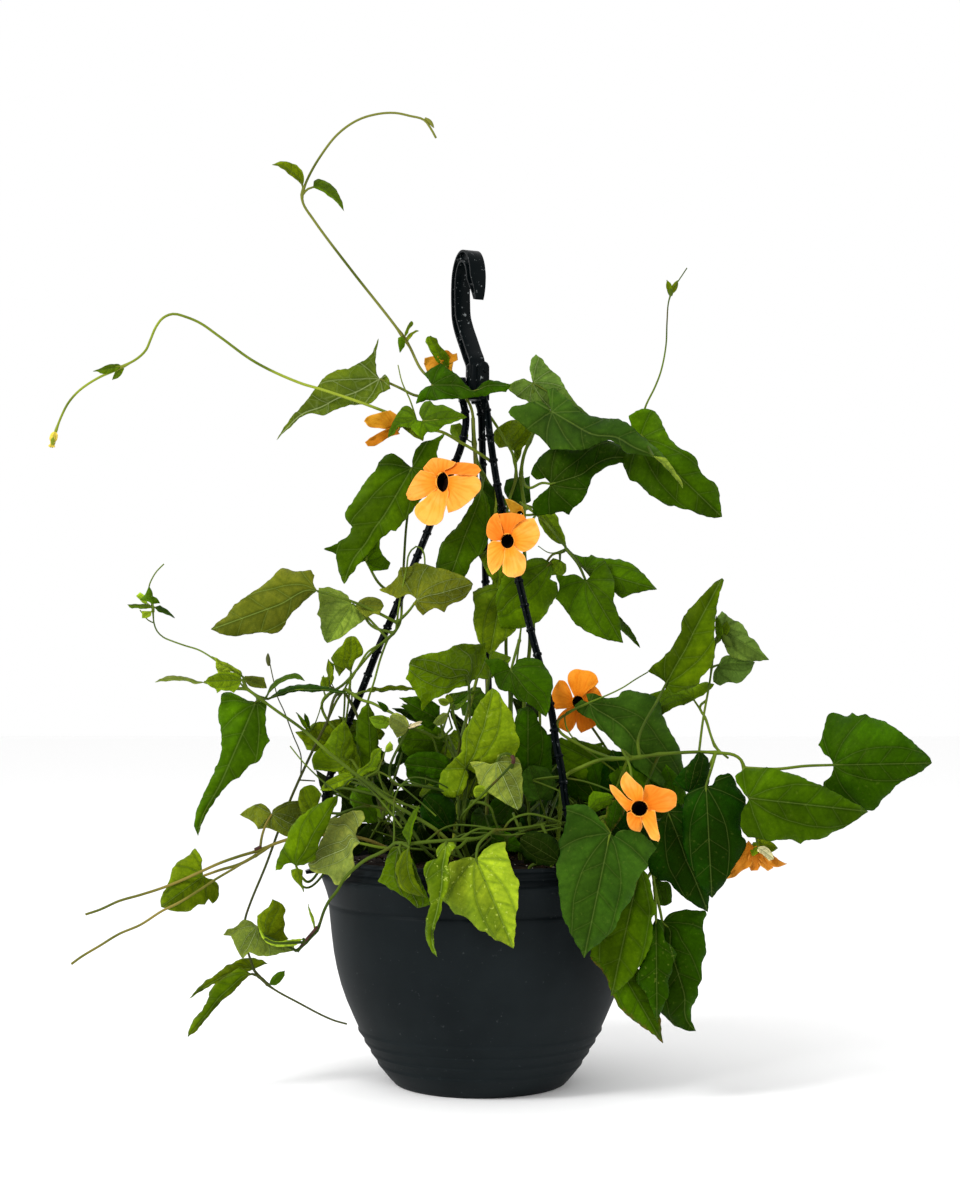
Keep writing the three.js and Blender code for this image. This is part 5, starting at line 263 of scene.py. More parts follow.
    "vine_clump": """
stem 1.9 1.2: 470,881,-36 466,850,-42 463,836,-50 463,823,-56 472,801,-66;
stem 1.5 1: 463,836,-50 458,800,-44 456,765,-42 460,740,-44 455,722,-52 451,706,-60;
stem 1.3 1: 456,765,-42 468,735,-46 478,712,-46 486,700,-46 489,690,-46;
stem 1.2 1: 468,735,-46 470,712,-50 469,700,-52;
stem 1.6 1.1: 470,870,-38 500,850,-40 530,828,-42 548,822,-46;
stem 1.1 .9: 530,828,-42 526,790,-46 514,740,-50 512,700,-54 517,660,-60 520,636,-58 521,628,-58;
stem 1 .8: 458,785,-44 440,760,-42 430,735,-47 408,727,-52;
stem 1 .8: 430,735,-47 440,738,-44 452,728,-48;
stem 1.2 1: 493,798,-76 490,807,-74 494,818,-72 499,831,-70;
stem .9 .8: 522,784,-52 544,779,-58 558,778,-62 578,780,-64 596,785,-66 611,791,-70;
stem .9 .8: 524,776,-56 537,782,-60 550,787,-63 561,792,-66 573,803,-68;
stem 1.3 1: 452,832,-58 462,816,-68 475,802,-78 492,785,-84 505,772,-86 513,763,-84;
stem 1.3 1.1: 372,781,-58 392,782,-60 412,785,-62 437,789,-62 452,794,-60;
stem 1.1 .9: 461,824,-50 463,806,-54 465,788,-56 466,768,-58;
stem .9 .8: 446,830,-46 453,812,-50 457,800,-52;
stem .9 .8: 525,782,-54 537,779,-58 552,777,-62 566,776,-64;
stem .7 .6: 400,835,-30 385,822,-34 372,812,-38 360,800,-40;
stem .7 .6: 420,842,-34 400,828,-40 384,812,-44;
stem .8 .7: 440,858,-30 420,846,-36 396,838,-44 372,830,-50;
under under_left mid -52,-62,.2,5,4: 469,686 409,664: 473,680 484,679 493,678 491,667 486,655
  485,643 474,644 463,644 456,645 449,649 441,652 420,656 411,660: 462,687 457,688 449,692 439,697
  429,703 422,711 421,702 417,695 413,688 406,679 409,671: 469,702,-52;
under under_small mid -46,-50,.3,1,0: 491,667 511,657: 489,658 492,650 500,653 506,655: 497,668
  506,665 510,661: 484,700,-44;
leaf heart dark -68,-76,.1,5,4: 511,670 546,717: 508,664 505,661 498,659 491,658.5 484,660 489,667
  493,676 499,689 504,691 511,692 517,699 527,703 537,710: 515,664 518,660 523,658 533,658 540,660
  547,669 552,679 553,686 551,696 550,707: 519,640,-56 515,655,-64;
leaf tall_light olive -64,-78,0,5,6: 466,768 492.5,688: 468,776 466,786 463,792 456,797 449,797
  442,793 439,787 440,780 442,772 448,765 455,758 461,752 461,744 463,735 467,726 472,716 477,707
  484,697 488,692: 474,773 482,777 494,775 506,766 514,757 518,749 519,739 516,731 515,722 512,714
  508,707 501,697 498,691: 463,823,-57 466,790,-54 467,775,-58;
under veined_small silver -76,-84,.1,3,2: 497,762 518,810: 490,764 482,762 475,761 470,762 475,770
  477,778 480,785 491,794 500,800 510,806: 498,755 504,753 510,757 517,757 521,766 522,776 523,788
  522,799 521,807: 472,801,-68 500,781,-74 513,764,-79 510,754,-79 501,755,-78;
leaf oval_small lime -76,-80,0,1.5,0: 489,792 473,791: 484,786 480,785 476,786: 484,797 479,799
  475,797: 488,791,-71;
leaf dark_mid dark -46,-54,.1,5,5: 528,790 528,706: 514,786 512,765 514,745 514,725 518,710:
  548,788 552,770 551,752 551,740 546,732 539,722 535,712: 530,820,-42;
leaf grey_mid cool -52,-56,0,2,0: 540,800 529,766: 528,801 522,790 522,775: 552,800 556,785
  548,768 538,766: 545,822,-48;
leaf dark_left_a dark -49,-55,0,3,3: 440,720 399,698: 432,731 418,722 408,712 400,706 407,704:
  440,706 430,700 418,696 407,697: 448,745,-40;
leaf dark_left_b leaf -36,-42,.1,3,2: 446,742 400,738: 440,752 426,760 412,758 402,750: 444,730
  430,724 414,728 404,733: 452,760,-40;
leaf dark_left_c dark -48,-46,.1,3,2: 452,770 404,764: 444,780 432,778 418,772 408,770: 450,758
  436,752 420,752 408,757: 458,785,-42;
leaf dark_left_d night -56,-60,.1,3,2: 450,830 424,798: 440,832 428,826 420,812: 456,818 452,800
  440,794 430,794: 463,836,-50;
under pale_bit_a pewter -56,-62,0,1.5,1: 409,726 390,716: 404,734 397,738 393,731 389,724: 407,719
  400,714 394,713: 430,735,-48;
leaf pale_bit_b lime -50,-54,.2,1,0: 391,722 369,717: 386,729 376,728 371,722: 389,717 380,715:
  420,732,-46 404,727,-50;
under pale_bit_c silver -56,-60,0,1,0: 448,713 433,723: 447,719 443,724 438,726: 443,713 437,717:
  452,728,-50;
leaf star_a lime -60,-66,0,.6,0: 450,703 438,700: 446,706 441,705: 447,699 442,698: 455,722,-54;
leaf star_b bright -60,-58,0,.6,0: 451,703 447,694: 447,701 445,697: 454,701 451,696: 455,722,-54;
leaf star_c dark -60,-62,0,.6,0: 452,704 470,692: 456,699 462,695: 457,704 465,697: 455,722,-54;
leaf withered cream -56,-58,0,1,0: 406,727.5 422.5,721.5: 410,724.6 415,722.6 419.5,721: 409,728.6
  414.5,727.4 420,724.4: 404,731,-54;
hearts shade: 420,742,392,768,20,8,.8 462,760,428,772,30,16,.8 432,712,402,704,-5,-14,.5
  528,760,552,788,0,-10,.8 485,815,470,845,-10,-22,.8 512,800,484,830,5,-5,.9
  460,800,440,832,0,-12,.8 405,832,375,846,-10,-18,.7;
hearts leaf: 408,735,440,760,25,14,.8 470,700,505,722,20,6,.8;
hearts mid: 448,735,441,778,-12,-26,.6 572,770,604,742,20,6,.9 452,702,478,690,10,-4,.7;
hearts dark: 428,735,396,752,0,-12,.8 492,838,531,852,-35,-48,.7 450,788,420,800,10,-4,.8
  600,790,572,776,10,0,.8;
hearts night: 548,765,528,808,-10,-24,.9 556,785,530,820,10,-4,.9 540,822,508,852,-20,-34,.9
  420,815,392,838,0,-12,.8 545,735,530,765,25,14,.8;
hearts deep: 548,856,512,806,-20,-30,.9 576,856,548,804,-22,-30,.9 596,850,578,796,-26,-34,.9
  366,846,384,815,-20,-30,.9 430,862,418,822,-20,-30,.9 480,862,474,822,-20,-30,.9
  402,802,424,784,-6,-12,.9 352,822,342,796,-20,-30,.8 490,838,466,804,20,12,.9
  524,844,506,818,24,16,1 462,848,442,826,20,14,1 380,838,352,823,4,-4,.8 400,840,381,819,10,4,.9
  442,844,424,822,18,10,.9 412,792,393,775,8,2,.5 334,794,316,770,0,-6,.7
  354,802,334,788,-6,-12,.6 472,740,449,710,6,0,.6 532,718,511,697,14,8,.8 568,766,547,748,0,-4,.7
  620,836,600,806,-20,-26,1 392,790,380,774,10,4,.7 452,846,442,806,30,26,1
  430,840,416,792,26,22,.9 470,848,460,810,34,30,1 496,846,484,794,30,26,1 512,846,500,806,34,30,1
  530,846,524,792,34,28,1 548,846,540,802,30,26,1 364,850,358,820,20,14,.9
  598,824,594,804,-40,-42,1 562,760,551,728,-4,-6,.6 484,842,476,790,24,20,1.1
  404,846,398,808,20,16,1 446,842,438,808,24,20,1 560,792,551,742,8,2,.7;
hearts shade: 424,718,392,708,20,10,.5;
node 1.2: 512,756,-87 513.5,759,-88 513,763,-87;
""",
    "vine_right": """
stem 2 1.4: 552,880,-40 556,850,-46 560,815,-52 562,786,-54 567,775,-56 582,767,-58 600,760,-60
  632,758,-62 663,754,-64 699,752,-66 720,753,-68 734,755,-69 741,760,-70 744,768,-70;
stem 1.2 .8: 699,752,-66 703,720,-62 710,680,-58 714,650,-58 718,632,-58 720,622,-58;
stem 1.2 1.1: 694,702,-48 700,709,-50 705,717,-52 711,736,-55 715,746,-57 728,758,-66;
leaf blade_up mid -58,-62,.2,5,5: 666,684 722,578: 664,681 658,677 648,671 654,664 662,658 671,648
  677,639 681,630 681,622 684,616 691,607 699,599 706,591 714,583: 665,690 671,692 682,691 691,688
  699,684 701,678 709,669 713,662 715,650 714,632 716,616 718,602 721,590 724,580: 638,757,-62
  638,741,-61 645,722,-60 656,703,-59;
leaf blade_back mid -44,-42,.3,3,2: 694,700 662,715: 684,705 677,706 670,710: 710,690 714,684
  706,682 696,685 676,688 662,690 650,694 652,704: 716,748,-52 711,736,-50 704,716,-47;
leaf right_small fresh -54,-58,.1,3,2: 722,630 769,659.5: 718,622 717,616 722,611 729,617 734,620
  741,623 747,631 749,636 756,642 761,650: 723,642 726,650 732,657 740,660 750,661 761,661:
  716,640,-57;
leaf right_small_b fresh -50,-54,.3,2,2: 718,665 755,662: 722,658 730,655 742,658: 714,672 713,682
  720,686 728,682 738,683 748,675 752,669: 712,668,-57;
leaf great_dark cool -52,-48,.1,6,6: 589,703 676,790: 586,694 594,693.5 603,697.6 613,698 618,696
  622,691 628,690 640,692.5 650,694 660,702 662,714 666,722 671,733 676,741 680,750 682,760
  684,768 681,780: 582,700 574,706 579,713 589,718 595,722 599,730 606,734 613,742 620,749 630,762
  645,775 660,785: 612,758,-56 580,745,-56 557,724,-60 570,712,-60;
leaf dark_lobe night -86,-92,.1,6,5: 706,786 712,898: 697,788 688,792 684,803 682,820 683,840
  687,858 695,875 703,890: 712,785 717,776 723,774 730,774 734,778 737,786 745,797 746,808 743,820
  741,832 746,843 742,855 734,867 727,879 719,890: 716,755,-70 711,770,-80;
leaf dark_flap night -74,-70,0,3,3: 689,793 698,752: 680,788 672,784 681,771 690,762: 700,792
  708,786 710,770 709,761 704,754: 716,757,-68 704,775,-71;
leaf twin_a dark -84,-100,.15,6,6: 833,765 932,763: 831,759 824,753 818,745 821,738 825,724
  827,716 831,713 838,714 847,716 852,713 858,716 865,713.5 871,717 880,720 886,722 892,726
  900,731 911,740 922,750 930,758: 833,770 830,777 824,782 822,790 832,802 850,809 867,811 874,810
  878,806 883,799 890,793 896,786 907,779 919,773 927,767: 743,767,-70 777,769,-76 805,766,-81;
leaf twin_b leaf -102,-108,.1,6,6: 749,798 868,811.5: 746,796 741,789 736,781 735,776 739,773
  747,768 759,769 769,767 776,769 789,773 802,777 812,782 820,784.5 833,791 847,799 858,805:
  747,803 744,808 741,817 741,824 742,831 748,837 757,838 764,840 774,841 786,840 794,841
  800.5,843.5 804,841 812,840 825,838 832,833 841,829 855,821 862,816: 743,768,-70 741,783,-92;
leaf bract_f bright -88,-92,.2,1,0: 757,842 778,848: 758,838 766,839 773,843: 757,848 765,852
  772,852: 757,838,-84;
leaf bract_f2 bright -88,-93,.2,1,0: 757,842 752,856: 753,842 750,849: 760,848 757,854:
  757,838,-84;
leaf bract_up_a mid -59,-62,.3,1.5,0: 719,640 716,616: 716,634 715,625: 723,634 722,626 719,619:
  718,645,-58;
leaf bract_up_b mid -59,-60,.3,1.5,0: 720,640 727,620: 719,633 723,625: 726,636 730,629:
  718,645,-58;
leaf thicket_a dark -34,-42,.3,3,2: 598,800 566,742: 580,802 562,785 558,760: 614,790 610,768
  592,748: 600,806,-30 588,812,-34;
leaf thicket_b night -40,-48,.3,3,2: 640,812 612,750: 620,816 602,796 602,770: 656,798 654,776
  634,756: 632,818,-36 606,816,-32;
leaf thicket_c dark -42,-52,.3,3,2: 672,816 652,757: 656,822 640,800 640,775: 688,806 684,786
  668,766: 668,822,-38 630,822,-34;
leaf thicket_d night -42,-48,.2,2,1: 634,842 600,812: 616,846 604,838 600,826: 648,828 640,814
  618,806: 640,846,-40 610,842,-34;
leaf thicket_e night -46,-56,.2,2,1: 660,858 640,820: 646,858 634,846 632,832: 676,848 672,832
  656,820: 650,862,-40 620,850,-34;
leaf pale_tube cream -93,-95,.1,1.5,0: 758,847 774,859: 757,851 763,855 769,861: 764,846 769,849
  773,855: 757,840,-86;
bud 2.6: 731,646,-60 726,640,-60 722,634,-60;
""",
    "vine_front_right": """
stem 1.8 1.3: 530,883,-62 545,862,-66 558,850,-68 575,835,-68 598,820,-70 620,812,-68 640,805,-66
  650,820,-66 652,845,-70 652,866,-74 655,890,-76;
stem 1.2 1: 620,812,-68 622,795,-44 625,780,-44;
stem 1.2 1.1: 650,820,-66 630,840,-78 628,850,-80;
stem .8 .7: 556,722,-58 565,715,-62 574,709,-64 583,705,-62;
stem .8 .6: 608,697,-50 622,688,-48 636,679,-48 648,672,-50;
leaf flap_dark night -76,-82,.1,5,4: 668,812 708,912: 658,822 652,836 652,850 648,862 650,871
  656,878 661,881 669,882 672,886 680,894 689,901 696,906: 678,803 688,812 694,830 700,852 705,875
  709,893: 640,805,-66;
leaf great_front cool -100,-104,0,6,5: 610,833 584,958: 605,827 600,819 595,812 585,805 577,804
  566,806 566,818 564,830 558,844 560,851 556,867 558,881 560,900 562,914 568,928 576,943: 614,837
  618,832 628,829.5 637,831 645,836 652,842 657,848 652,854 648,859 648,866 643,872 637,881
  633,896 622,912 615,928 601,942 590,950: 600,815,-70 604,824,-92;
leaf gold_front leaf -86,-90,.1,5,4: 640,868 611,996.5: 628,880 615,905 600,928 592,944 590,956
  597,960 606,968 610,980: 646,872 650,881 652,892 656,906 657,912 652,918 653,930 652,941 647,954
  641,965 631,978 620,989: 630,840,-78;
leaf tail_front leaf -76,-80,0,4,4: 615,960 663,1043.5: 603,950 592,948 590,958 596,964 601,969
  606,978 611,991 615,1000 622,1010 637,1023 652,1034: 630,962 645,975 656,992 662,1003 660,1012
  661,1024 662,1034: 640,868,-80 625,915,-79;
leaf spotted dark -84,-86,.1,3,4: 656,918 657,1023: 650,930 646,952 640,966 637,982 643,990
  650,1004 654,1014: 662,920 663,930 665,940 671,946 677,954 674,960 672,971 669,980 669,990
  667,999 661,1012: 654,890,-76;
leaf wave_end shade -72,-74,.1,5,6: 662.5,923 696,1031: 658,935 652,955 650,975 652,995 661,1012
  671,1023 679,1028 689,1031: 665,918 671,913 682,910 697,910 705,911 706,915 703,923 703,930
  706,942 706,952 703,960 702,971 701,982 698,987 698,995 695,1002 691,1010 692,1021: 657,890,-74
  660,910,-74;
leaf scrap dark -72,-72,.1,2,1: 655,876 664,906: 652,882 655,893 659,905: 661,881 668,882 671,886
  672,895 672,902 668,905: 652,866,-74;
leaf bright_small mid -88,-88,.1,2,1: 589,812 613,798: 588,804 589,797 593,791 601,792 610,794:
  596,812 605,807 611,804: 600,821,-72 593,818,-80;
leaf brown_fold dark -91,-88,0,2,0: 611,832 618,799: 605,824 606,812 608,801: 619,822 624,813
  623,806: 607,828,-80;
leaf arch_dark mid -36,-44,.1,4,4: 612,770 556,742: 600,778 584,780 568,774 558,762 554,750:
  618,760 610,749 596,745 582,741 573,737 569,739 560,738: 620,795,-40;
leaf vein_dark leaf -50,-46,.1,4,3: 640,800 616,764: 628,800 616,790 608,776: 655,800 668,800
  678,786 672,768 655,762 636,760: 636,812,-56;
""",
    "vine_front": """
stem 1.8 1.3: 500,883,-66 500,860,-72 506,838,-82 495,832,-88 480,838,-92 455,840,-96 425,842,-98
  405,844,-98 396,843,-94 389,848,-88 378,854,-84 367,859,-80 355,868,-76 344,879,-74 337,891,-74
  329,901,-75 324,911,-76 317,930,-76 306,942,-74 297,951,-73;
stem 1.3 1: 506,838,-82 528,830,-78 545,826,-77 563,829,-78;
stem 1.1 .9: 501,835,-86 511,820,-90 528,814,-89 545,817,-85 560,822,-82;
stem .9 .8: 380,782,-79 404,783,-82 424,786,-82 440,789,-78;
stem .8 .7: 386,777,-77 410,778,-81 436,782,-78 448,788,-74;
stem 1.1 1: 457,824,-86 478,829,-92 495,830,-90 520,828,-88 545,824,-82;
stem 1.3 1.3: 509.6,806,-76 513,813,-80 517,823,-86 520,832,-86;
stem 1 .9: 425,832,-80 450,826,-82 475,826,-84 500,830,-86 520,829,-85 562,824,-80;
stem .9 .8: 428,846,-80 442,841,-84 465,834,-86 487,833,-88 505,835,-88 530,833,-86 560,828,-82;
leaf folded_up mid -104,-90,.8,1,0: 409,846 419,805: 402,832 408,820 414,810: 411,840 413,827
  417,815: 398,843,-98;
leaf folded_down bright -107,-114,.1,3,2: 409,847 427,898: 401,854 396,866 397,877 401,889 409,893
  419,896: 411,856 413,867 415,877 419,885 424,894: 400,844,-98;
under under_rim mid -102,-105,0,3,2: 399,848 417,908: 392,849 387,857 383,870 378,881 389,888
  398,893 406,898 412,903: 406,851 413,861 419,875 425,890 431,905 423,907: 398,843,-98;
leaf twist olive -116,-122,.3,3,2: 446,842 437,957: 438,846 436,852 437,858 431,860 424,866
  424,875 427,885 429,896 430,905 428,912 426,921 425,932 427,942 431,950: 453,842 456,846 451,852
  449,858 448,864 450,873 450,881 447,891 443,898 442,905 441,912 438,919 435,926 434,935 435,947:
  470,842,-98 456,848,-108;
leaf golden lime -110,-116,.1,6,4: 476,859 513.5,948.5: 471,857 461,859 450,862 445,876 444,892
  443,900 449,906 455,914 461,915 468,919 474,925 480,931 485,932 491,937 503,943: 480,855 483,850
  489,846 497,843 505.5,842 506,851 510,861 514,875 519,882 518,891 518,903 516,917 515,933:
  495,832,-90 487,836,-98 478,846,-106;
under rim_pair_a silver -64,-72,.1,3,3: 258,927 243,959: 250,921 244,920 239,924 234,928 228,929
  223.5,935 231,936 234,942 238,951: 264,934 275,940 290,941 294,946 293,951 281,953 273,955.5
  259,955.5 249,952: 304,939,-74 288,943,-78 275,943,-80 265,939,-76;
leaf rim_pair_b bright -70,-64,0,2,1: 262,934 272.5,899: 258,927 257,916 263,911 268,907: 270,941
  280,943 288.5,939 284,931 285,924 283.5,917 285.5,909 281,903: 265,939,-76;
leaf rim_bract lime -78,-74,0,.4,0: 315,929 308,904: 312,922 309,912: 315,922 311,911:
  317,930,-76;
leaf mid_rim_a deep -92,-88,0,3,2: 560,862 520,838: 548,866 532,862 520,850: 562,850 555,838
  540,832 528,832: 540,825,-82;
leaf curl_strap straw -76,-76,0,1,0: 303,938.8 257.5,924: 295.6,945.6 283.5,946.8 272.5,945.6
  262.8,938.9: 295.6,938.9 283.5,940.7 272.5,940.7 265.2,936.5 259.2,926: 306,939,-74;
node .95: 317,927,-80 312,933,-78 306,940,-75 299,949,-73;
""",
    "vine_left": """
stem 2.2 1.4: 478,885,-78 470,868,-80 455,848,-82 436,830,-82 412,815,-80 388,800,-78 370,785,-78
  353,772,-78 327,751,-78 301,728,-77 277,711,-76 254,694,-74 243,686,-73;
stem 1 .7: 243,686,-73 225,668,-66 200,650.5,-58 185,645.6,-54 172,641,-51 163,637,-49 157,631,-48
  154,623,-47 153,612,-46 151,600,-43 149,587,-40 153,577,-40 157,571,-40 164,564,-40;
stem .7 .6: 154,623,-47 148,620,-49 140,610,-50;
leaf long_left leaf -66,-76,.1,5,7: 256,702 198,836: 250,700.5 244,699 236,694 226,692 221,694
  220,704 218,715 220.5,728 221.5,744 220.5,755 216,767 209,782 201,799 196,813 194.5,826: 256,697
  261,702 267,703 266,715 266,725 267.5,735 270,741 266,747 262,756 260,761 251,765 244,771
  240,777 233,780 227,785 221,793 214,803 206,815 200,829: 262,699,-72;
leaf lime_top lime -74,-82,.2,1.5,1: 243,677 211,656: 232,672 218,673 216,668 215.5,660: 241,672
  238,669 230,665 221,660.5: 248,688,-74;
leaf lime_low olive -77,-86,0,2,1: 242,680 205,681.5: 241,675 232,672 223,672 215,674 209,677:
  238,688 234,693 230,691 226,691 221,690 217,693.5 216,690 211,687: 248,688,-74;
leaf strip_left silver -70,-62,1.5,.5,1: 204,682 155,682: 198,681 190,678 180,676 170,675.5
  162,678: 195,683.5 190,681.5 174,680.5 163,681: 248,690,-73 226,688,-71;
leaf strip_mid pale -66,-58,.8,1,0: 243,679 267,688: 245,676 255,676 264,677.5: 250,686 260,688:
  249,688,-72;
leaf horn_up leaf -64,-74,1.2,1,0: 265,699 305,681: 269,689 274,681 281,677 290,674 298,673.5:
  272,690 280,683 290,679 298,679: 258,695,-72;
leaf horn_mid shade -60,-44,1.2,1,0: 268,699 353,694: 278,691 290,686 301,684.5 312,684 322,686
  336,689: 280,696 292,692 304,691 312,692 322,691 338,693: 260,697,-72;
leaf sprig_a mid -46,-52,1,1,0: 153,607 127.5,604.5: 147,604 140,604 134,604: 146,609 139,608
  131.5,608: 153,612,-46;
leaf sprig_b dark -46,-42,1,1,0: 154,607 175,618: 160,605 166,609 171,613: 159,612 166,614:
  153,612,-46;
leaf sprig_c leaf -52,-48,0,1.5,0: 153,604 149,586: 146,601 140,600 145,594 147,590: 160,603
  157,598 153,596 152,591: 153,610,-46;
leaf sprig_d lime -42,-38,0,.6,0: 148,604 136,596: 143,603 140,600: 144,595 140,592: 152,609,-45;
leaf sprig_e lime -48,-52,0,.6,0: 152,611 142,618: 148,611 142,611: 151,616 147,618: 153,613,-46;
""",
    "vine_left_low": """
stem 1.7 1.1: 405,880,-28 390,850,-40 360,838,-52 330,835,-54 300,836,-54 286,840,-54 274,844,-54
  260,850,-54 240,856,-54 220,863,-55 200,872,-56 180,881,-56 162,888,-57 140,895,-58 119,901,-58
  100,909.6,-58 85.6,914.4,-58;
stem 1.1 1.1: 274,846,-54 260,853,-56 246,861,-57 233,869,-58 216,879,-60 201,889,-62 180,902,-64
  162,911,-64 140,925,-64 119,934,-64 100,945.6,-64 81,957,-64 71.5,964,-64;
leaf tooth_left bright -50,-56,.1,3,3: 203,876 161,907: 202,866 201,856 195,848.5 186,857 178,862
  172,870 170,879 165,889 161,898: 208,878 214,880 218,885 219,890 217,900 213,903 209,899 205,905
  198,905 191,911 182,912 169,910: 258,857,-54 240,864,-54 220,870,-52;
under grey_back pale -50,-46,.1,3,2: 272,814 306,832: 273,810 278,806 288,801.5 299,801 308,812:
  267,807 261,803.5 248,808 239.5,814.6 248,819 255,824 258,829 268,828 277,831 286,836 298,838:
  259,851,-54 262,836,-53 267,822,-51;
node 1.25: 255,850,-54 261,847,-54.5;
""",
    "vine_left_clump": """
stem 1.7 1.3: 440,882,-56 425,850,-62 412,830,-64 400,815,-64 389,800,-64 372,792,-50 366,775,-42;
stem 1.3 1: 400,815,-64 370,806,-60 345,812,-60 330,820,-60;
stem 1.2 1: 425,850,-62 400,848,-66 385,848,-70;
stem 1 .8: 389,800,-64 382,785,-66 378,771,-66;
stem .9 .6: 370,806,-60 345,797,-74 325,783,-76 303,762,-76 290,746,-76;
stem .9 .8: 352,771,-70 366,780,-72 380,790,-74 398,800,-74 420,812,-80;
stem .8 .7: 360,762,-60 378,772,-66 398,784,-70 418,800,-74 436,816,-78;
stem 1.2 1: 318,790,-60 330,789,-64 342,788,-68 360,791,-72 382,797,-74 403,804,-76 420,808,-78;
stem 1 .9: 342,788,-68 352,779,-66 364,784,-72 376,795,-76 390,812,-80 402,828,-84;
leaf bright_left mid -76,-70,.1,4,4: 296,866 338,795.5: 291,863 284,865.5 280,870 275,871 278,859
  281,850 286,841 288,832 292,825 299,818 306,812 313,807 320,803 329,798: 302,865 306,863.5
  316,859 317,852 320,841 328,825 333,812 337,803: 345,812,-60 330,842,-57 312,880,-58
  301,876,-72;
leaf drip_left bright -79,-81,0,1.5,0: 297,868 304,892: 291,870 292,876 295,881 300,886: 303,870
  302.5,881: 345,813,-60 336,850,-56 312,886,-60 299,882,-74;
under silver pewter -72,-64,.1,4,3: 360,843 308,863.5: 356,836 357,829 363,822 365,816 362,811
  356,810 346,813 338,817 331,818 327,823 326,831 321,841 317,851 315,858: 354,848 353,856 354,865
  352,872 346,880 338,884.5 335,884 329,875 320,874 311,870: 400,848,-66 385,848,-70;
leaf upper_a bright -44,-50,0,3,2: 352,760 344,720: 340,771 326,771 314,770 312,761 314,754
  324,745 333,731: 354,748 352,735 348,726: 372,790,-46 362,775,-45;
leaf upper_b olive -38,-40,0,2,2: 352,782 349,736: 340,780 337,765 338,748 343,738: 362,778
  360,760 355,745: 372,792,-40;
leaf upper_c mid -34,-30,0,3,3: 372,778 368,702: 362,770 357,750 356,730 360,712: 378,765 377,750
  378,738 376,725 374,714: 384,800,-40;
leaf upper_d bright -18,-22,0,3,2: 340,745 295,732: 330,755 318,752 307,750 303,742: 344,730
  342,718 330,721 314,723 304,730: 366,770,-34;
leaf wisp olive -64,-66,0,1.5,1: 355,779 382,748: 358,770 364,766 369,762 371,753 377,748: 362,777
  371,772 378,770 380,761: 378,772,-66 366,777,-65;
leaf wisp_b lime -66,-66,0,.6,0: 385,752 393,745: 386,746 390,741: 389,752 393,750: 379,771,-66;
leaf tongue olive -62,-68,.2,1.5,1: 354,775 320,790: 348,773 340,774 333,777 324,784: 350,783
  340,787 328,791: 389,797,-66 370,782,-64;
leaf bluish leaf -50,-54,.1,3,2: 352,790 378,822: 350,800 358,815 368,824: 360,785 370,790 373,802
  377,812: 389,801,-54;
leaf behind_left bright -58,-56,0,2,1: 312,812 300,790: 303,820 300,808 298,800: 318,804 322,794
  312,785 306,786: 340,812,-56;
hearts bright: 325,752,349,724,2,-2,.8;
hearts mid: 372,742,338,716,10,4,.9 360,800,334,782,-15,-30,.8;
hearts dark: 372,757,352,728,14,6,.7 352,790,338,764,0,-12,.8;
hearts shade: 385,762,352,790,10,-5,.8 380,800,362,768,12,0,.8;
""",
    "vine_trailing": """
stem 1.6 .9: 415,879,-18 395,840,-26 375,790,-27 362,730,-22 352,705,-20 341,692,-24 327,722,-30
  313,750,-36 299,780,-38 289,803,-36 278,832,-34 266,865,-34 250,904,-36 245,920,-44 244,938,-50
  248,952,-46 257,974,-38 268,985,-38 299,1003,-38 333,1020,-38 347,1024,-38;
stem .9 .6: 352,705,-20 351,690,-22 350,688,-22;
stem .6 .5: 315,781,-34 301,756,-34 293,735,-30 284,711,-30 278,698,-30 273,678,-30 270,664,-30;
stem .7 .6: 299,780,-38 315,781,-34;
leaf trail_a mid -40,-48,.2,2,3: 252,974 188,1037: 240,967 226,975 214,985 209,992 208,999
  206,1004 200,1012 193,1020 189,1030: 246,978 241,984 230,995 219,1004 209,1016 200,1027:
  268,985,-38 260,977,-39;
leaf trail_b bright -34,-38,.2,2,3: 253,969 189,999: 268,963.5 262,960 252,958 240,959 234,962
  226,966 214,976 206,980 199,987: 243,974 228,977 213,984 200,992: 260,978,-37;
leaf trail_c leaf -39,-44,.3,.8,0: 269,985 285,970.5: 271,979 277,973: 276,985 281,981 284,976:
  268,985,-38;
leaf trail_top_a olive -26,-30,0,.5,0: 326,688 322,677: 323,686 321,682: 329,683 327,677:
  335,691,-24;
leaf trail_top_b bright -26,-30,.6,.6,0: 330,686 328,660: 328,677 326,668: 333,676 333,668:
  335,691,-24;
bud 1.5: 269,666,-30 268,658,-30 268,653,-30;
""",
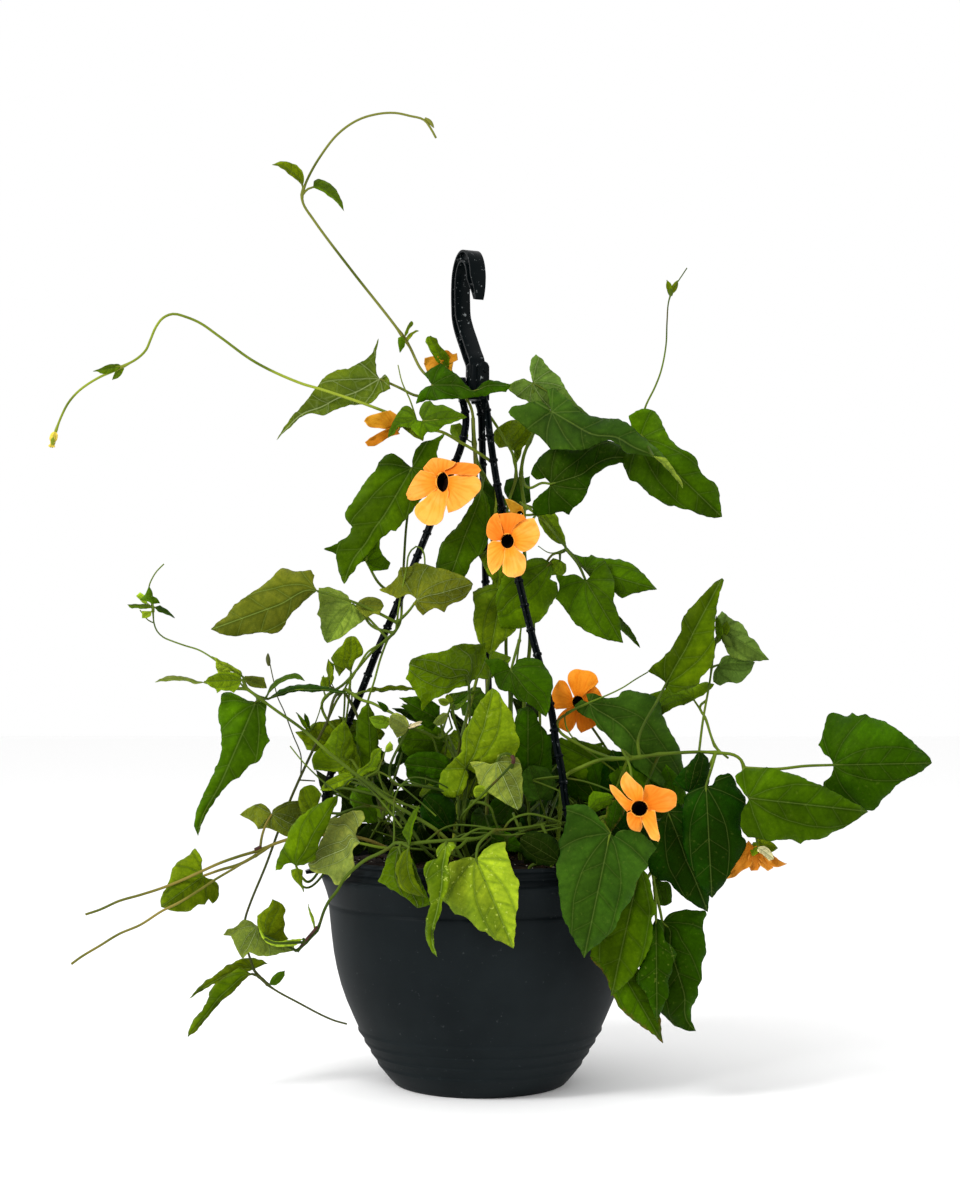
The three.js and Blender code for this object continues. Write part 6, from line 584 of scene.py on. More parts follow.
    "vine_rear_left": """
stem 1.8 1.1: 440,873,34 436,840,42 420,815,56 405,820,66 384,838,80 376,852,90;
stem 1.2 1: 405,820,66 412,835,86 418,848,102;
stem 1.1 .9: 420,815,56 418,806,58 420,796,58;
stem 1.2 .9: 436,840,42 450,826,46 462,822,48 462,812,48;
leaf rear_a shade 96,100,0,-5,-4: 372,866 352,938: 362,872 352,886 350,904 348,922: 384,872
  388,890 380,908 366,926: 384,838,80 376,852,92;
leaf rear_b dark 112,116,0,-5,-4: 420,858 430,935: 408,862 402,880 408,900 418,920: 432,862
  440,878 440,900 436,920: 412,835,86 418,848,104;
leaf rear_c mid 70,78,0,-4,-3: 398,800 350,796: 392,812 380,818 364,812: 392,788 378,782 362,786:
  405,820,66;
leaf rear_d shade 60,74,0,-4,-3: 425,788 430,730: 412,784 406,770 412,752 420,740: 438,784 446,768
  442,750 436,738: 418,806,58;
leaf rear_j olive 46,58,0,-4,-3: 462,800 448,746: 452,796 442,784 442,766: 474,796 478,778
  466,758: 462,822,48;
hearts mid: 474,766,452,816,52,78,.9 440,796,418,838,46,74,.9 500,800,486,852,74,104,.9
  454,836,440,862,92,112,.9;
hearts bright: 462,788,440,822,78,96,.8 412,822,384,848,60,84,.7;
hearts leaf: 484,756,456,784,34,50,.8 436,826,408,858,82,104,.8;
""",
    "vine_rear_right": """
stem 1.8 1.1: 540,873,34 538,845,42 545,825,56 560,822,66 570,836,76;
stem 1.2 1: 538,845,42 530,835,66 526,835,86;
stem 1.2 1: 545,825,56 520,818,54 508,812,54;
stem 1.1 .9: 560,822,66 600,815,66 620,820,64;
leaf rear_e leaf 112,116,0,-5,-4: 530,862 520,940: 518,866 510,884 512,904 514,922: 544,868
  550,886 544,906 532,924: 524,835,88 530,850,104;
leaf rear_f leaf 84,92,0,-4,-3: 590,866 610,930: 580,874 578,890 590,908 600,920: 604,868 616,880
  620,900 616,916: 570,836,76 584,852,84;
leaf rear_g leaf 70,78,0,-4,-3: 560,800 610,770: 564,786 576,774 592,768: 572,808 588,806 602,790:
  548,822,64;
leaf rear_h mid 56,66,0,-4,-3: 500,790 492,724: 488,786 480,770 480,752 486,736: 512,788 520,772
  516,750 504,734: 508,812,54;
leaf rear_i leaf 60,66,0,-4,-3: 640,828 690,846: 644,816 658,810 676,818 686,832: 648,840 662,850
  680,852: 600,815,66;
hearts mid: 522,766,540,816,56,84,.9 560,792,590,832,54,80,.9 512,820,520,866,86,112,.9
  586,806,618,842,62,84,.9;
hearts leaf: 546,760,576,788,40,60,.8 548,826,570,862,76,104,.9;
hearts bright: 532,786,552,832,74,96,.8 600,836,622,866,74,92,.7;
""",
}

# The rows of a flower. The first: its hue, its vine, the column, row, half width, half height
# and depth of its eye, its face's slopes aside and upward; its stalk's route. Then for each
# petal: how light it is; its tip; its two edges.
FLOWERS = {
    "flower_a": """
golden vine_left_arm 442,482,6.2,10,-34,-.8,.1: 414,480,4 428,478,-7 464,481,-10;
.4: 427,463: 437,477 431,475 425,472 423,468: 444,471 452,467 455,463 448,460 440,458 432,458.5;
.15: 481,470: 446,470 455,464 462,462.5 470,463 477,465: 449,476 458,475.5 467,475 476,476;
.6: 475,496: 449,478 460,475.5 470,475 478,478 481,484 480,490: 446,490 446,498 447,506
  448.5,512.5 457,510 466,504;
.8: 436,525: 447,491 446,502 444,512 442,520: 434,490 425,499 416,506 414.5,512 419,520 427,525;
.55: 405,497: 437,476 429,473 421,471 415,477 409,487: 436,488 430,493 422,498 411,500.5;
""",
    "flower_b": """
golden vine_right_middle 507.5,541,6.3,7.3,-62,-.1,.15: 536,514,-10 530,524,-24 521,535,-38;
.15: 494,514: 503,536 501,526 500,519 497.5,513: 501,540 494,540 488,536 486.5,529 489,520;
.1: 511,512.5: 503,535 499,526 497.5,520 497.5,514: 510,534 513,528 520,522 526,519 524,515;
.75: 538.5,527: 511,535 514,528 520,522 526,519 534,518: 514,545 520,550 527,550 535,545 540,535;
.9: 515,577.5: 513,546 519,552 524,556 526,566 523,574: 506,548 505,556 503,564 502.5,572
  508,576.5;
.8: 492,574.5: 503,547 505,554 503,562 498,570: 501,542 494,541.5 489,545 487.5,555 488,566;
""",
    "flower_c": """
amber vine_right_middle 520,514,3,3,-30,0,0: 536,514,-10 530,515,-14 523,515,-20;
.9: 505,498.3: 519,515 512,512 507.5,505: 522,508 515,502.5 510,499.3;
.9: 523,508: 519,514 520,512: 523,512 524,510;
""",
    "flower_d": """
deep vine_front_right 578,702,5.5,6,-45,0,.1: 625,781,-44 606,748,-26 584,716,-26;
.6: 552,700: 573,700 569,688 564,681 559,680 555,686 552,693: 574,705 565,708 556,709.5 553,706;
.7: 583,670: 576,697 571,688 568,681 568,675 571,671 576,669: 581,697 587,691 595,686 598.5,682
  596,675 590,671;
.5: 602,696: 581,698 588,691 595,686 599,690: 583,704 592,706 600,703;
.2: 590,729: 582,706 590,712 597,720 597,725: 578,708 577,717 577,727 581,733;
.4: 563,730: 577,708 577,717 574,727 569,733: 574,706 564,711 557,719 557,727;
""",
    "flower_e": """
golden vine_right 639.5,808.7,8.2,7.8,-104,0,-.1: 632,758,-62 622,750,-72 626,757,-78 630,767,-84
  632,782,-88 636,798,-88;
.65: 626.5,771.5: 635,801 629,797 623,790 620.5,784 621.5,778: 641.5,800 642.5,793 642,788 635,781
  630,775.5;
.6: 609.5,785: 631,809 628,811 619,802 614,796 610.5,790: 634,803 628,800 624,796 619,790
  613,785.5;
.35: 677,799: 643,801 643.5,796 645.5,786.5 651,785.5 660,787.5 672,790.5 676,794: 648,808.5
  655,810.5 662,812 669,811 676,806;
.9: 658.5,841.5: 647,810 654,811 656,820 658.5,831 660,838: 641,816 643,821 647,831 651.5,839;
.5: 640,832: 640,817 642.5,826: 631.5,812 628.5,813 627.5,820 629,827 632,830;
""",
    "flower_f": """
rust vine_right 757,850,3,3,-90,0,0: 744,768,-70 752,790,-66 757,815,-70 758,840,-78;
.75: 727,879: 750,842 743,850 737,860 731,871: 755,854 749,866 742,870.5 734,877;
.5: 751,871: 752,853 748,862: 762,853 762,862 758,870;
.6: 787,864: 764,848 773,856 781,861: 758,855 768,865 778,867;
.8: 768,871: 758,853 760,864: 764,853 772,862 773,868;
""",
    "flower_g": """
amber vine_left_tendril 395,427,3,3,-21,0,0: 424,428,-17 412,424,-14 402,426,-14;
.45: 364,421: 397,417 390,411.5 380,413 368,416.5: 389,428 380,427.5 370,427;
.1: 365,442: 388,430 382,432 373,436.5: 399,432 389,436 381,442 375,446 368,446;
""",
    "flower_h": """
amber vine_top 442,357,3,3,-6,0,0: 455,388,-9 454,376,-2 447,365,2;
.4: 424,364: 438,357 430,357 425,358: 441,365 434,371 427,372;
.3: 457,353: 443,352 448,351 453,354: 447,362 453,362 458,360;
.6: 452,371: 446,357 453,362: 442,364 448,371;
""",
}

# ---- tones -------------------------------------------------------------------------------
TONES = {
    "night": "072801", "shade": "193500", "dark": "224000", "cool": "2a470f",
    "leaf": "324e01", "mid": "405802", "bright": "536405", "pale": "535b15",
    "silver": "6b782b", "olive": "61770c", "lime": "7a8f1c", "fresh": "4b6326",
    # deep is a near-black green for leaves in the shaded hollows of the clump: painted shadow.
    "pewter": "768038", "cream": "b7b48c", "dry": "b8a344", "deep": "0c1c02",
    "moss": "4a540f", "straw": "a3b22c",
}


def linear(code):
    """A colour written as six hex digits, as linear light."""
    shares = [int(code[i:i + 2], 16) / 255 for i in (0, 2, 4)]
    return tuple(s / 12.92 if s < 0.04045 else ((s + 0.055) / 1.055) ** 2.4 for s in shares)


# ---- shader expressions ------------------------------------------------------------------
class Signal:
    """A socket of a material, so that shader maths reads as an expression."""

    def __init__(self, finish, socket):
        self.finish = finish
        self.socket = socket

    def maths(self, operation, *others):
        inputs = dict(enumerate((self, *others)))
        return self.finish.node("Math", {"operation": operation}, inputs)

    __add__ = __radd__ = partialmethod(maths, "ADD")
    __mul__ = __rmul__ = partialmethod(maths, "MULTIPLY")
    __sub__ = partialmethod(maths, "SUBTRACT")
    __truediv__ = partialmethod(maths, "DIVIDE")
    __abs__ = partialmethod(maths, "ABSOLUTE")
    either = partialmethod(maths, "MAXIMUM")

    def __rsub__(self, other):
        return self.finish.node("Math", {"operation": "SUBTRACT"}, {0: other, 1: self})

    def fade(self, start, end):
        """0 before start, 1 after end, smooth between."""
        return self.finish.node("MapRange", {"interpolation_type": "SMOOTHSTEP"},
                                {"Value": self, "From Min": start, "From Max": end})


class Finish:
    """A material and short ways to add nodes to it."""

    def __init__(self, name, rough):
        self.material = bpy.data.materials.new(name)
        self.material.use_nodes = True
        self.tree = self.material.node_tree
        self.shader = self.tree.nodes["Principled BSDF"]
        self.shader.inputs["Roughness"].default_value = rough

    def put(self, value, socket):
        if isinstance(value, Signal):
            self.tree.links.new(value.socket, socket)
        else:
            socket.default_value = (*value, 1) if socket.type == "RGBA" else value

    def node(self, kind, settings, values, *outputs):
        """A new node; gives its first output, or those that are asked for."""
        made = self.tree.nodes.new("ShaderNode" + kind)
        for key, value in settings.items():
            setattr(made, key, value)
        for key, value in values.items():
            self.put(value, made.inputs[key])
        signals = [Signal(self, made.outputs[key]) for key in outputs or (0,)]
        return signals if len(signals) > 1 else signals[0]

    def noise(self, scale, detail=2, rough=0.5, where=None):
        where = where or self.node("TexCoord", {}, {}, "Object")
        return self.node("TexNoise", {}, {"Vector": where, "Scale": scale, "Detail": detail,
                                          "Roughness": rough})

    def point(self, *axes):
        return self.node("CombineXYZ", {}, dict(enumerate(axes)))

    def tint(self):
        """The colour that a sheet's knots carry; on a leaf it includes painted light and shade.
        """
        return self.node("Attribute", {"attribute_name": "tint"}, {})

    def traits(self):
        """The four shares that a sheet's knots carry."""
        colour, last = self.node("Attribute", {"attribute_name": "traits"}, {}, "Color", "Alpha")
        return [*self.node("SeparateColor", {}, {0: colour}, 0, 1, 2), last]

    def mix(self, factor, first, second, blend="MIX"):
        settings = {"data_type": "RGBA", "blend_type": blend, "clamp_factor": True}
        return self.node("Mix", settings, {0: factor, 6: first, 7: second}, 2)

    def washed(self, colour, washes):
        """The colour multiplied by each wash to its share."""
        for share, wash in washes:
            colour = self.mix(share, colour, wash, "MULTIPLY")
        return colour

    def shade(self, colour, rough=None, height=None, bump=0.2, depth=0.0003, **fixed):
        """Links what varies to the shader and sets what doesn't; bump's depth is in metres."""
        inputs = self.shader.inputs
        self.put(colour, inputs["Base Color"])
        if rough is not None:
            self.put(rough, inputs["Roughness"])
        if height is not None:
            values = {"Strength": bump, "Distance": depth, "Height": height}
            self.put(self.node("Bump", {}, values), inputs["Normal"])
        for key, value in fixed.items():
            inputs[key.replace("_", " ")].default_value = value
        return self.material


# ---- finishes ----------------------------------------------------------------------------
# A leaf's veins, in its own frame: x along the rib and y across it, both in leaf lengths.
BASE_VEINS = (0.62, 1.3, 2.05)   # the angles at which the side veins leave the joint
VEIN_BEND = 0.55                 # how they bend toward the tip
PITCH = 0.235                    # spacing of the veins along the rib
VEIN_LEAN = 0.8                  # how far those veins run forward as they run out
VEIN_CURL = 0.35                 # and how they straighten
SQUARE = 0.8                     # a step along the rib, measured square to a vein


def vein_line(x, y):
    """Counts the veins along the rib: a whole number lies on a vein."""
    return (x - VEIN_LEAN * y + VEIN_CURL * y * y) / PITCH


def vein_gap(x, y):
    """Distance to the nearest vein, in leaf lengths."""
    y = abs(y)
    far = math.hypot(x, y)
    turn = math.atan2(y, x) + VEIN_BEND * far
    gap = min([y if x > 0 else far] + [far * abs(turn - a) for a in BASE_VEINS])
    if turn < BASE_VEINS[0]:
        gap = min(gap, abs((vein_line(x, y) + 0.5) % 1 - 0.5) * PITCH * SQUARE)
    return gap


def leaf_finish(name, vein_code, vein_force, threads, sunk, pillow):
    """One face of the leaves: veins, the net between them, blotches, flecks and margin, with
    painted shade in the vein furrows, along the net and in the crinkles' hollows, and painted
    light on the crinkles' crests.
    """
    made = Finish(name, 0.5)
    flat = made.node("UVMap", {"uv_map": "leaf"}, {})
    along, across = made.node("SeparateXYZ", {}, {0: flat}, 0, 1)
    x = along + (made.noise(45) - 0.5) * 0.05
    y = abs(across + (made.noise(38) - 0.5) * 0.04)
    far = (x * x + y * y).maths("SQRT")
    turn = y.maths("ARCTAN2", x) + VEIN_BEND * far
    side_gap = abs((vein_line(x, y) + 0.5).maths("FRACT") - 0.5) * (PITCH * SQUARE)
    inner = 1 - turn.fade(BASE_VEINS[0] - 0.03, BASE_VEINS[0])
    rib = abs(across).fade(0.008, 0.002)
    side = side_gap.fade(0.006, 0.001) * inner * 0.5
    # Painted shade: darker in the furrows along the rib and the veins.
    painted_furrow_shade = abs(across).fade(0.035, 0.0).either(side_gap.fade(0.03, 0.0) * inner * 0.7)
    for angle in BASE_VEINS:
        gap = far * abs(turn - angle)
        side = side.either(gap.fade(0.007, 0.001) * 0.75)
        painted_furrow_shade = painted_furrow_shade.either(gap.fade(0.035, 0.0) * 0.8)
    rungs = made.point(x * 26 - y * 18, across * 6, made.noise(3))
    ladder = made.noise(1.0, 1, 0.4, rungs)
    knots = made.point(x * 38, across * 38, made.noise(6))
    crinkle = made.noise(1.0, 3, 0.65, knots)
    net = made.node("TexVoronoi", {"feature": "DISTANCE_TO_EDGE"},
                    {"Vector": flat, "Scale": 8, "Randomness": 1.0})
    swell = net.fade(0.0, 0.3)
    broad = made.noise(38, 3, 0.6)
    fine = made.noise(420, 2, 0.6)
    force, fleck, edge, margin = made.traits()
    vein_tint = linear(vein_code)
    # Painted light and shade: the tint carries the painted light of the leaf's halves and folds,
    # the crinkles are lighter on their crests and darker in their hollows, and the vein furrows
    # are darker.
    colour = made.washed(made.tint(), [
        (broad.fade(0.45, 0.75) * 0.7, (1.9, 1.8, 1.5)),
        (crinkle.fade(0.5, 0.75) * 0.5, (1.5, 1.4, 1.3)),
        (crinkle.fade(0.5, 0.25) * 0.5, (0.55, 0.65, 0.7)),
        (margin * 0.5, (1.7, 1.6, 1.5)),
        (made.noise(21).fade(0.58, 0.32) * 0.6, (0.35, 0.5, 0.6)),
        (ladder.fade(0.4, 0.8) * 0.4, (1.6, 1.5, 1.3)),
        (painted_furrow_shade * 0.6, linear("7a9468")),
    ])
    colour = made.mix(net.fade(0.05, 0.0) * force * threads, colour, vein_tint)
    # Painted shade along the net's lines, between the quilted cells.
    colour = made.washed(colour, [((1 - swell) * (force + 0.3) * 0.6, (0.72, 0.78, 0.65))])
    colour = made.mix(side * force * vein_force, colour, vein_tint)
    colour = made.mix(rib * force * vein_force * 1.1, colour, vein_tint)
    colour = made.mix(fine.fade(0.62, 0.72) * fleck, colour, linear("b9c659"))
    colour = made.mix(edge * fine.fade(0.35, 0.6), colour, linear("6b4d22"))
    height = sunk * rib.either(side) + ladder * 0.5 + swell * pillow
    height = height + crinkle * 0.9 + fine * 0.2
    return made.shade(colour, 0.44 + 0.18 * broad, height, 0.5, 0.0006,
                      Specular_IOR_Level=0.12, Specular_Tint=(0.55, 0.75, 0.05, 1))


def stem_finish(name, first, second):
    made = Finish(name, 0.55)
    broad = made.noise(24, 3)
    fine = made.noise(900)
    green = made.mix(broad.fade(0.35, 0.62), linear(first), linear(second))
    ruddy = made.mix(made.noise(55).fade(0.6, 0.75) * 0.5, green, linear("4d3a12"))
    return made.shade(ruddy, 0.5 + 0.15 * fine, fine, 0.3, 0.0002, Specular_IOR_Level=0.1)


def petal_finish(name, near, out, edge):
    """A petal: a deeper orange near the eye, darkened further there by a painted shadow, streaked
    along its rays, folded with painted shade in the folds, and pale at the rim.
    """
    made = Finish(name, 0.6)
    reach, rays, rim, _ = made.traits()
    streak = made.noise(1.0, 3, 0.6, made.point(reach * 1.5, rays * 30, rim))
    broad = made.noise(90, 3)
    fold = made.noise(1.0, 2, 0.5, made.point(reach * 2, rays * 7))
    colour = made.mix(reach.fade(0.0, 0.9), linear(near), linear(out))
    colour = made.mix(rim.fade(0.72, 1) * 0.55, colour, linear(edge))
    colour = made.mix(streak.fade(0.42, 0.75) * 0.35, colour, linear(near))
    colour = made.mix(broad.fade(0.5, 0.7) * 0.2, colour, linear(edge))
    # Painted shade: darker where the folds dip, and a painted shadow near the eye.
    colour = made.washed(colour, [
        (1.0, made.tint()),
        (fold.fade(0.55, 0.35) * 0.5, (0.9, 0.66, 0.3)),
        (reach.fade(0.22, 0.03) * 0.6, (0.95, 0.7, 0.35)),
    ])
    dark = 1 - (reach + streak * 0.05).fade(0.015, 0.05)
    colour = made.mix(dark, colour, linear("0a0103"))
    height = streak * 0.8 + broad * 0.5 + fold
    return made.shade(colour, 0.55, height, 0.45, 0.0005, Specular_IOR_Level=0.15,
                      Specular_Tint=(1, 0.7, 0.3, 1))


def plastic_finish(name, base, worn, rough, dust, shine):
    """Moulded black plastic with a fine grain and specks of lime."""
    made = Finish(name, rough)
    broad = made.noise(9, 4, 0.6)
    grain = made.noise(1500, 1)
    speck = made.noise(330, 3, 0.7)
    colour = made.mix(broad.fade(0.35, 0.7), linear(base), linear(worn))
    lime = speck.fade(0.66 - 0.07 * dust, 0.76 - 0.07 * dust)
    colour = made.mix(lime * dust, colour, linear("9aa0a0"))
    height = grain * 0.5 + speck * 0.5
    return made.shade(colour, rough + 0.14 * broad, height, 0.12, 0.0003,
                      Specular_IOR_Level=shine)


def soil_finish():
    made = Finish("potting_soil", 0.95)
    broad = made.noise(120, 4, 0.7)
    fine = made.noise(700, 4, 0.7)
    colour = made.mix(broad.fade(0.35, 0.65), linear("0c0704"), linear("22160c"))
    colour = made.mix(fine.fade(0.62, 0.78) * 0.5, colour, linear("4a3a26"))
    return made.shade(colour, None, fine + broad, 0.9, 0.001, Specular_IOR_Level=0.1)


def plain_finish(name, first, second, scale, rough, bump=0.3, shine=0.2):
    """Two tones in blotches, for the small pieces."""
    made = Finish(name, rough)
    broad = made.noise(scale, 4, 0.6)
    colour = made.mix(broad.fade(0.35, 0.65), linear(first), linear(second))
    return made.shade(colour, rough + 0.1 * broad, broad, bump, 0.0005,
                      Specular_IOR_Level=shine)


LEAF_TOP = leaf_finish("leaf_upper", "88a04a", 0.36, threads=0.0, sunk=-0.9, pillow=0.5)
LEAF_UNDER = leaf_finish("leaf_lower", "a9b678", 0.58, threads=0.16, sunk=1.2, pillow=-0.9)
STEMS = {name: stem_finish(name, *codes) for name, codes in {
    "stem": ("35470a", "5a6e16"),
    "tan_stem": ("4a5210", "7c7030"),
    "dark_stem": ("2c3512", "434820"),
    "shaded_stem": ("2a3c08", "43560f"),
    "olive_stem": ("46520f", "6b6f2a"),
    "yellow_stem": ("4a5c0c", "87952a"),
}.items()}
NODE = plain_finish("stem_node", "2a120e", "44281c", 200, 0.6)
PETALS = {hue: petal_finish("petal_" + hue, *codes) for hue, codes in {
    "golden": ("e0841c", "eda03c", "f4b660"),
    "deep": ("c8700a", "d8841a", "e09a30"),
    "amber": ("9c6c08", "b4861a", "cca040"),
    "rust": ("a3620c", "c47f22", "d79c3e"),
}.items()}
THROAT = plain_finish("flower_throat", "040001", "0a0204", 300, 0.9, shine=0.0)
POT_PLASTIC = plastic_finish("pot_charcoal", "0c1214", "161c1e", 0.5, dust=0.08, shine=0.07)
HANGER_PLASTIC = plastic_finish("hanger_black", "010506", "04090b", 0.28, dust=0.57, shine=0.05)
SOIL = soil_finish()
BARK = plain_finish("bark_chip", "140b05", "38230f", 300, 0.9, 0.8)
PERLITE = plain_finish("perlite", "8d8a80", "c2beb2", 500, 0.9, 0.6)


# ---- shapes ------------------------------------------------------------------------------
def soft_line(points, step, corner):
    """A smooth line through the points, with a kink kept where it turns by more than corner."""
    ways = [(b - a).normalized() for a, b in zip(points, points[1:])]
    line = [points[0].copy()]
    for i, (start, end) in enumerate(zip(points, points[1:])):
        leave = arrive = ways[i]
        if i > 0 and ways[i - 1].angle(ways[i], 0) < corner:
            leave = (ways[i - 1] + ways[i]).normalized()
        if i < len(ways) - 1 and ways[i].angle(ways[i + 1], 0) < corner:
            arrive = (ways[i] + ways[i + 1]).normalized()
        far = (end - start).length
        count = max(1, round(far / step))
        for k in range(1, count + 1):
            t = k / count
            line.append(start * (2 * t**3 - 3 * t**2 + 1) + end * (3 * t**2 - 2 * t**3)
                        + leave * far * (t**3 - 2 * t**2 + t) + arrive * far * (t**3 - t**2))
    return line


def show(name, data):
    """A new object in the scene."""
    made = bpy.data.objects.new(name, data)
    bpy.context.scene.collection.objects.link(made)
    return made


def settled(piece):
    """A new mesh of the piece as its modifiers or its bevel leave it."""
    return bpy.data.meshes.new_from_object(
        piece.evaluated_get(bpy.context.evaluated_depsgraph_get()))


def mesh_of(shape, name):
    """A bmesh as a mesh; the bmesh is used up."""
    mesh = bpy.data.meshes.new(name)
    shape.to_mesh(mesh)
    shape.free()
    return mesh


def add_to(shape, part):
    mesh = mesh_of(part, "part")
    shape.from_mesh(mesh)
    bpy.data.meshes.remove(mesh)


def piece_of(mesh, name, finishes, slot, *nodes, smooth=True, thick=None):
    """A piece from a mesh, with its finishes and the nodes it stands for; slot is not used.

    thick makes it a sheet of that many mm, whose far side has the last finish."""
    mesh.name = name
    mesh.materials.clear()
    for finish in finishes:
        mesh.materials.append(finish)
    mesh.shade_smooth() if smooth else mesh.shade_flat()
    piece = show(name, mesh)
    if thick:
        wall = piece.modifiers.new("thickness", "SOLIDIFY")
        wall.thickness = thick * MM
        wall.offset = -1    # away from the side in view
        wall.material_offset = len(finishes) - 1
    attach(piece, "root")
    if nodes:
        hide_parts(*nodes)
    return piece


def piece_from(shape, name, *looks, **options):
    """A piece from a bmesh."""
    return piece_of(mesh_of(shape, name), name, *looks, **options)


def plus_shape(rib):
    """A flat cross of unit reach, as the profile of a ribbed rod."""
    flat = bpy.data.curves.new("plus", "CURVE")
    flat.dimensions = "2D"
    ring = flat.splines.new("POLY")
    quarter = [(1, -rib), (1, rib), (rib, rib)]
    corners = []
    for _ in range(4):
        corners += quarter
        quarter = [(-y, x) for x, y in quarter]
    ring.points.add(len(corners) - 1)
    for knot, (x, y) in zip(ring.points, corners):
        knot.co = (x, y, 0, 1)
    ring.use_cyclic_u = True
    return show("plus", flat)


def tubes_piece(runs, name, finish, slot, *nodes, sides=2, cross=None):
    """One mesh of tubes, round or ribbed: each run is its points and its radii, in metres."""
    curve = bpy.data.curves.new(name, "CURVE")
    curve.dimensions = "3D"
    if cross:
        profile = plus_shape(cross)
        curve.bevel_mode = "OBJECT"
        curve.bevel_object = profile
    else:
        curve.bevel_depth = 1
        curve.bevel_resolution = sides
    curve.use_fill_caps = True
    for points, radii in runs:
        line = curve.splines.new("POLY")
        line.points.add(len(points) - 1)
        for knot, point, radius in zip(line.points, points, radii):
            knot.co = (*point, 1)
            knot.radius = radius
    mesh = settled(show(name + "_line", curve))
    bpy.data.curves.remove(curve)
    if cross:
        bpy.data.curves.remove(profile.data)
    return piece_of(mesh, name, [finish], slot, *nodes, smooth=not cross)


def lathe(shape, profile, steps):
    """Turns a profile of (radius, height) in mm round the upright axis."""
    knots = [shape.verts.new((r * MM, 0, z * MM)) for r, z in profile]
    edges = [shape.edges.new(pair) for pair in zip(knots, knots[1:])]
    bmesh.ops.spin(shape, geom=knots + edges, cent=(0, 0, 0), axis=(0, 0, 1),
                   angle=2 * math.pi, steps=steps, use_merge=True)
    bmesh.ops.remove_doubles(shape, verts=shape.verts[:], dist=0.01 * MM)
    bmesh.ops.recalc_face_normals(shape, faces=shape.faces[:])


def slab(shape, outline, thick, seat, bevel):
    """An outline in its own plane, given a thickness and soft edges, then put in its seat."""
    part = bmesh.new()
    face = part.faces.new([part.verts.new((a * MM, 0, b * MM)) for a, b in outline])
    grown = bmesh.ops.extrude_face_region(part, geom=[face])
    moved = [v for v in grown["geom"] if isinstance(v, bmesh.types.BMVert)]
    bmesh.ops.translate(part, verts=moved, vec=(0, thick * MM, 0))
    bmesh.ops.translate(part, verts=part.verts[:], vec=(0, -thick * MM / 2, 0))
    bmesh.ops.recalc_face_normals(part, faces=part.faces[:])
    bmesh.ops.bevel(part, geom=part.edges[:], affect="EDGES", offset=bevel, segments=2,
                    profile=0.5, material=-1)
    bmesh.ops.transform(part, verts=part.verts[:], matrix=seat)
    add_to(shape, part)


# ---- sheets ------------------------------------------------------------------------------
class SheetFrame:
    """A sheet's own frame in the plan's plane: x runs from its joint to its tip, y across."""

    def __init__(self, joint, tip):
        self.joint = joint
        self.reach = (tip - joint).length
        self.ahead = (tip - joint) / self.reach
        self.aside = Vector((-self.ahead.y, self.ahead.x))

    def knots(self, text):
        moved = [sheet_spot(*p) - self.joint for p in numbers(text, 2)]
        return [Vector((d.dot(self.ahead), d.dot(self.aside))) for d in moved]

    def edge(self, text, step, corner):
        ends = Vector((0, 0)), Vector((self.reach, 0))
        return soft_line([ends[0], *self.knots(text), ends[1]], step, corner)


def even(*_):
    """The same everywhere."""
    return 1.0


def level(*_):
    """No height anywhere."""
    return 0.0


def new_sheet():
    """An empty bmesh, its leaf map and the tint and the traits of its knots."""
    part = bmesh.new()
    colours = part.verts.layers.float_color
    return part, part.loops.layers.uv.new("leaf"), colours.new("tint"), colours.new("traits")


def kdtree_of(ring):
    tree = KDTree(len(ring))
    for i, p in enumerate(ring):
        tree.insert((p.x, p.y, 0), i)
    tree.balance()
    return tree


def blade(shape, outline, cell, facing, locate, traits, tint, scale, middle=level, painted_light=even):
    """A thin sheet: the outline's face is cut into a net and each knot is then put in place.

    locate gives a knot's place and traits its paint, from its spot in the sheet's own frame and
    its distance from the edge. facing is 1 where the sheet's first side is the one in view,
    middle gives the height of the rib, and the last argument the painted light and shade, a
    factor on the sheet's tint."""
    part, flat, tints, facts = new_sheet()
    turning = sum(p.x * q.y - q.x * p.y for p, q in zip(outline, outline[1:] + outline[:1]))
    ring = outline if turning * facing > 0 else outline[::-1]
    part.faces.new([part.verts.new((p.x, p.y, 0)) for p in ring])
    edge = kdtree_of(ring)
    for axis, way in enumerate(((1, 0, 0), (0, 1, 0))):
        low = min(p[axis] for p in ring)
        high = max(p[axis] for p in ring)
        for k in range(1, math.ceil((high - low) / cell)):
            bmesh.ops.bisect_plane(part, geom=part.verts[:] + part.edges[:] + part.faces[:],
                                   dist=cell * 0.1, plane_no=way,
                                   plane_co=[(low + cell * k) * w for w in way])
    bmesh.ops.triangulate(part, faces=[f for f in part.faces if len(f.verts) > 4])
    for face in part.faces:
        for loop in face.loops:
            x, y = loop.vert.co.x, loop.vert.co.y
            loop[flat].uv = (x / scale, (y - middle(x)) / scale)
    for knot in part.verts:
        x, y = knot.co.x, knot.co.y
        gap = edge.find((x, y, 0))[2]
        # The knot's tint, multiplied by the painted light and shade.
        knot[tints] = (*[c * painted_light(x, y) for c in tint], 1)
        knot[facts] = traits(x, y, gap)
        knot.co = locate(x, y, gap)
    add_to(shape, part)


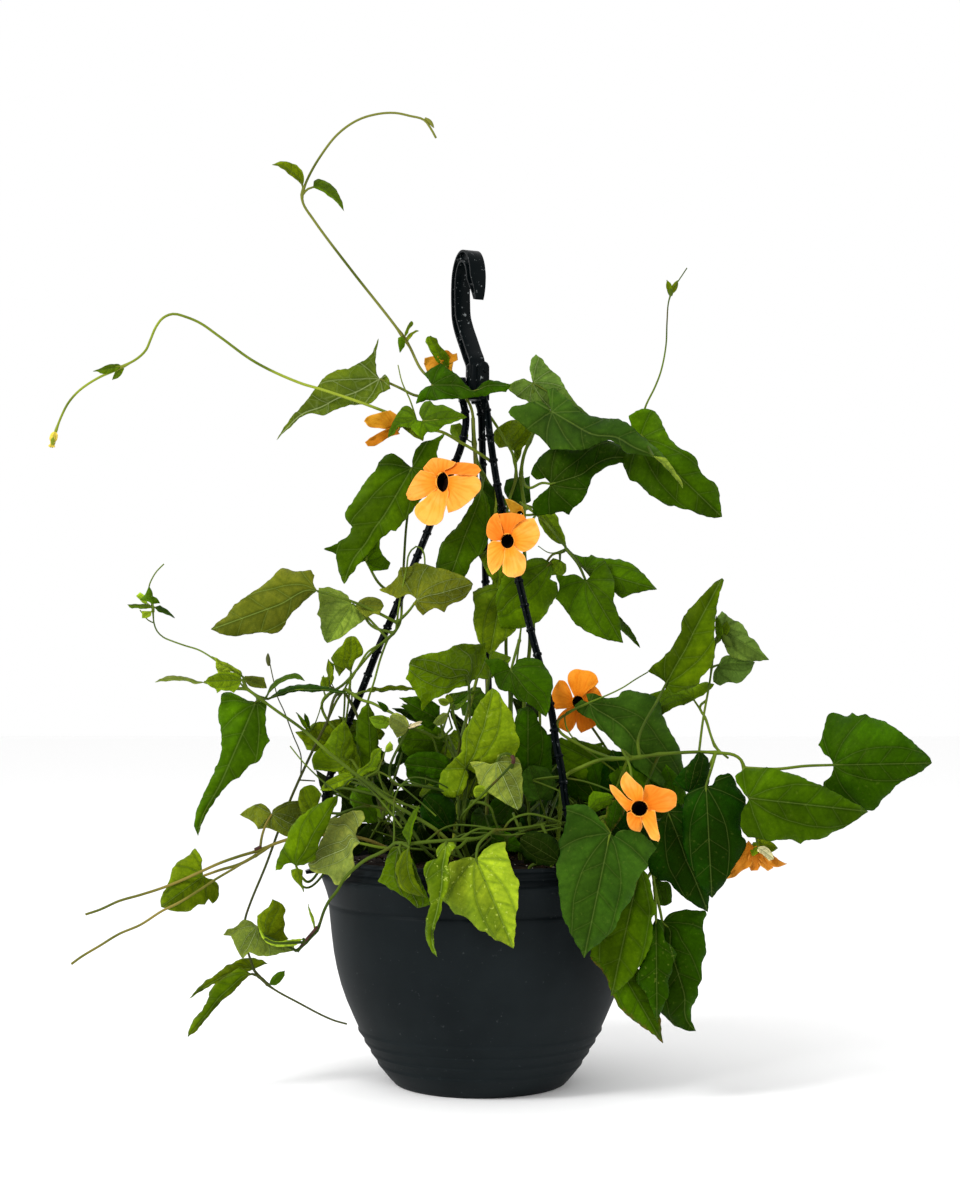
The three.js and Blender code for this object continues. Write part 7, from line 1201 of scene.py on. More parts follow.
def wrap_sheet(shape, across, along, locate, tint=(1, 1, 1), flip=False):
    """A grid bent into a shell: locate takes both shares of the way, from 0 to 1."""
    part, flat, tints, facts = new_sheet()
    bmesh.ops.create_grid(part, x_segments=across, y_segments=along, size=0.5)
    for face in part.faces:
        for loop in face.loops:
            loop[flat].uv = (loop.vert.co.y + 0.5, loop.vert.co.x)
    for knot in part.verts:
        knot[tints] = (*tint, 1)
        knot[facts] = (1, 0, 0, 1)
        knot.co = locate(knot.co.x + 0.5, knot.co.y + 0.5)
    bmesh.ops.remove_doubles(part, verts=part.verts[:], dist=0.02 * MM)
    if flip:
        bmesh.ops.reverse_faces(part, faces=part.faces[:])
    add_to(shape, part)


def crossing(outline, x):
    """The heights at which the outline crosses the upright line at x."""
    found = []
    for p, q in zip(outline, outline[1:] + outline[:1]):
        if (p.x - x) * (q.x - x) < 0:
            found.append(p.y + (q.y - p.y) * (x - p.x) / (q.x - p.x))
    return sorted(found)


def rib_of(outline, reach, count=20):
    """The rib's height from joint to tip: straight, unless an edge comes near."""
    heights = [0.0]
    for k in range(1, count):
        cuts = crossing(outline, reach * k / count)
        pairs = list(zip(cuts[::2], cuts[1::2])) or [(heights[-1], heights[-1])]
        low, high = min(pairs, key=lambda c: max(c[0] - heights[-1], heights[-1] - c[1], 0))
        room = 0.3 * (high - low)
        heights.append(min(max(0, low + room), high - room))
    heights.append(0.0)
    for _ in range(2):
        heights[1:-1] = [(a + 2 * b + c) / 4
                         for a, b, c in zip(heights, heights[1:], heights[2:])]

    def height(x):
        at = min(max(x / reach, 0), 1) * count
        k = min(int(at), count - 1)
        return heights[k] + (heights[k + 1] - heights[k]) * (at - k)
    return height


# ---- leaves ------------------------------------------------------------------------------
LEAF_THICK = 0.35
LEAF_CELLS = 30           # cells of a leaf's net along its rib, where their size allows it
LEAST_CELL, MOST_CELL = 0.8, 2.0
EDGE_STEP = 0.8           # steps of the edge, in cells
EDGE_CORNER = 0.9         # a turn of the edge, in radians, past which it stays a point
# Relief, as a share of the leaf's length and its most in mm.
NIBBLE = (0.012, 0.5)
WAVE = (0.028, 1.8)
QUILT = (0.02, 1.1)
NIBBLE_LONG = 3.2         # size of the edge's bumps
SIDE_LAG = 1.3            # how far one edge's wave runs ahead of the other's, in radians
CUP_WIDE, CUP_MOST = 0.4, 1.6   # where a leaf's cup has its full height, and its most
WAVE_WIDE = 0.5           # how far in from the edge its wave reaches, in half widths
FLAT_RIM = 0.12           # and how far in from it the quilting is weaker
VEIN_FURROW = 0.035       # how far from a vein the quilting has its full height
BEATS = (2.2, 3.6)        # waves along an edge
MARGIN = 1.6              # width of the pale or browned margin
TINTS = (0.93, 1.07)      # how far a leaf's tint strays from its tone
PAINTED_HALF_LIGHT = (0.12, 0.22)   # painted light: how much lighter one half of a leaf is
PAINTED_FOLD_LIGHT = 0.09         # painted light and shade on the folds between the base veins
# How strongly the veins of a tone show.
VEIN_FORCE = {"pale": 0.8, "moss": 0.5, "silver": 1.0, "pewter": 1.0, "olive": 0.7,
              "bright": 0.6, "fresh": 0.5, "lime": 0.5, "straw": 0.2}
PLAIN_FORCE = 0.35
# Tones too pale for a raised rib of the stem's green, which is only painted on them.
RIB_PAINTED = ("pale", "moss", "silver", "pewter", "straw")
# How speckled a leaf is, most of them and some by name, and how browned its margin.
PLAIN_FLECK = 0.03
FLECKED = {"golden": 0.5, "lime_top": 0.4, "twist": 0.5, "spotted": 0.1, "tall_light": 0.15}
BROWNED = {"tail_front": 0.8, "brown_fold": 0.6, "trail_a": 0.2}
STALK_STEP = 2.5
STALK_R = ((26, 0.85), (13, 0.7), (0, 0.5))   # a stalk's radius, by the length of its leaf
STALK_THICK, STALK_LOSS = 1.25, 0.35   # its share of that at the start, what it loses by the leaf
RIB_THICK, RIB_LOSS = 0.7, 0.55   # the same for the raised rib
FOOT_SWELL = 1.25         # how much thicker the stalk's first ring is again
RIB_PROUD = 0.45          # the rib's middle line lies this far behind the leaf
RIB_LONG = 0.86           # how far the raised rib runs, in leaf lengths
SMOOTH = 2                # a corner, in radians, that leaves no kink in a stem


def relief(reach, share, most):
    return min(share * reach, most)


def nibbled(line, reach):
    """A leaf's edge with the small unevenness that a grown edge has."""
    seed = random_draw.uniform(0, 90)
    size = relief(reach, *NIBBLE)
    last = len(line) - 1
    out = [line[0]]
    for k in range(1, last):
        way = (line[k + 1] - line[k - 1]).normalized()
        push = noise.noise((line[k].x / NIBBLE_LONG, line[k].y / NIBBLE_LONG, seed)) * 1.6
        fade = min(1, k / 4, (last - k) / 4)
        out.append(line[k] + Vector((-way.y, way.x)) * (push * size * fade))
    return out + [line[-1]]


def nearest(lines, point):
    """The spot on the lines that lies nearest to the point."""
    return min((spot for line in lines for spot in line), key=lambda s: (s - point).length)


def stalk_line(lines, route, hold):
    """A stalk from the nearest stem to the leaf's joint; spots too near the joint drop out."""
    path = spots(route)
    path[0] = nearest(lines, path[0])
    while len(path) > 1 and (path[-1] - hold).length < STALK_STEP * MM:
        path.pop()
    return soft_line([*path, hold], STALK_STEP * MM, SMOOTH)


def leaf(shape, tubes, lines, row):
    """A leaf with its relief and paint, its rib and its stalk; gives the stalk's start."""
    name, tone, under, bend, ends, side_a, side_b, stalk = row
    near, far, lean, cup, arch = bend
    own = SheetFrame(*[sheet_spot(*p) for p in numbers(ends, 2)])
    joint, reach = own.joint, own.reach
    if sum(p.y for p in own.knots(side_a)) < 0:
        lean = -lean
    cell = min(max(reach / LEAF_CELLS, LEAST_CELL), MOST_CELL)
    first, second = [nibbled(own.edge(side, cell * EDGE_STEP, EDGE_CORNER), reach)
                     for side in (side_a, side_b)]
    outline = first + second[-2:0:-1]
    rib = rib_of(outline, reach)
    half = max(abs(p.y) for p in outline)
    phase = random_draw.uniform(0, WAVE_ROUND)
    beat = random_draw.uniform(*BEATS) * WAVE_ROUND / reach
    facing = -1 if under else 1
    wave = relief(reach, *WAVE)
    quilt = relief(reach, *QUILT)

    def depth_at(x, y, gap):
        on = min(max(x / reach, -0.2), 1)
        depth = near + (far - near) * on + lean * y
        depth += (cup * min((y / (CUP_WIDE * reach)) ** 2, CUP_MOST)
                  - arch * 4 * max(on, 0) * (1 - on))
        rim = max(0.0, 1 - gap / (WAVE_WIDE * half)) ** 2
        depth += wave * rim * math.sin(beat * x + phase + (SIDE_LAG if y > 0 else 0))
        swell = min(vein_gap(x / reach, (y - rib(x)) / reach) / VEIN_FURROW, 1)
        swell = (1 - (1 - swell) ** 2) * min(1, gap / (FLAT_RIM * half))
        return depth - quilt * swell * facing

    def locate(x, y, gap):
        return place(joint + own.ahead * x + own.aside * y, depth_at(x, y, gap))

    brown = BROWNED.get(name, 0)
    fleck = FLECKED.get(name, PLAIN_FLECK)
    force = VEIN_FORCE.get(tone, PLAIN_FORCE)

    def traits(x, y, gap):
        margin = max(0.0, 1 - gap / MARGIN)
        return (force, fleck, min(1, margin * brown), margin * (1 - brown))

    tint = [c * random_draw.uniform(*TINTS) for c in linear(TONES[tone])]
    # Painted light: one half of the leaf is lighter, on a side drawn at random.
    painted_half_light = random_draw.choice((-1, 1)) * random_draw.uniform(*PAINTED_HALF_LIGHT)

    def painted_light(x, y):
        """Painted light and shade on the leaf there: one half lighter than the other, and the
        folds at its base lit and shaded in turn.
        """
        off = (y - rib(x)) / reach
        turn = abs(math.atan2(off, x / reach)) + VEIN_BEND * math.hypot(x / reach, off)
        fan = sum(math.tanh((turn - a) / 0.05) * s for a, s in zip(BASE_VEINS, (1, -1, 1)))
        return 1 + painted_half_light * math.tanh(off / 0.012) + PAINTED_FOLD_LIGHT * fan

    blade(shape, outline, cell, facing, locate, traits, tint, reach, rib, painted_light)
    back = Vector((0, facing * RIB_PROUD * MM, 0))
    line = stalk_line(lines, stalk, place(joint, near) + back)
    steps = 0 if tone in RIB_PAINTED else max(3, round(reach / 5))
    marks = [reach * RIB_LONG * k / steps for k in range(1, steps + 1)]
    ridge = [locate(x, rib(x), half * 0.3) + back * 0.8 for x in marks]
    size = next(radius for least, radius in STALK_R if reach > least)
    count = len(line)
    radii = [size * (STALK_THICK - STALK_LOSS * k / count) for k in range(count)]
    radii += [size * (RIB_THICK - RIB_LOSS * k / steps) for k in range(1, steps + 1)]
    radii[0] *= FOOT_SWELL
    tubes.append((line + ridge, [r * MM for r in radii]))
    return line[0]


# A small plain leaf's edge: how far along, and how far out for a leaf as wide as it's long.
HEART = numbers("-.04,.1 -.14,.22 -.12,.36 .05,.46 .2,.42 .42,.33 .65,.2 .85,.09", 2)
REAR_TURN = (0.5, 1.3)   # how far the rear leaves are turned aside, as a slope


def heart_rows(vine, tone, text):
    """Rows for small heart-shaped leaves low among the stems, each a little different."""
    rear = vine.startswith("vine_rear")
    found = []
    for k, (c0, r0, c1, r1, near, far, wide) in enumerate(numbers(text, 7)):
        run = (c1 - c0, r1 - r0)
        sides = []
        for way in (1, -1):
            knots = []
            for along, out in HEART:
                out *= way * wide * random_draw.uniform(0.85, 1.12)
                knots.append(f"{c0 + run[0] * along - run[1] * out:.1f},"
                             f"{r0 + run[1] * along + run[0] * out:.1f}")
            sides.append(" ".join(knots))
        bend = [near, far, random_draw.uniform(-0.6, 0.6), random_draw.uniform(-4, 2),
                random_draw.uniform(0, 3)]
        under = rear or random_draw.random() < 0.25
        if rear:
            bend[2] = random_draw.choice((-1, 1)) * random_draw.uniform(*REAR_TURN)
        found.append((f"heart_{tone}_{k}", tone, under, bend, f"{c0},{r0} {c1},{r1}",
                      *sides, f"{c0 - run[0] * 0.5},{r0 + 14},{near + 6}"))
    return found


# ---- vines -------------------------------------------------------------------------------
SOIL_LEVEL = 140
ROOT_DEEP = 6      # a stem starts this far under the soil
# The vines whose stems aren't of the plain finish.
STEM_FINISH = {"vine_left_low": "tan_stem", "vine_trailing": "dark_stem",
               "vine_front": "shaded_stem", "vine_clump": "shaded_stem",
               "vine_top": "olive_stem", "vine_left_tendril": "yellow_stem"}
# A stem's radius as a share of its bar's.
STEM_SLIM = {"vine_left": 0.6, "vine_left_tendril": 0.9, "vine_top": 0.8,
             "vine_right_upper": 0.9}
PLAIN_SLIM = 0.7
KNEE = 0.45        # how much thicker a stem is where a stalk leaves it
KNEE_LONG = 4
BLOOM_STALK_R = 0.8
BLOOM_RUN = (9, 4, 0.5)   # the last spots of a flower's stalk, straight behind its heel
BUD_STEP = 0.8


def vine_rows(vine, text):
    """A vine's rows by kind, with the small leaves' rows worked out."""
    found = {"stem": [], "leaf": [], "hearts": [], "bud": [], "node": []}
    for (kind, *words), parts in rows(text):
        if kind == "hearts":
            found[kind] += heart_rows(vine, *words, *parts)
        elif kind in ("leaf", "under"):
            name, tone, bend = words
            found["leaf"].append((name, tone, kind == "under", numbers(bend, 5)[0], *parts))
        else:
            found[kind].append((*[float(word) for word in words], *parts))
    return found


def grow_stem(name, lines, foot, end, route):
    """The first stem of a vine rises from the soil; the others start from those before."""
    path = spots(route)
    if lines:
        path[0] = nearest(lines, path[0])
    else:
        path[0].z = (SOIL_LEVEL - ROOT_DEEP) * MM
        path.insert(1, path[0] + Vector((0, 0, 10 * MM)))
    line = soft_line(path, STALK_STEP * MM, SMOOTH)
    count = len(line) - 1
    slim = STEM_SLIM.get(name, PLAIN_SLIM) * MM
    lines.append(line)
    return line, [slim * (foot + (end - foot) * k / count) for k in range(count + 1)]


def bud_girth(size, line):
    """The radii of a bud: blunt at its foot, widest before the middle, drawn out at the tip."""
    last = len(line) - 1
    return [size * MM * max(0.08, math.sin(math.pi * (0.12 + 0.86 * k / last)) ** 0.8)
            for k in range(last + 1)]


def grow_vine(name, text, blooms):
    """A vine with its leaves, and the stalks and bracts of the flowers that it carries."""
    plan = vine_rows(name, text)
    shape = bmesh.new()
    lines = []
    stems = [grow_stem(name, lines, *row) for row in plan["stem"]]
    tubes = list(stems)
    roots = [leaf(shape, tubes, lines, row) for row in plan["leaf"] + plan["hearts"]]
    for bloom, route in blooms:
        path = spots(route)
        path[0] = nearest(lines, path[0])
        path += [bloom.heel + bloom.back * (t * MM) for t in BLOOM_RUN]
        line = soft_line(path, 2 * MM, SMOOTH)
        tubes.append((line, [BLOOM_STALK_R * MM] * len(line)))
        roots.append(path[0])
    for line, radii in stems:
        for k, point in enumerate(line):
            swell = max([0] + [1 - (point - r).length / (KNEE_LONG * MM) for r in roots])
            radii[k] *= 1 + KNEE * swell
    for bloom, _ in blooms:
        bract_pair(shape, bloom)
    for size, route in plan["bud"]:
        line = soft_line(spots(route), BUD_STEP * MM, SMOOTH)
        tubes.append((line, bud_girth(size, line)))
    piece_from(shape, name + "_leaves", [LEAF_TOP, LEAF_UNDER], "foliage", name,
               thick=LEAF_THICK)
    finish = STEMS[STEM_FINISH.get(name, "stem")]
    tubes_piece(tubes, name + "_stems", finish, "foliage", name)
    for k, (size, route) in enumerate(plan["node"]):
        line = soft_line(spots(route), BUD_STEP * MM, SMOOTH)
        runs = [(line, [size * MM] * len(line))]
        tubes_piece(runs, f"{name}_node_{k}", NODE, "foliage", name)


# ---- flowers -----------------------------------------------------------------------------
PETAL_THICK = 0.35
PETAL_STEP = 0.8
PETAL_CELL = 0.75
PETAL_CORNER = 0.8
PETAL_LAP = 1.3      # how far each petal reaches under its neighbours near the eye
LAP_LONG = 0.7       # how far out it does so, in petal lengths
PETAL_LAYER = 0.4    # how far a petal lies behind the one before it
THROAT_THICK = 0.2
OPEN_EYE = 2.5       # half the width of the eye from which a flower is open
TUBE_LENGTH = {True: 13.0, False: 5.0}
REFLEX = {True: 3.0, False: 1.5}      # how far the petals bend back
RUFFLE = {True: 1.0, False: 2.2}      # how much they wave
BRACTS = {True: (8, 4.6), False: (5, 3.2)}   # the length and the half width of a bract
LIFT = (-0.5, 0.7)   # how far one petal bends from the others' bend
HEEL_GAP = 0.35      # between a tube and its stalk
RUFFLE_WIDE = 4.5    # how far from the rim a petal waves, and how far its rim is paler
RIM_WIDE = 3.5


class Bloom:
    """A flower's eye, the plane of its face and the tube behind it."""

    def __init__(self, column, row, wide, high, depth, slope_x, slope_z):
        self.eye = sheet_spot(column, row)
        self.rx, self.ry = wide * GRID, high * GRID
        self.depth = depth
        self.slope = Vector((slope_x, slope_z))
        self.back = Vector((-slope_x, 1, -slope_z)).normalized()
        self.open = self.rx > OPEN_EYE
        self.tube = TUBE_LENGTH[self.open]
        self.heel = place(self.eye, depth) + self.back * ((self.tube + HEEL_GAP) * MM)

    def on_face(self, d, behind=0.0):
        """A point of the face's plane by its offset from the eye, or one behind it."""
        return place(self.eye + d, self.depth + d.dot(self.slope) + behind)

    def tube_spot(self, inset, start, end):
        """The place of a point of the tube between two shares of its length."""
        def locate(s, t):
            turn = 2 * math.pi * s
            along = start + (end - start) * t
            narrow = 1 - along ** 0.6 * (1 - 2.5 / max(self.rx, self.ry))
            narrow *= 1 - t ** 12 if inset > 0 else 1
            trim = inset if t < 1 else 0
            d = Vector((math.cos(turn) * (self.rx * narrow - trim),
                        math.sin(turn) * (self.ry * narrow - trim)))
            return self.on_face(d) + self.back * (along * self.tube * MM)
        return locate


def petal(shape, bloom, layer, light, tip, side_a, side_b):
    own = SheetFrame(bloom.eye, sheet_spot(*numbers(tip, 2)[0]))
    reach = own.reach
    first, second = [own.edge(side, PETAL_STEP, PETAL_CORNER) for side in (side_a, side_b)]
    for line in (first, second):
        out = math.copysign(PETAL_LAP, sum(p.y for p in line))
        for p in line[1:-1]:
            p.y += out * max(0, 1 - p.x / (LAP_LONG * reach)) * min(1, p.length / 4)
    phase = random_draw.uniform(0, WAVE_ROUND)
    lift = random_draw.uniform(*LIFT)
    reflex, ruffle = REFLEX[bloom.open], RUFFLE[bloom.open]

    def split(x, y):
        """The offset from the eye, its share of the eye's ellipse, and how far past it."""
        d = own.ahead * x + own.aside * y
        share = math.hypot(d.x / bloom.rx, d.y / bloom.ry)
        return d, share, (d.length - d.length / max(share, 1e-6)) / reach

    def locate(x, y, gap):
        d, share, past = split(x, y)
        if share < 1:
            return bloom.on_face(d, bloom.tube * 0.75 * (1 - share) ** 0.8)
        rim = max(0.0, 1 - gap / RUFFLE_WIDE)
        behind = reflex * past ** 2 * 1.3 + lift * past + 0.09 * y * min(1, past * 4)
        behind += layer * min(1, past * 12)
        behind += ruffle * 0.7 * rim * math.sin(0.55 * x + phase + (2 if y > 0 else 0))
        behind += 0.55 * ruffle * math.cos(y * 0.7) * past
        return bloom.on_face(d, behind)

    def traits(x, y, gap):
        return (split(x, y)[2], math.atan2(y, max(x, 0.01)), max(0, 1 - gap / RIM_WIDE), 1)

    tint = (0.8 + 0.4 * light, 0.5 + 0.8 * light, 0.25 + 1.5 * light)
    outline = first + second[-2:0:-1]
    blade(shape, outline, PETAL_CELL, 1, locate, traits, tint, reach)


def flower(name, text):
    """A flower's corolla and throat; gives the vine that carries it and what grows there."""
    ((hue, vine, eye), (stalk,)), *petals = rows(text)
    bloom = Bloom(*numbers(eye, 7)[0])
    shape = bmesh.new()
    for i, ((light,), edges) in enumerate(petals):
        petal(shape, bloom, PETAL_LAYER * (i % 3), float(light), *edges)
    wrap_sheet(shape, 20, 8, bloom.tube_spot(-0.25, 0.0, 1.0))
    piece_from(shape, name + "_corolla", [PETALS[hue]] * 2, "petal_orange", name,
               thick=PETAL_THICK)
    if bloom.open:
        throat = bmesh.new()
        wrap_sheet(throat, 20, 8, bloom.tube_spot(0.1, 0.03, 0.5), flip=True)
        piece_from(throat, name + "_throat", [THROAT], "throat_dark", name + "_eye",
                   thick=THROAT_THICK)
    return vine, (bloom, stalk)


def bract_pair(shape, bloom):
    """The two green bracts that clasp the foot of a flower's tube."""
    length, size = BRACTS[bloom.open]
    back = bloom.back
    side = back.cross(Vector((0, 0, 1))).normalized()
    over = back.cross(side)
    for half in (0, 1):
        def locate(s, t):
            spread = (s - 0.5) * 2 * 1.5 * (1 - t ** 3)
            turn = math.pi * half + spread + 0.4
            girth = size * (math.sin(math.pi * min(0.1 + 0.72 * t, 1)) ** 0.6)
            out = side * math.cos(turn) + over * math.sin(turn)
            return (bloom.heel + back * (1.0 * MM) - back * (length * t * MM)
                    + out * (girth * MM))
        wrap_sheet(shape, 10, 10, locate, linear(TONES["bright"]), flip=True)


# ---- pot ---------------------------------------------------------------------------------
POT_LIP = 146
# The wall's (radius, height): base, stepped foot, belly, band, neck and lip, then the inside.
POT_SKIN = numbers("""
    0,0 54.6,0 56,.5 58,2.6 61.8,7.2 66,12.3 66.4,13.1 66.2,13.7 66.2,14.3 70.6,19.7
    70.9,20.4 70.6,21 70.6,21.6 74.8,26.8 75,27.5 74.7,28.2 74.8,28.8 78.9,34.2 79,35
    78.7,35.8 78.9,36.6 82.4,44.4 86.6,54.2 90,64 92.7,74.6 94.6,84.6 96,96 97,106
    97.7,113 97.9,114.6 97.5,115.4 96.9,115.9 96.7,116.5 97.5,117.5 98.2,119.6
    99.4,124 100.8,128 102.1,131.4 102.5,133 102.3,134.2 101.4,134.8 97.6,134.9
    97.3,135.4 97.2,138.6 97.9,138.9 97.9,139.8 97.2,140.2 97.2,143 98,143.4 99,144
    99.2,145.2 98.6,146 95.4,146 94.8,145.4 93.6,96 84.4,54.5 75.8,35.4 57,3 0,3
""", 2)
BASE_TOP = 3.2       # just over the base's upper face
BASE_R = 54          # its flat part
DRAINS = 6
DRAIN_R = 4.5
DRAIN_AT = 38        # distance of the drain holes from the axis
SOIL_CROWN = 3.4     # how much higher the soil is at the middle than at the wall
SOIL_R = 92
SOIL_SKIN = numbers("0,3.4 56,3.4 75,35.8 83.5,54.8 92.7,96 93.7,137", 2)
STREWN_R = 90        # bits lie on the soil as far out as this


def make_pot():
    shape = bmesh.new()
    lathe(shape, POT_SKIN, 160)
    pot = piece_from(shape, "pot_shell", [POT_PLASTIC], "pot_plastic", "pot")
    pegs = bmesh.new()
    for k in range(DRAINS):
        turn = (k + 0.5) * 2 * math.pi / DRAINS
        seat = Matrix.Translation((DRAIN_AT * math.cos(turn) * MM,
                                   DRAIN_AT * math.sin(turn) * MM, 0))
        bmesh.ops.create_cone(pegs, cap_ends=True, segments=32, radius1=DRAIN_R * MM,
                              radius2=DRAIN_R * MM, depth=20 * MM, matrix=seat)
    cutter = show("drain_pegs", mesh_of(pegs, "drain_pegs"))
    drill = pot.modifiers.new("drains", "BOOLEAN")
    drill.object = cutter
    drill.solver = "EXACT"
    drilled = settled(pot)
    pot.modifiers.clear()
    pot.data = drilled
    bpy.data.objects.remove(cutter)
    for face in drilled.polygons:
        middle = face.center
        if middle.z < BASE_TOP * MM and math.hypot(middle.x, middle.y) < BASE_R * MM:
            face.use_smooth = False


def soil_top(far):
    """The soil's height at that distance from the axis."""
    return SOIL_LEVEL + SOIL_CROWN * (1 - (far / SOIL_R) ** 2)


def make_soil():
    shape = bmesh.new()
    rings = [(r, soil_top(r)) for r in range(91, 0, -3)]
    lathe(shape, [*SOIL_SKIN, *rings, (0, soil_top(0))], 120)
    for knot in shape.verts:
        if knot.co.z > (SOIL_LEVEL - 2) * MM:
            lump = noise.noise(knot.co * 55) * 2.4 + noise.noise(knot.co * 190) * 1.2
            knot.co.z = min(knot.co.z + lump * MM, (POT_LIP + 1) * MM)
    piece_from(shape, "soil_bed", [SOIL], "soil", "soil")
    strew("soil_chips", BARK, 420, (1.4, 5.2), 8)
    strew("soil_grains", PERLITE, 90, (0.9, 2.2), 12)


def strew(name, finish, count, sizes, corners):
    """Rough bits spread over the soil."""
    shape = bmesh.new()
    for _ in range(count):
        turn = random_draw.uniform(0, 2 * math.pi)
        far = STREWN_R * math.sqrt(random_draw.random())
        chip(shape, turn, far, random_draw.uniform(*sizes), corners)
    piece_from(shape, name, [finish], "soil", smooth=False)


def chip(shape, turn, far, size, corners):
    part = bmesh.new()
    centre = Vector((far * math.cos(turn), far * math.sin(turn), soil_top(far) + 0.8))
    stretch = Vector((random_draw.uniform(0.6, 1), random_draw.uniform(0.3, 0.8),
                      random_draw.uniform(0.2, 0.5)))
    lean = random_draw.uniform(0, math.pi)
    for _ in range(corners):
        d = Vector([random_draw.gauss(0, 1) for _ in range(3)]).normalized() * (size / 2)
        d = Vector([a * b for a, b in zip(d, stretch)])
        d = Vector((d.x * math.cos(lean) - d.y * math.sin(lean),
                    d.x * math.sin(lean) + d.y * math.cos(lean), d.z))
        part.verts.new((centre + d) * MM)
    bmesh.ops.convex_hull(part, input=part.verts[:])
    loose = [v for v in part.verts if not v.link_faces]
    bmesh.ops.delete(part, geom=loose, context="VERTS")
    add_to(shape, part)


# ---- hanger ------------------------------------------------------------------------------
HUB_X = -3                # the hub stands this far beside the pot's axis
HUB_SKIN = numbers("0,441 5.2,441 6,441.8 6,463 5,464.6 3,465.4 0,465.6", 2)
PIN_SKIN = numbers("0,4.5 1.5,4.5 1.5,11.2 1.2,11.5 0,11.5", 2)
PIN_DOWN = 6              # how far an arm's pin is below the top of its plate
HOOK_TURN = math.radians(-68)   # the bearing that the hook opens to
# The strap's middle line: how far forward, and how high.
HOOK_WAY = numbers("0,456 0,464 -6,472 -13,481 -20,490 -25,499 -26.2,508 -26.4,518 "
                   "-24.6,528 -19.5,534.6 -12.4,536.8 -6,534.8 -1,529 1.4,520 1.8,512 "
                   "0.6,506.5", 2)
STRAP_STEP = 2.0
TIP_LONG = 14.0           # the strap narrows over this length at its tip
TIP_THIN, TIP_NARROW = 0.6, 0.5   # to these shares of its depth and its width
TIP_ASIDE = 0.7           # how far the narrowing is from one side only
STRAP_HALF_DEEP = 4.0
STRAP_HALF_WIDE = 5.25
RECESS = 1.5              # depth of the channel in each face of the strap
WEB_THIN = 1.2            # how much thinner its web is again on each face
FLANGE = 1.5              # thickness of the strap's edges
CROSS_RIB = 9             # rings from one rib across the channel to the next
END_RINGS = 3             # rings without a channel at each end
RIB_SUNK = 0.15           # how far a rib stays below the strap's edges
SOFT_EDGE = 0.35          # width of the moulding's soft edges
# Each arm: its bearing in degrees, the top of its plate, where its beads start, its route.
ARMS = {
    "arm_right": (-53, 465, 10, "487,412,-8.5 490,436,-10 498,489,-16 520,586,-33.5 "
                  "532,635,-43 539,661,-47.5 552,714,-58 556,743,-61.5 562,773,-66 "
                  "565,799,-69 572,835,-74"),
    "arm_left": (187, 456, 10, "466,420,-2 461,447,-2 453,468,-2.3 420,550,-4.8 "
                 "392,617,-7 378,649,-8 362,690,-9.3 349,721,-10.3 341,743,-11 "
                 "326,795,-12.2 326.5,835,-12.2"),
    "arm_rear": (85, 462, 10, "480,408,10 482,437,13.5 483,480,23 485,560,47 "
                 "487,640,71 489,700,86 490,760,95 491,805,97.5"),
}
ROD_R = 2.2
ROD_RIB = 0.8             # half thickness of the four ribs that make a rod
ROD_STEP = 3
BEAD_R = 3.0
BEAD_LONG = 1.8
BEAD_PITCH = 16.6
BEAD_SHAPE = ((-0.5, 0.86), (-0.3, 1), (0.3, 1), (0.5, 0.86))   # along it, and how thick
PLATE_THICK = 4.4
PLATE_AT = 8.55           # distance of an arm's plate from the hub's middle
ROD_TOP = (8.7, 443)      # where a rod starts, and where it ends: radius and height
ROD_FOOT = (97, 148)
CLIP = numbers("93.6,141 93.6,146.35 99.4,146.35 99.4,137.5 104,136.4 112.5,135.4 "
               "113,137.2 104,140.4 101.8,141.5 101.8,149 91.4,149 91.4,141", 2)
CLIP_WIDE = 9
MOULDED_EDGE = 0.4


def strap_section():
    """The strap's section: two edges and a thin web with a channel on each face."""
    deep, wide = STRAP_HALF_DEEP, STRAP_HALF_WIDE
    web, lip = wide - RECESS - WEB_THIN, deep - FLANGE
    right = [(deep, wide), (lip, wide), (lip, web), (-lip, web), (-lip, wide), (-deep, wide)]
    return [(deep, -wide), *right, (-deep, -wide), (-lip, -wide), (-lip, -web), (lip, -web),
            (lip, -wide)]


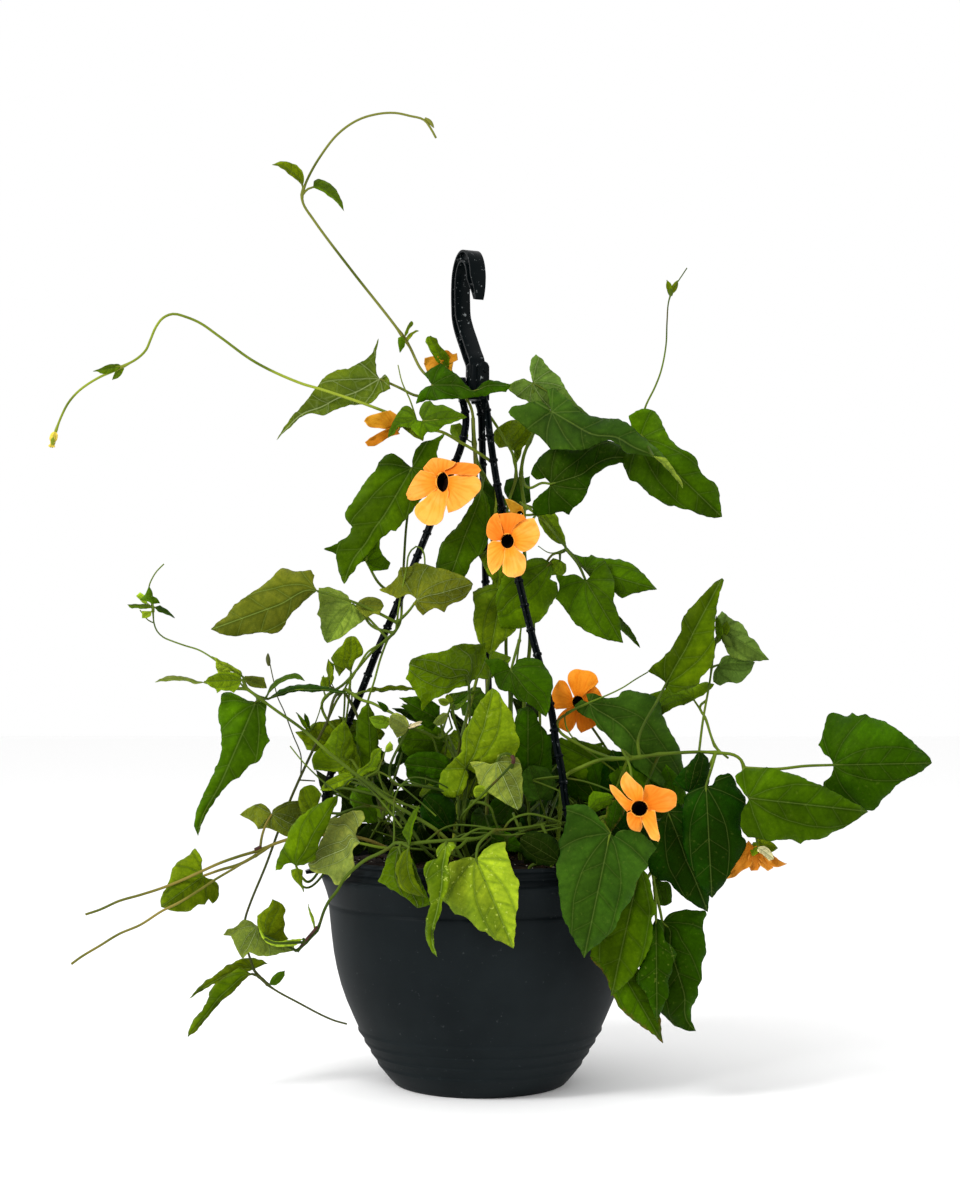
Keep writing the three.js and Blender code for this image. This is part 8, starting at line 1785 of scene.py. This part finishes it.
def make_hook():
    forward = Vector((math.cos(HOOK_TURN), math.sin(HOOK_TURN), 0))
    across = Vector((-forward.y, forward.x, 0))
    way = [Vector((HUB_X, 0, z)) + forward * f for f, z in HOOK_WAY]
    line = soft_line(way, STRAP_STEP, SMOOTH)
    wide = STRAP_HALF_WIDE
    section = strap_section()
    shape = bmesh.new()
    rings = []
    last = len(line) - 1
    for i, point in enumerate(line):
        along = (line[min(i + 1, last)] - line[max(i - 1, 0)]).normalized()
        out = along.cross(across).normalized()
        solid = i < END_RINGS or i > last - END_RINGS or i % CROSS_RIB == 0
        left = min((line[last] - point).length / TIP_LONG, 1)
        trim = TIP_THIN + (1 - TIP_THIN) * left ** 0.6
        narrow = TIP_NARROW + (1 - TIP_NARROW) * left
        point = point + across * (TIP_ASIDE * wide * (1 - narrow))
        ring = []
        for n, b in section:
            if solid and abs(b) < wide:
                b = math.copysign(wide - RIB_SUNK, b)
            ring.append(shape.verts.new((point + out * n * trim + across * b * narrow) * MM))
        rings.append(ring)
    count = len(section)
    for low, high in zip(rings, rings[1:]):
        for k in range(count):
            shape.faces.new([low[k], low[(k + 1) % count], high[(k + 1) % count], high[k]])
    shape.faces.new(rings[0][::-1])
    shape.faces.new(rings[-1])
    bmesh.ops.recalc_face_normals(shape, faces=shape.faces[:])
    hub = bmesh.new()
    lathe(hub, HUB_SKIN, 32)
    bmesh.ops.translate(hub, verts=hub.verts[:], vec=(HUB_X * MM, 0, 0))
    add_to(shape, hub)
    for turn, head, *_ in ARMS.values():
        pin = bmesh.new()
        lathe(pin, PIN_SKIN, 16)
        seat = (Matrix.Translation((HUB_X * MM, 0, (head - PIN_DOWN) * MM))
                @ Matrix.Rotation(math.radians(turn), 4, "Z")
                @ Matrix.Rotation(math.pi / 2, 4, "Y"))
        bmesh.ops.transform(pin, verts=pin.verts[:], matrix=seat)
        add_to(shape, pin)
    piece = piece_from(shape, "hook_strap", [HANGER_PLASTIC], "hanger_plastic", "hook")
    edge = piece.modifiers.new("soft_edges", "BEVEL")
    edge.width = SOFT_EDGE * MM
    edge.segments = 2
    edge.limit_method = "ANGLE"


def beads_on(line, start):
    """The beads along a rod, each as a short run that is slimmer at its ends."""
    beads = []
    due = start
    run = 0
    for before, point in zip(line, line[1:]):
        step = (point - before).length / MM
        while due < run + step:
            along = (point - before).normalized() * MM
            middle = before + along * (due - run)
            beads.append(([middle + along * (BEAD_LONG * k) for k, _ in BEAD_SHAPE],
                          [BEAD_R * s * MM for _, s in BEAD_SHAPE]))
            due += BEAD_PITCH
        run += step
    return beads


def make_arm(name, turn, head, bead_start, route):
    """An arm: its ribbed rod, its beads, its plate on the hub and its clip on the lip."""
    angle = math.radians(turn)
    radial = Vector((math.cos(angle), math.sin(angle), 0))
    top = (Vector((HUB_X, 0, ROD_TOP[1])) + radial * ROD_TOP[0]) * MM
    low = (radial * ROD_FOOT[0] + Vector((0, 0, ROD_FOOT[1]))) * MM
    line = soft_line([top, *spots(route), low], ROD_STEP * MM, SMOOTH)
    looks = (HANGER_PLASTIC, "hanger_plastic", name)
    tubes_piece([(line, [ROD_R * MM] * len(line))], name + "_rod", *looks,
                cross=ROD_RIB / ROD_R)
    tubes_piece(beads_on(line, bead_start), name + "_beads", *looks, sides=4)
    shape = bmesh.new()
    plate = [(-3.4, 440), (3.4, 440), (3.4, head - 3), (2, head - 0.8), (0, head),
             (-2, head - 0.8), (-3.4, head - 3)]
    turned = (Matrix.Translation((HUB_X * MM, 0, 0)) @ Matrix.Rotation(angle, 4, "Z")
              @ Matrix.Translation((PLATE_AT * MM, 0, 0))
              @ Matrix.Rotation(math.pi / 2, 4, "Z"))
    slab(shape, plate, PLATE_THICK, turned, MOULDED_EDGE * MM)
    slab(shape, CLIP, CLIP_WIDE, Matrix.Rotation(angle, 4, "Z"), MOULDED_EDGE * MM)
    piece_from(shape, name + "_ends", [HANGER_PLASTIC], *looks[1:], smooth=False)


# ---- the whole ---------------------------------------------------------------------------
make_pot()
make_soil()
make_hook()
for arm, facts in ARMS.items():
    make_arm(arm, *facts)
carried = [flower(name, text) for name, text in FLOWERS.items()]
for name, text in VINES.items():
    grow_vine(name, text, [bloom for vine, bloom in carried if vine == name])

# ---- floor, light and camera -------------------------------------------------------------
FLOOR_HALF = 8
LENS = 56.4
SHIFT_UP = 0.07

ground = bmesh.new()
bmesh.ops.create_grid(ground, x_segments=1, y_segments=1, size=FLOOR_HALF)
floor = show("floor", mesh_of(ground, "floor"))
paint = Finish("floor_paint", 0.9)
floor.data.materials.append(paint.shade((0.97, 0.97, 0.97), Specular_IOR_Level=0.1))

world = bpy.data.worlds.new("studio")
world.use_nodes = True
background = world.node_tree.nodes["Background"].inputs
background["Color"].default_value = (1, 1, 1, 1)
background["Strength"].default_value = 1.0
bpy.context.scene.world = world


def area_light(name, stands_at, aim, size, power):
    lamp = bpy.data.lights.new(name, "AREA")
    lamp.shape = "SQUARE"
    lamp.size = size
    lamp.energy = power
    holder = show(name, lamp)
    holder.location = stands_at
    way = Vector(aim) - Vector(stands_at)
    holder.rotation_euler = way.to_track_quat("-Z", "Y").to_euler()


area_light("key", (-1.5, -1.2, 1.6), aim=(0, 0, 0.3), size=0.6, power=38)
area_light("fill", (1.4, -1.0, 0.9), aim=(0, 0, 0.3), size=1.4, power=4)

camera = bpy.data.cameras.new("camera")
camera.sensor_width = 36
camera.lens = LENS
camera.shift_y = SHIFT_UP
camera.clip_end = 50
holder = show("camera", camera)
holder.location = (0, -EYE_BACK * MM, EYE_UP * MM)
holder.rotation_euler = (math.pi / 2, 0, 0)
bpy.context.scene.camera = holder
bpy.context.scene.view_settings.view_transform = "Standard"
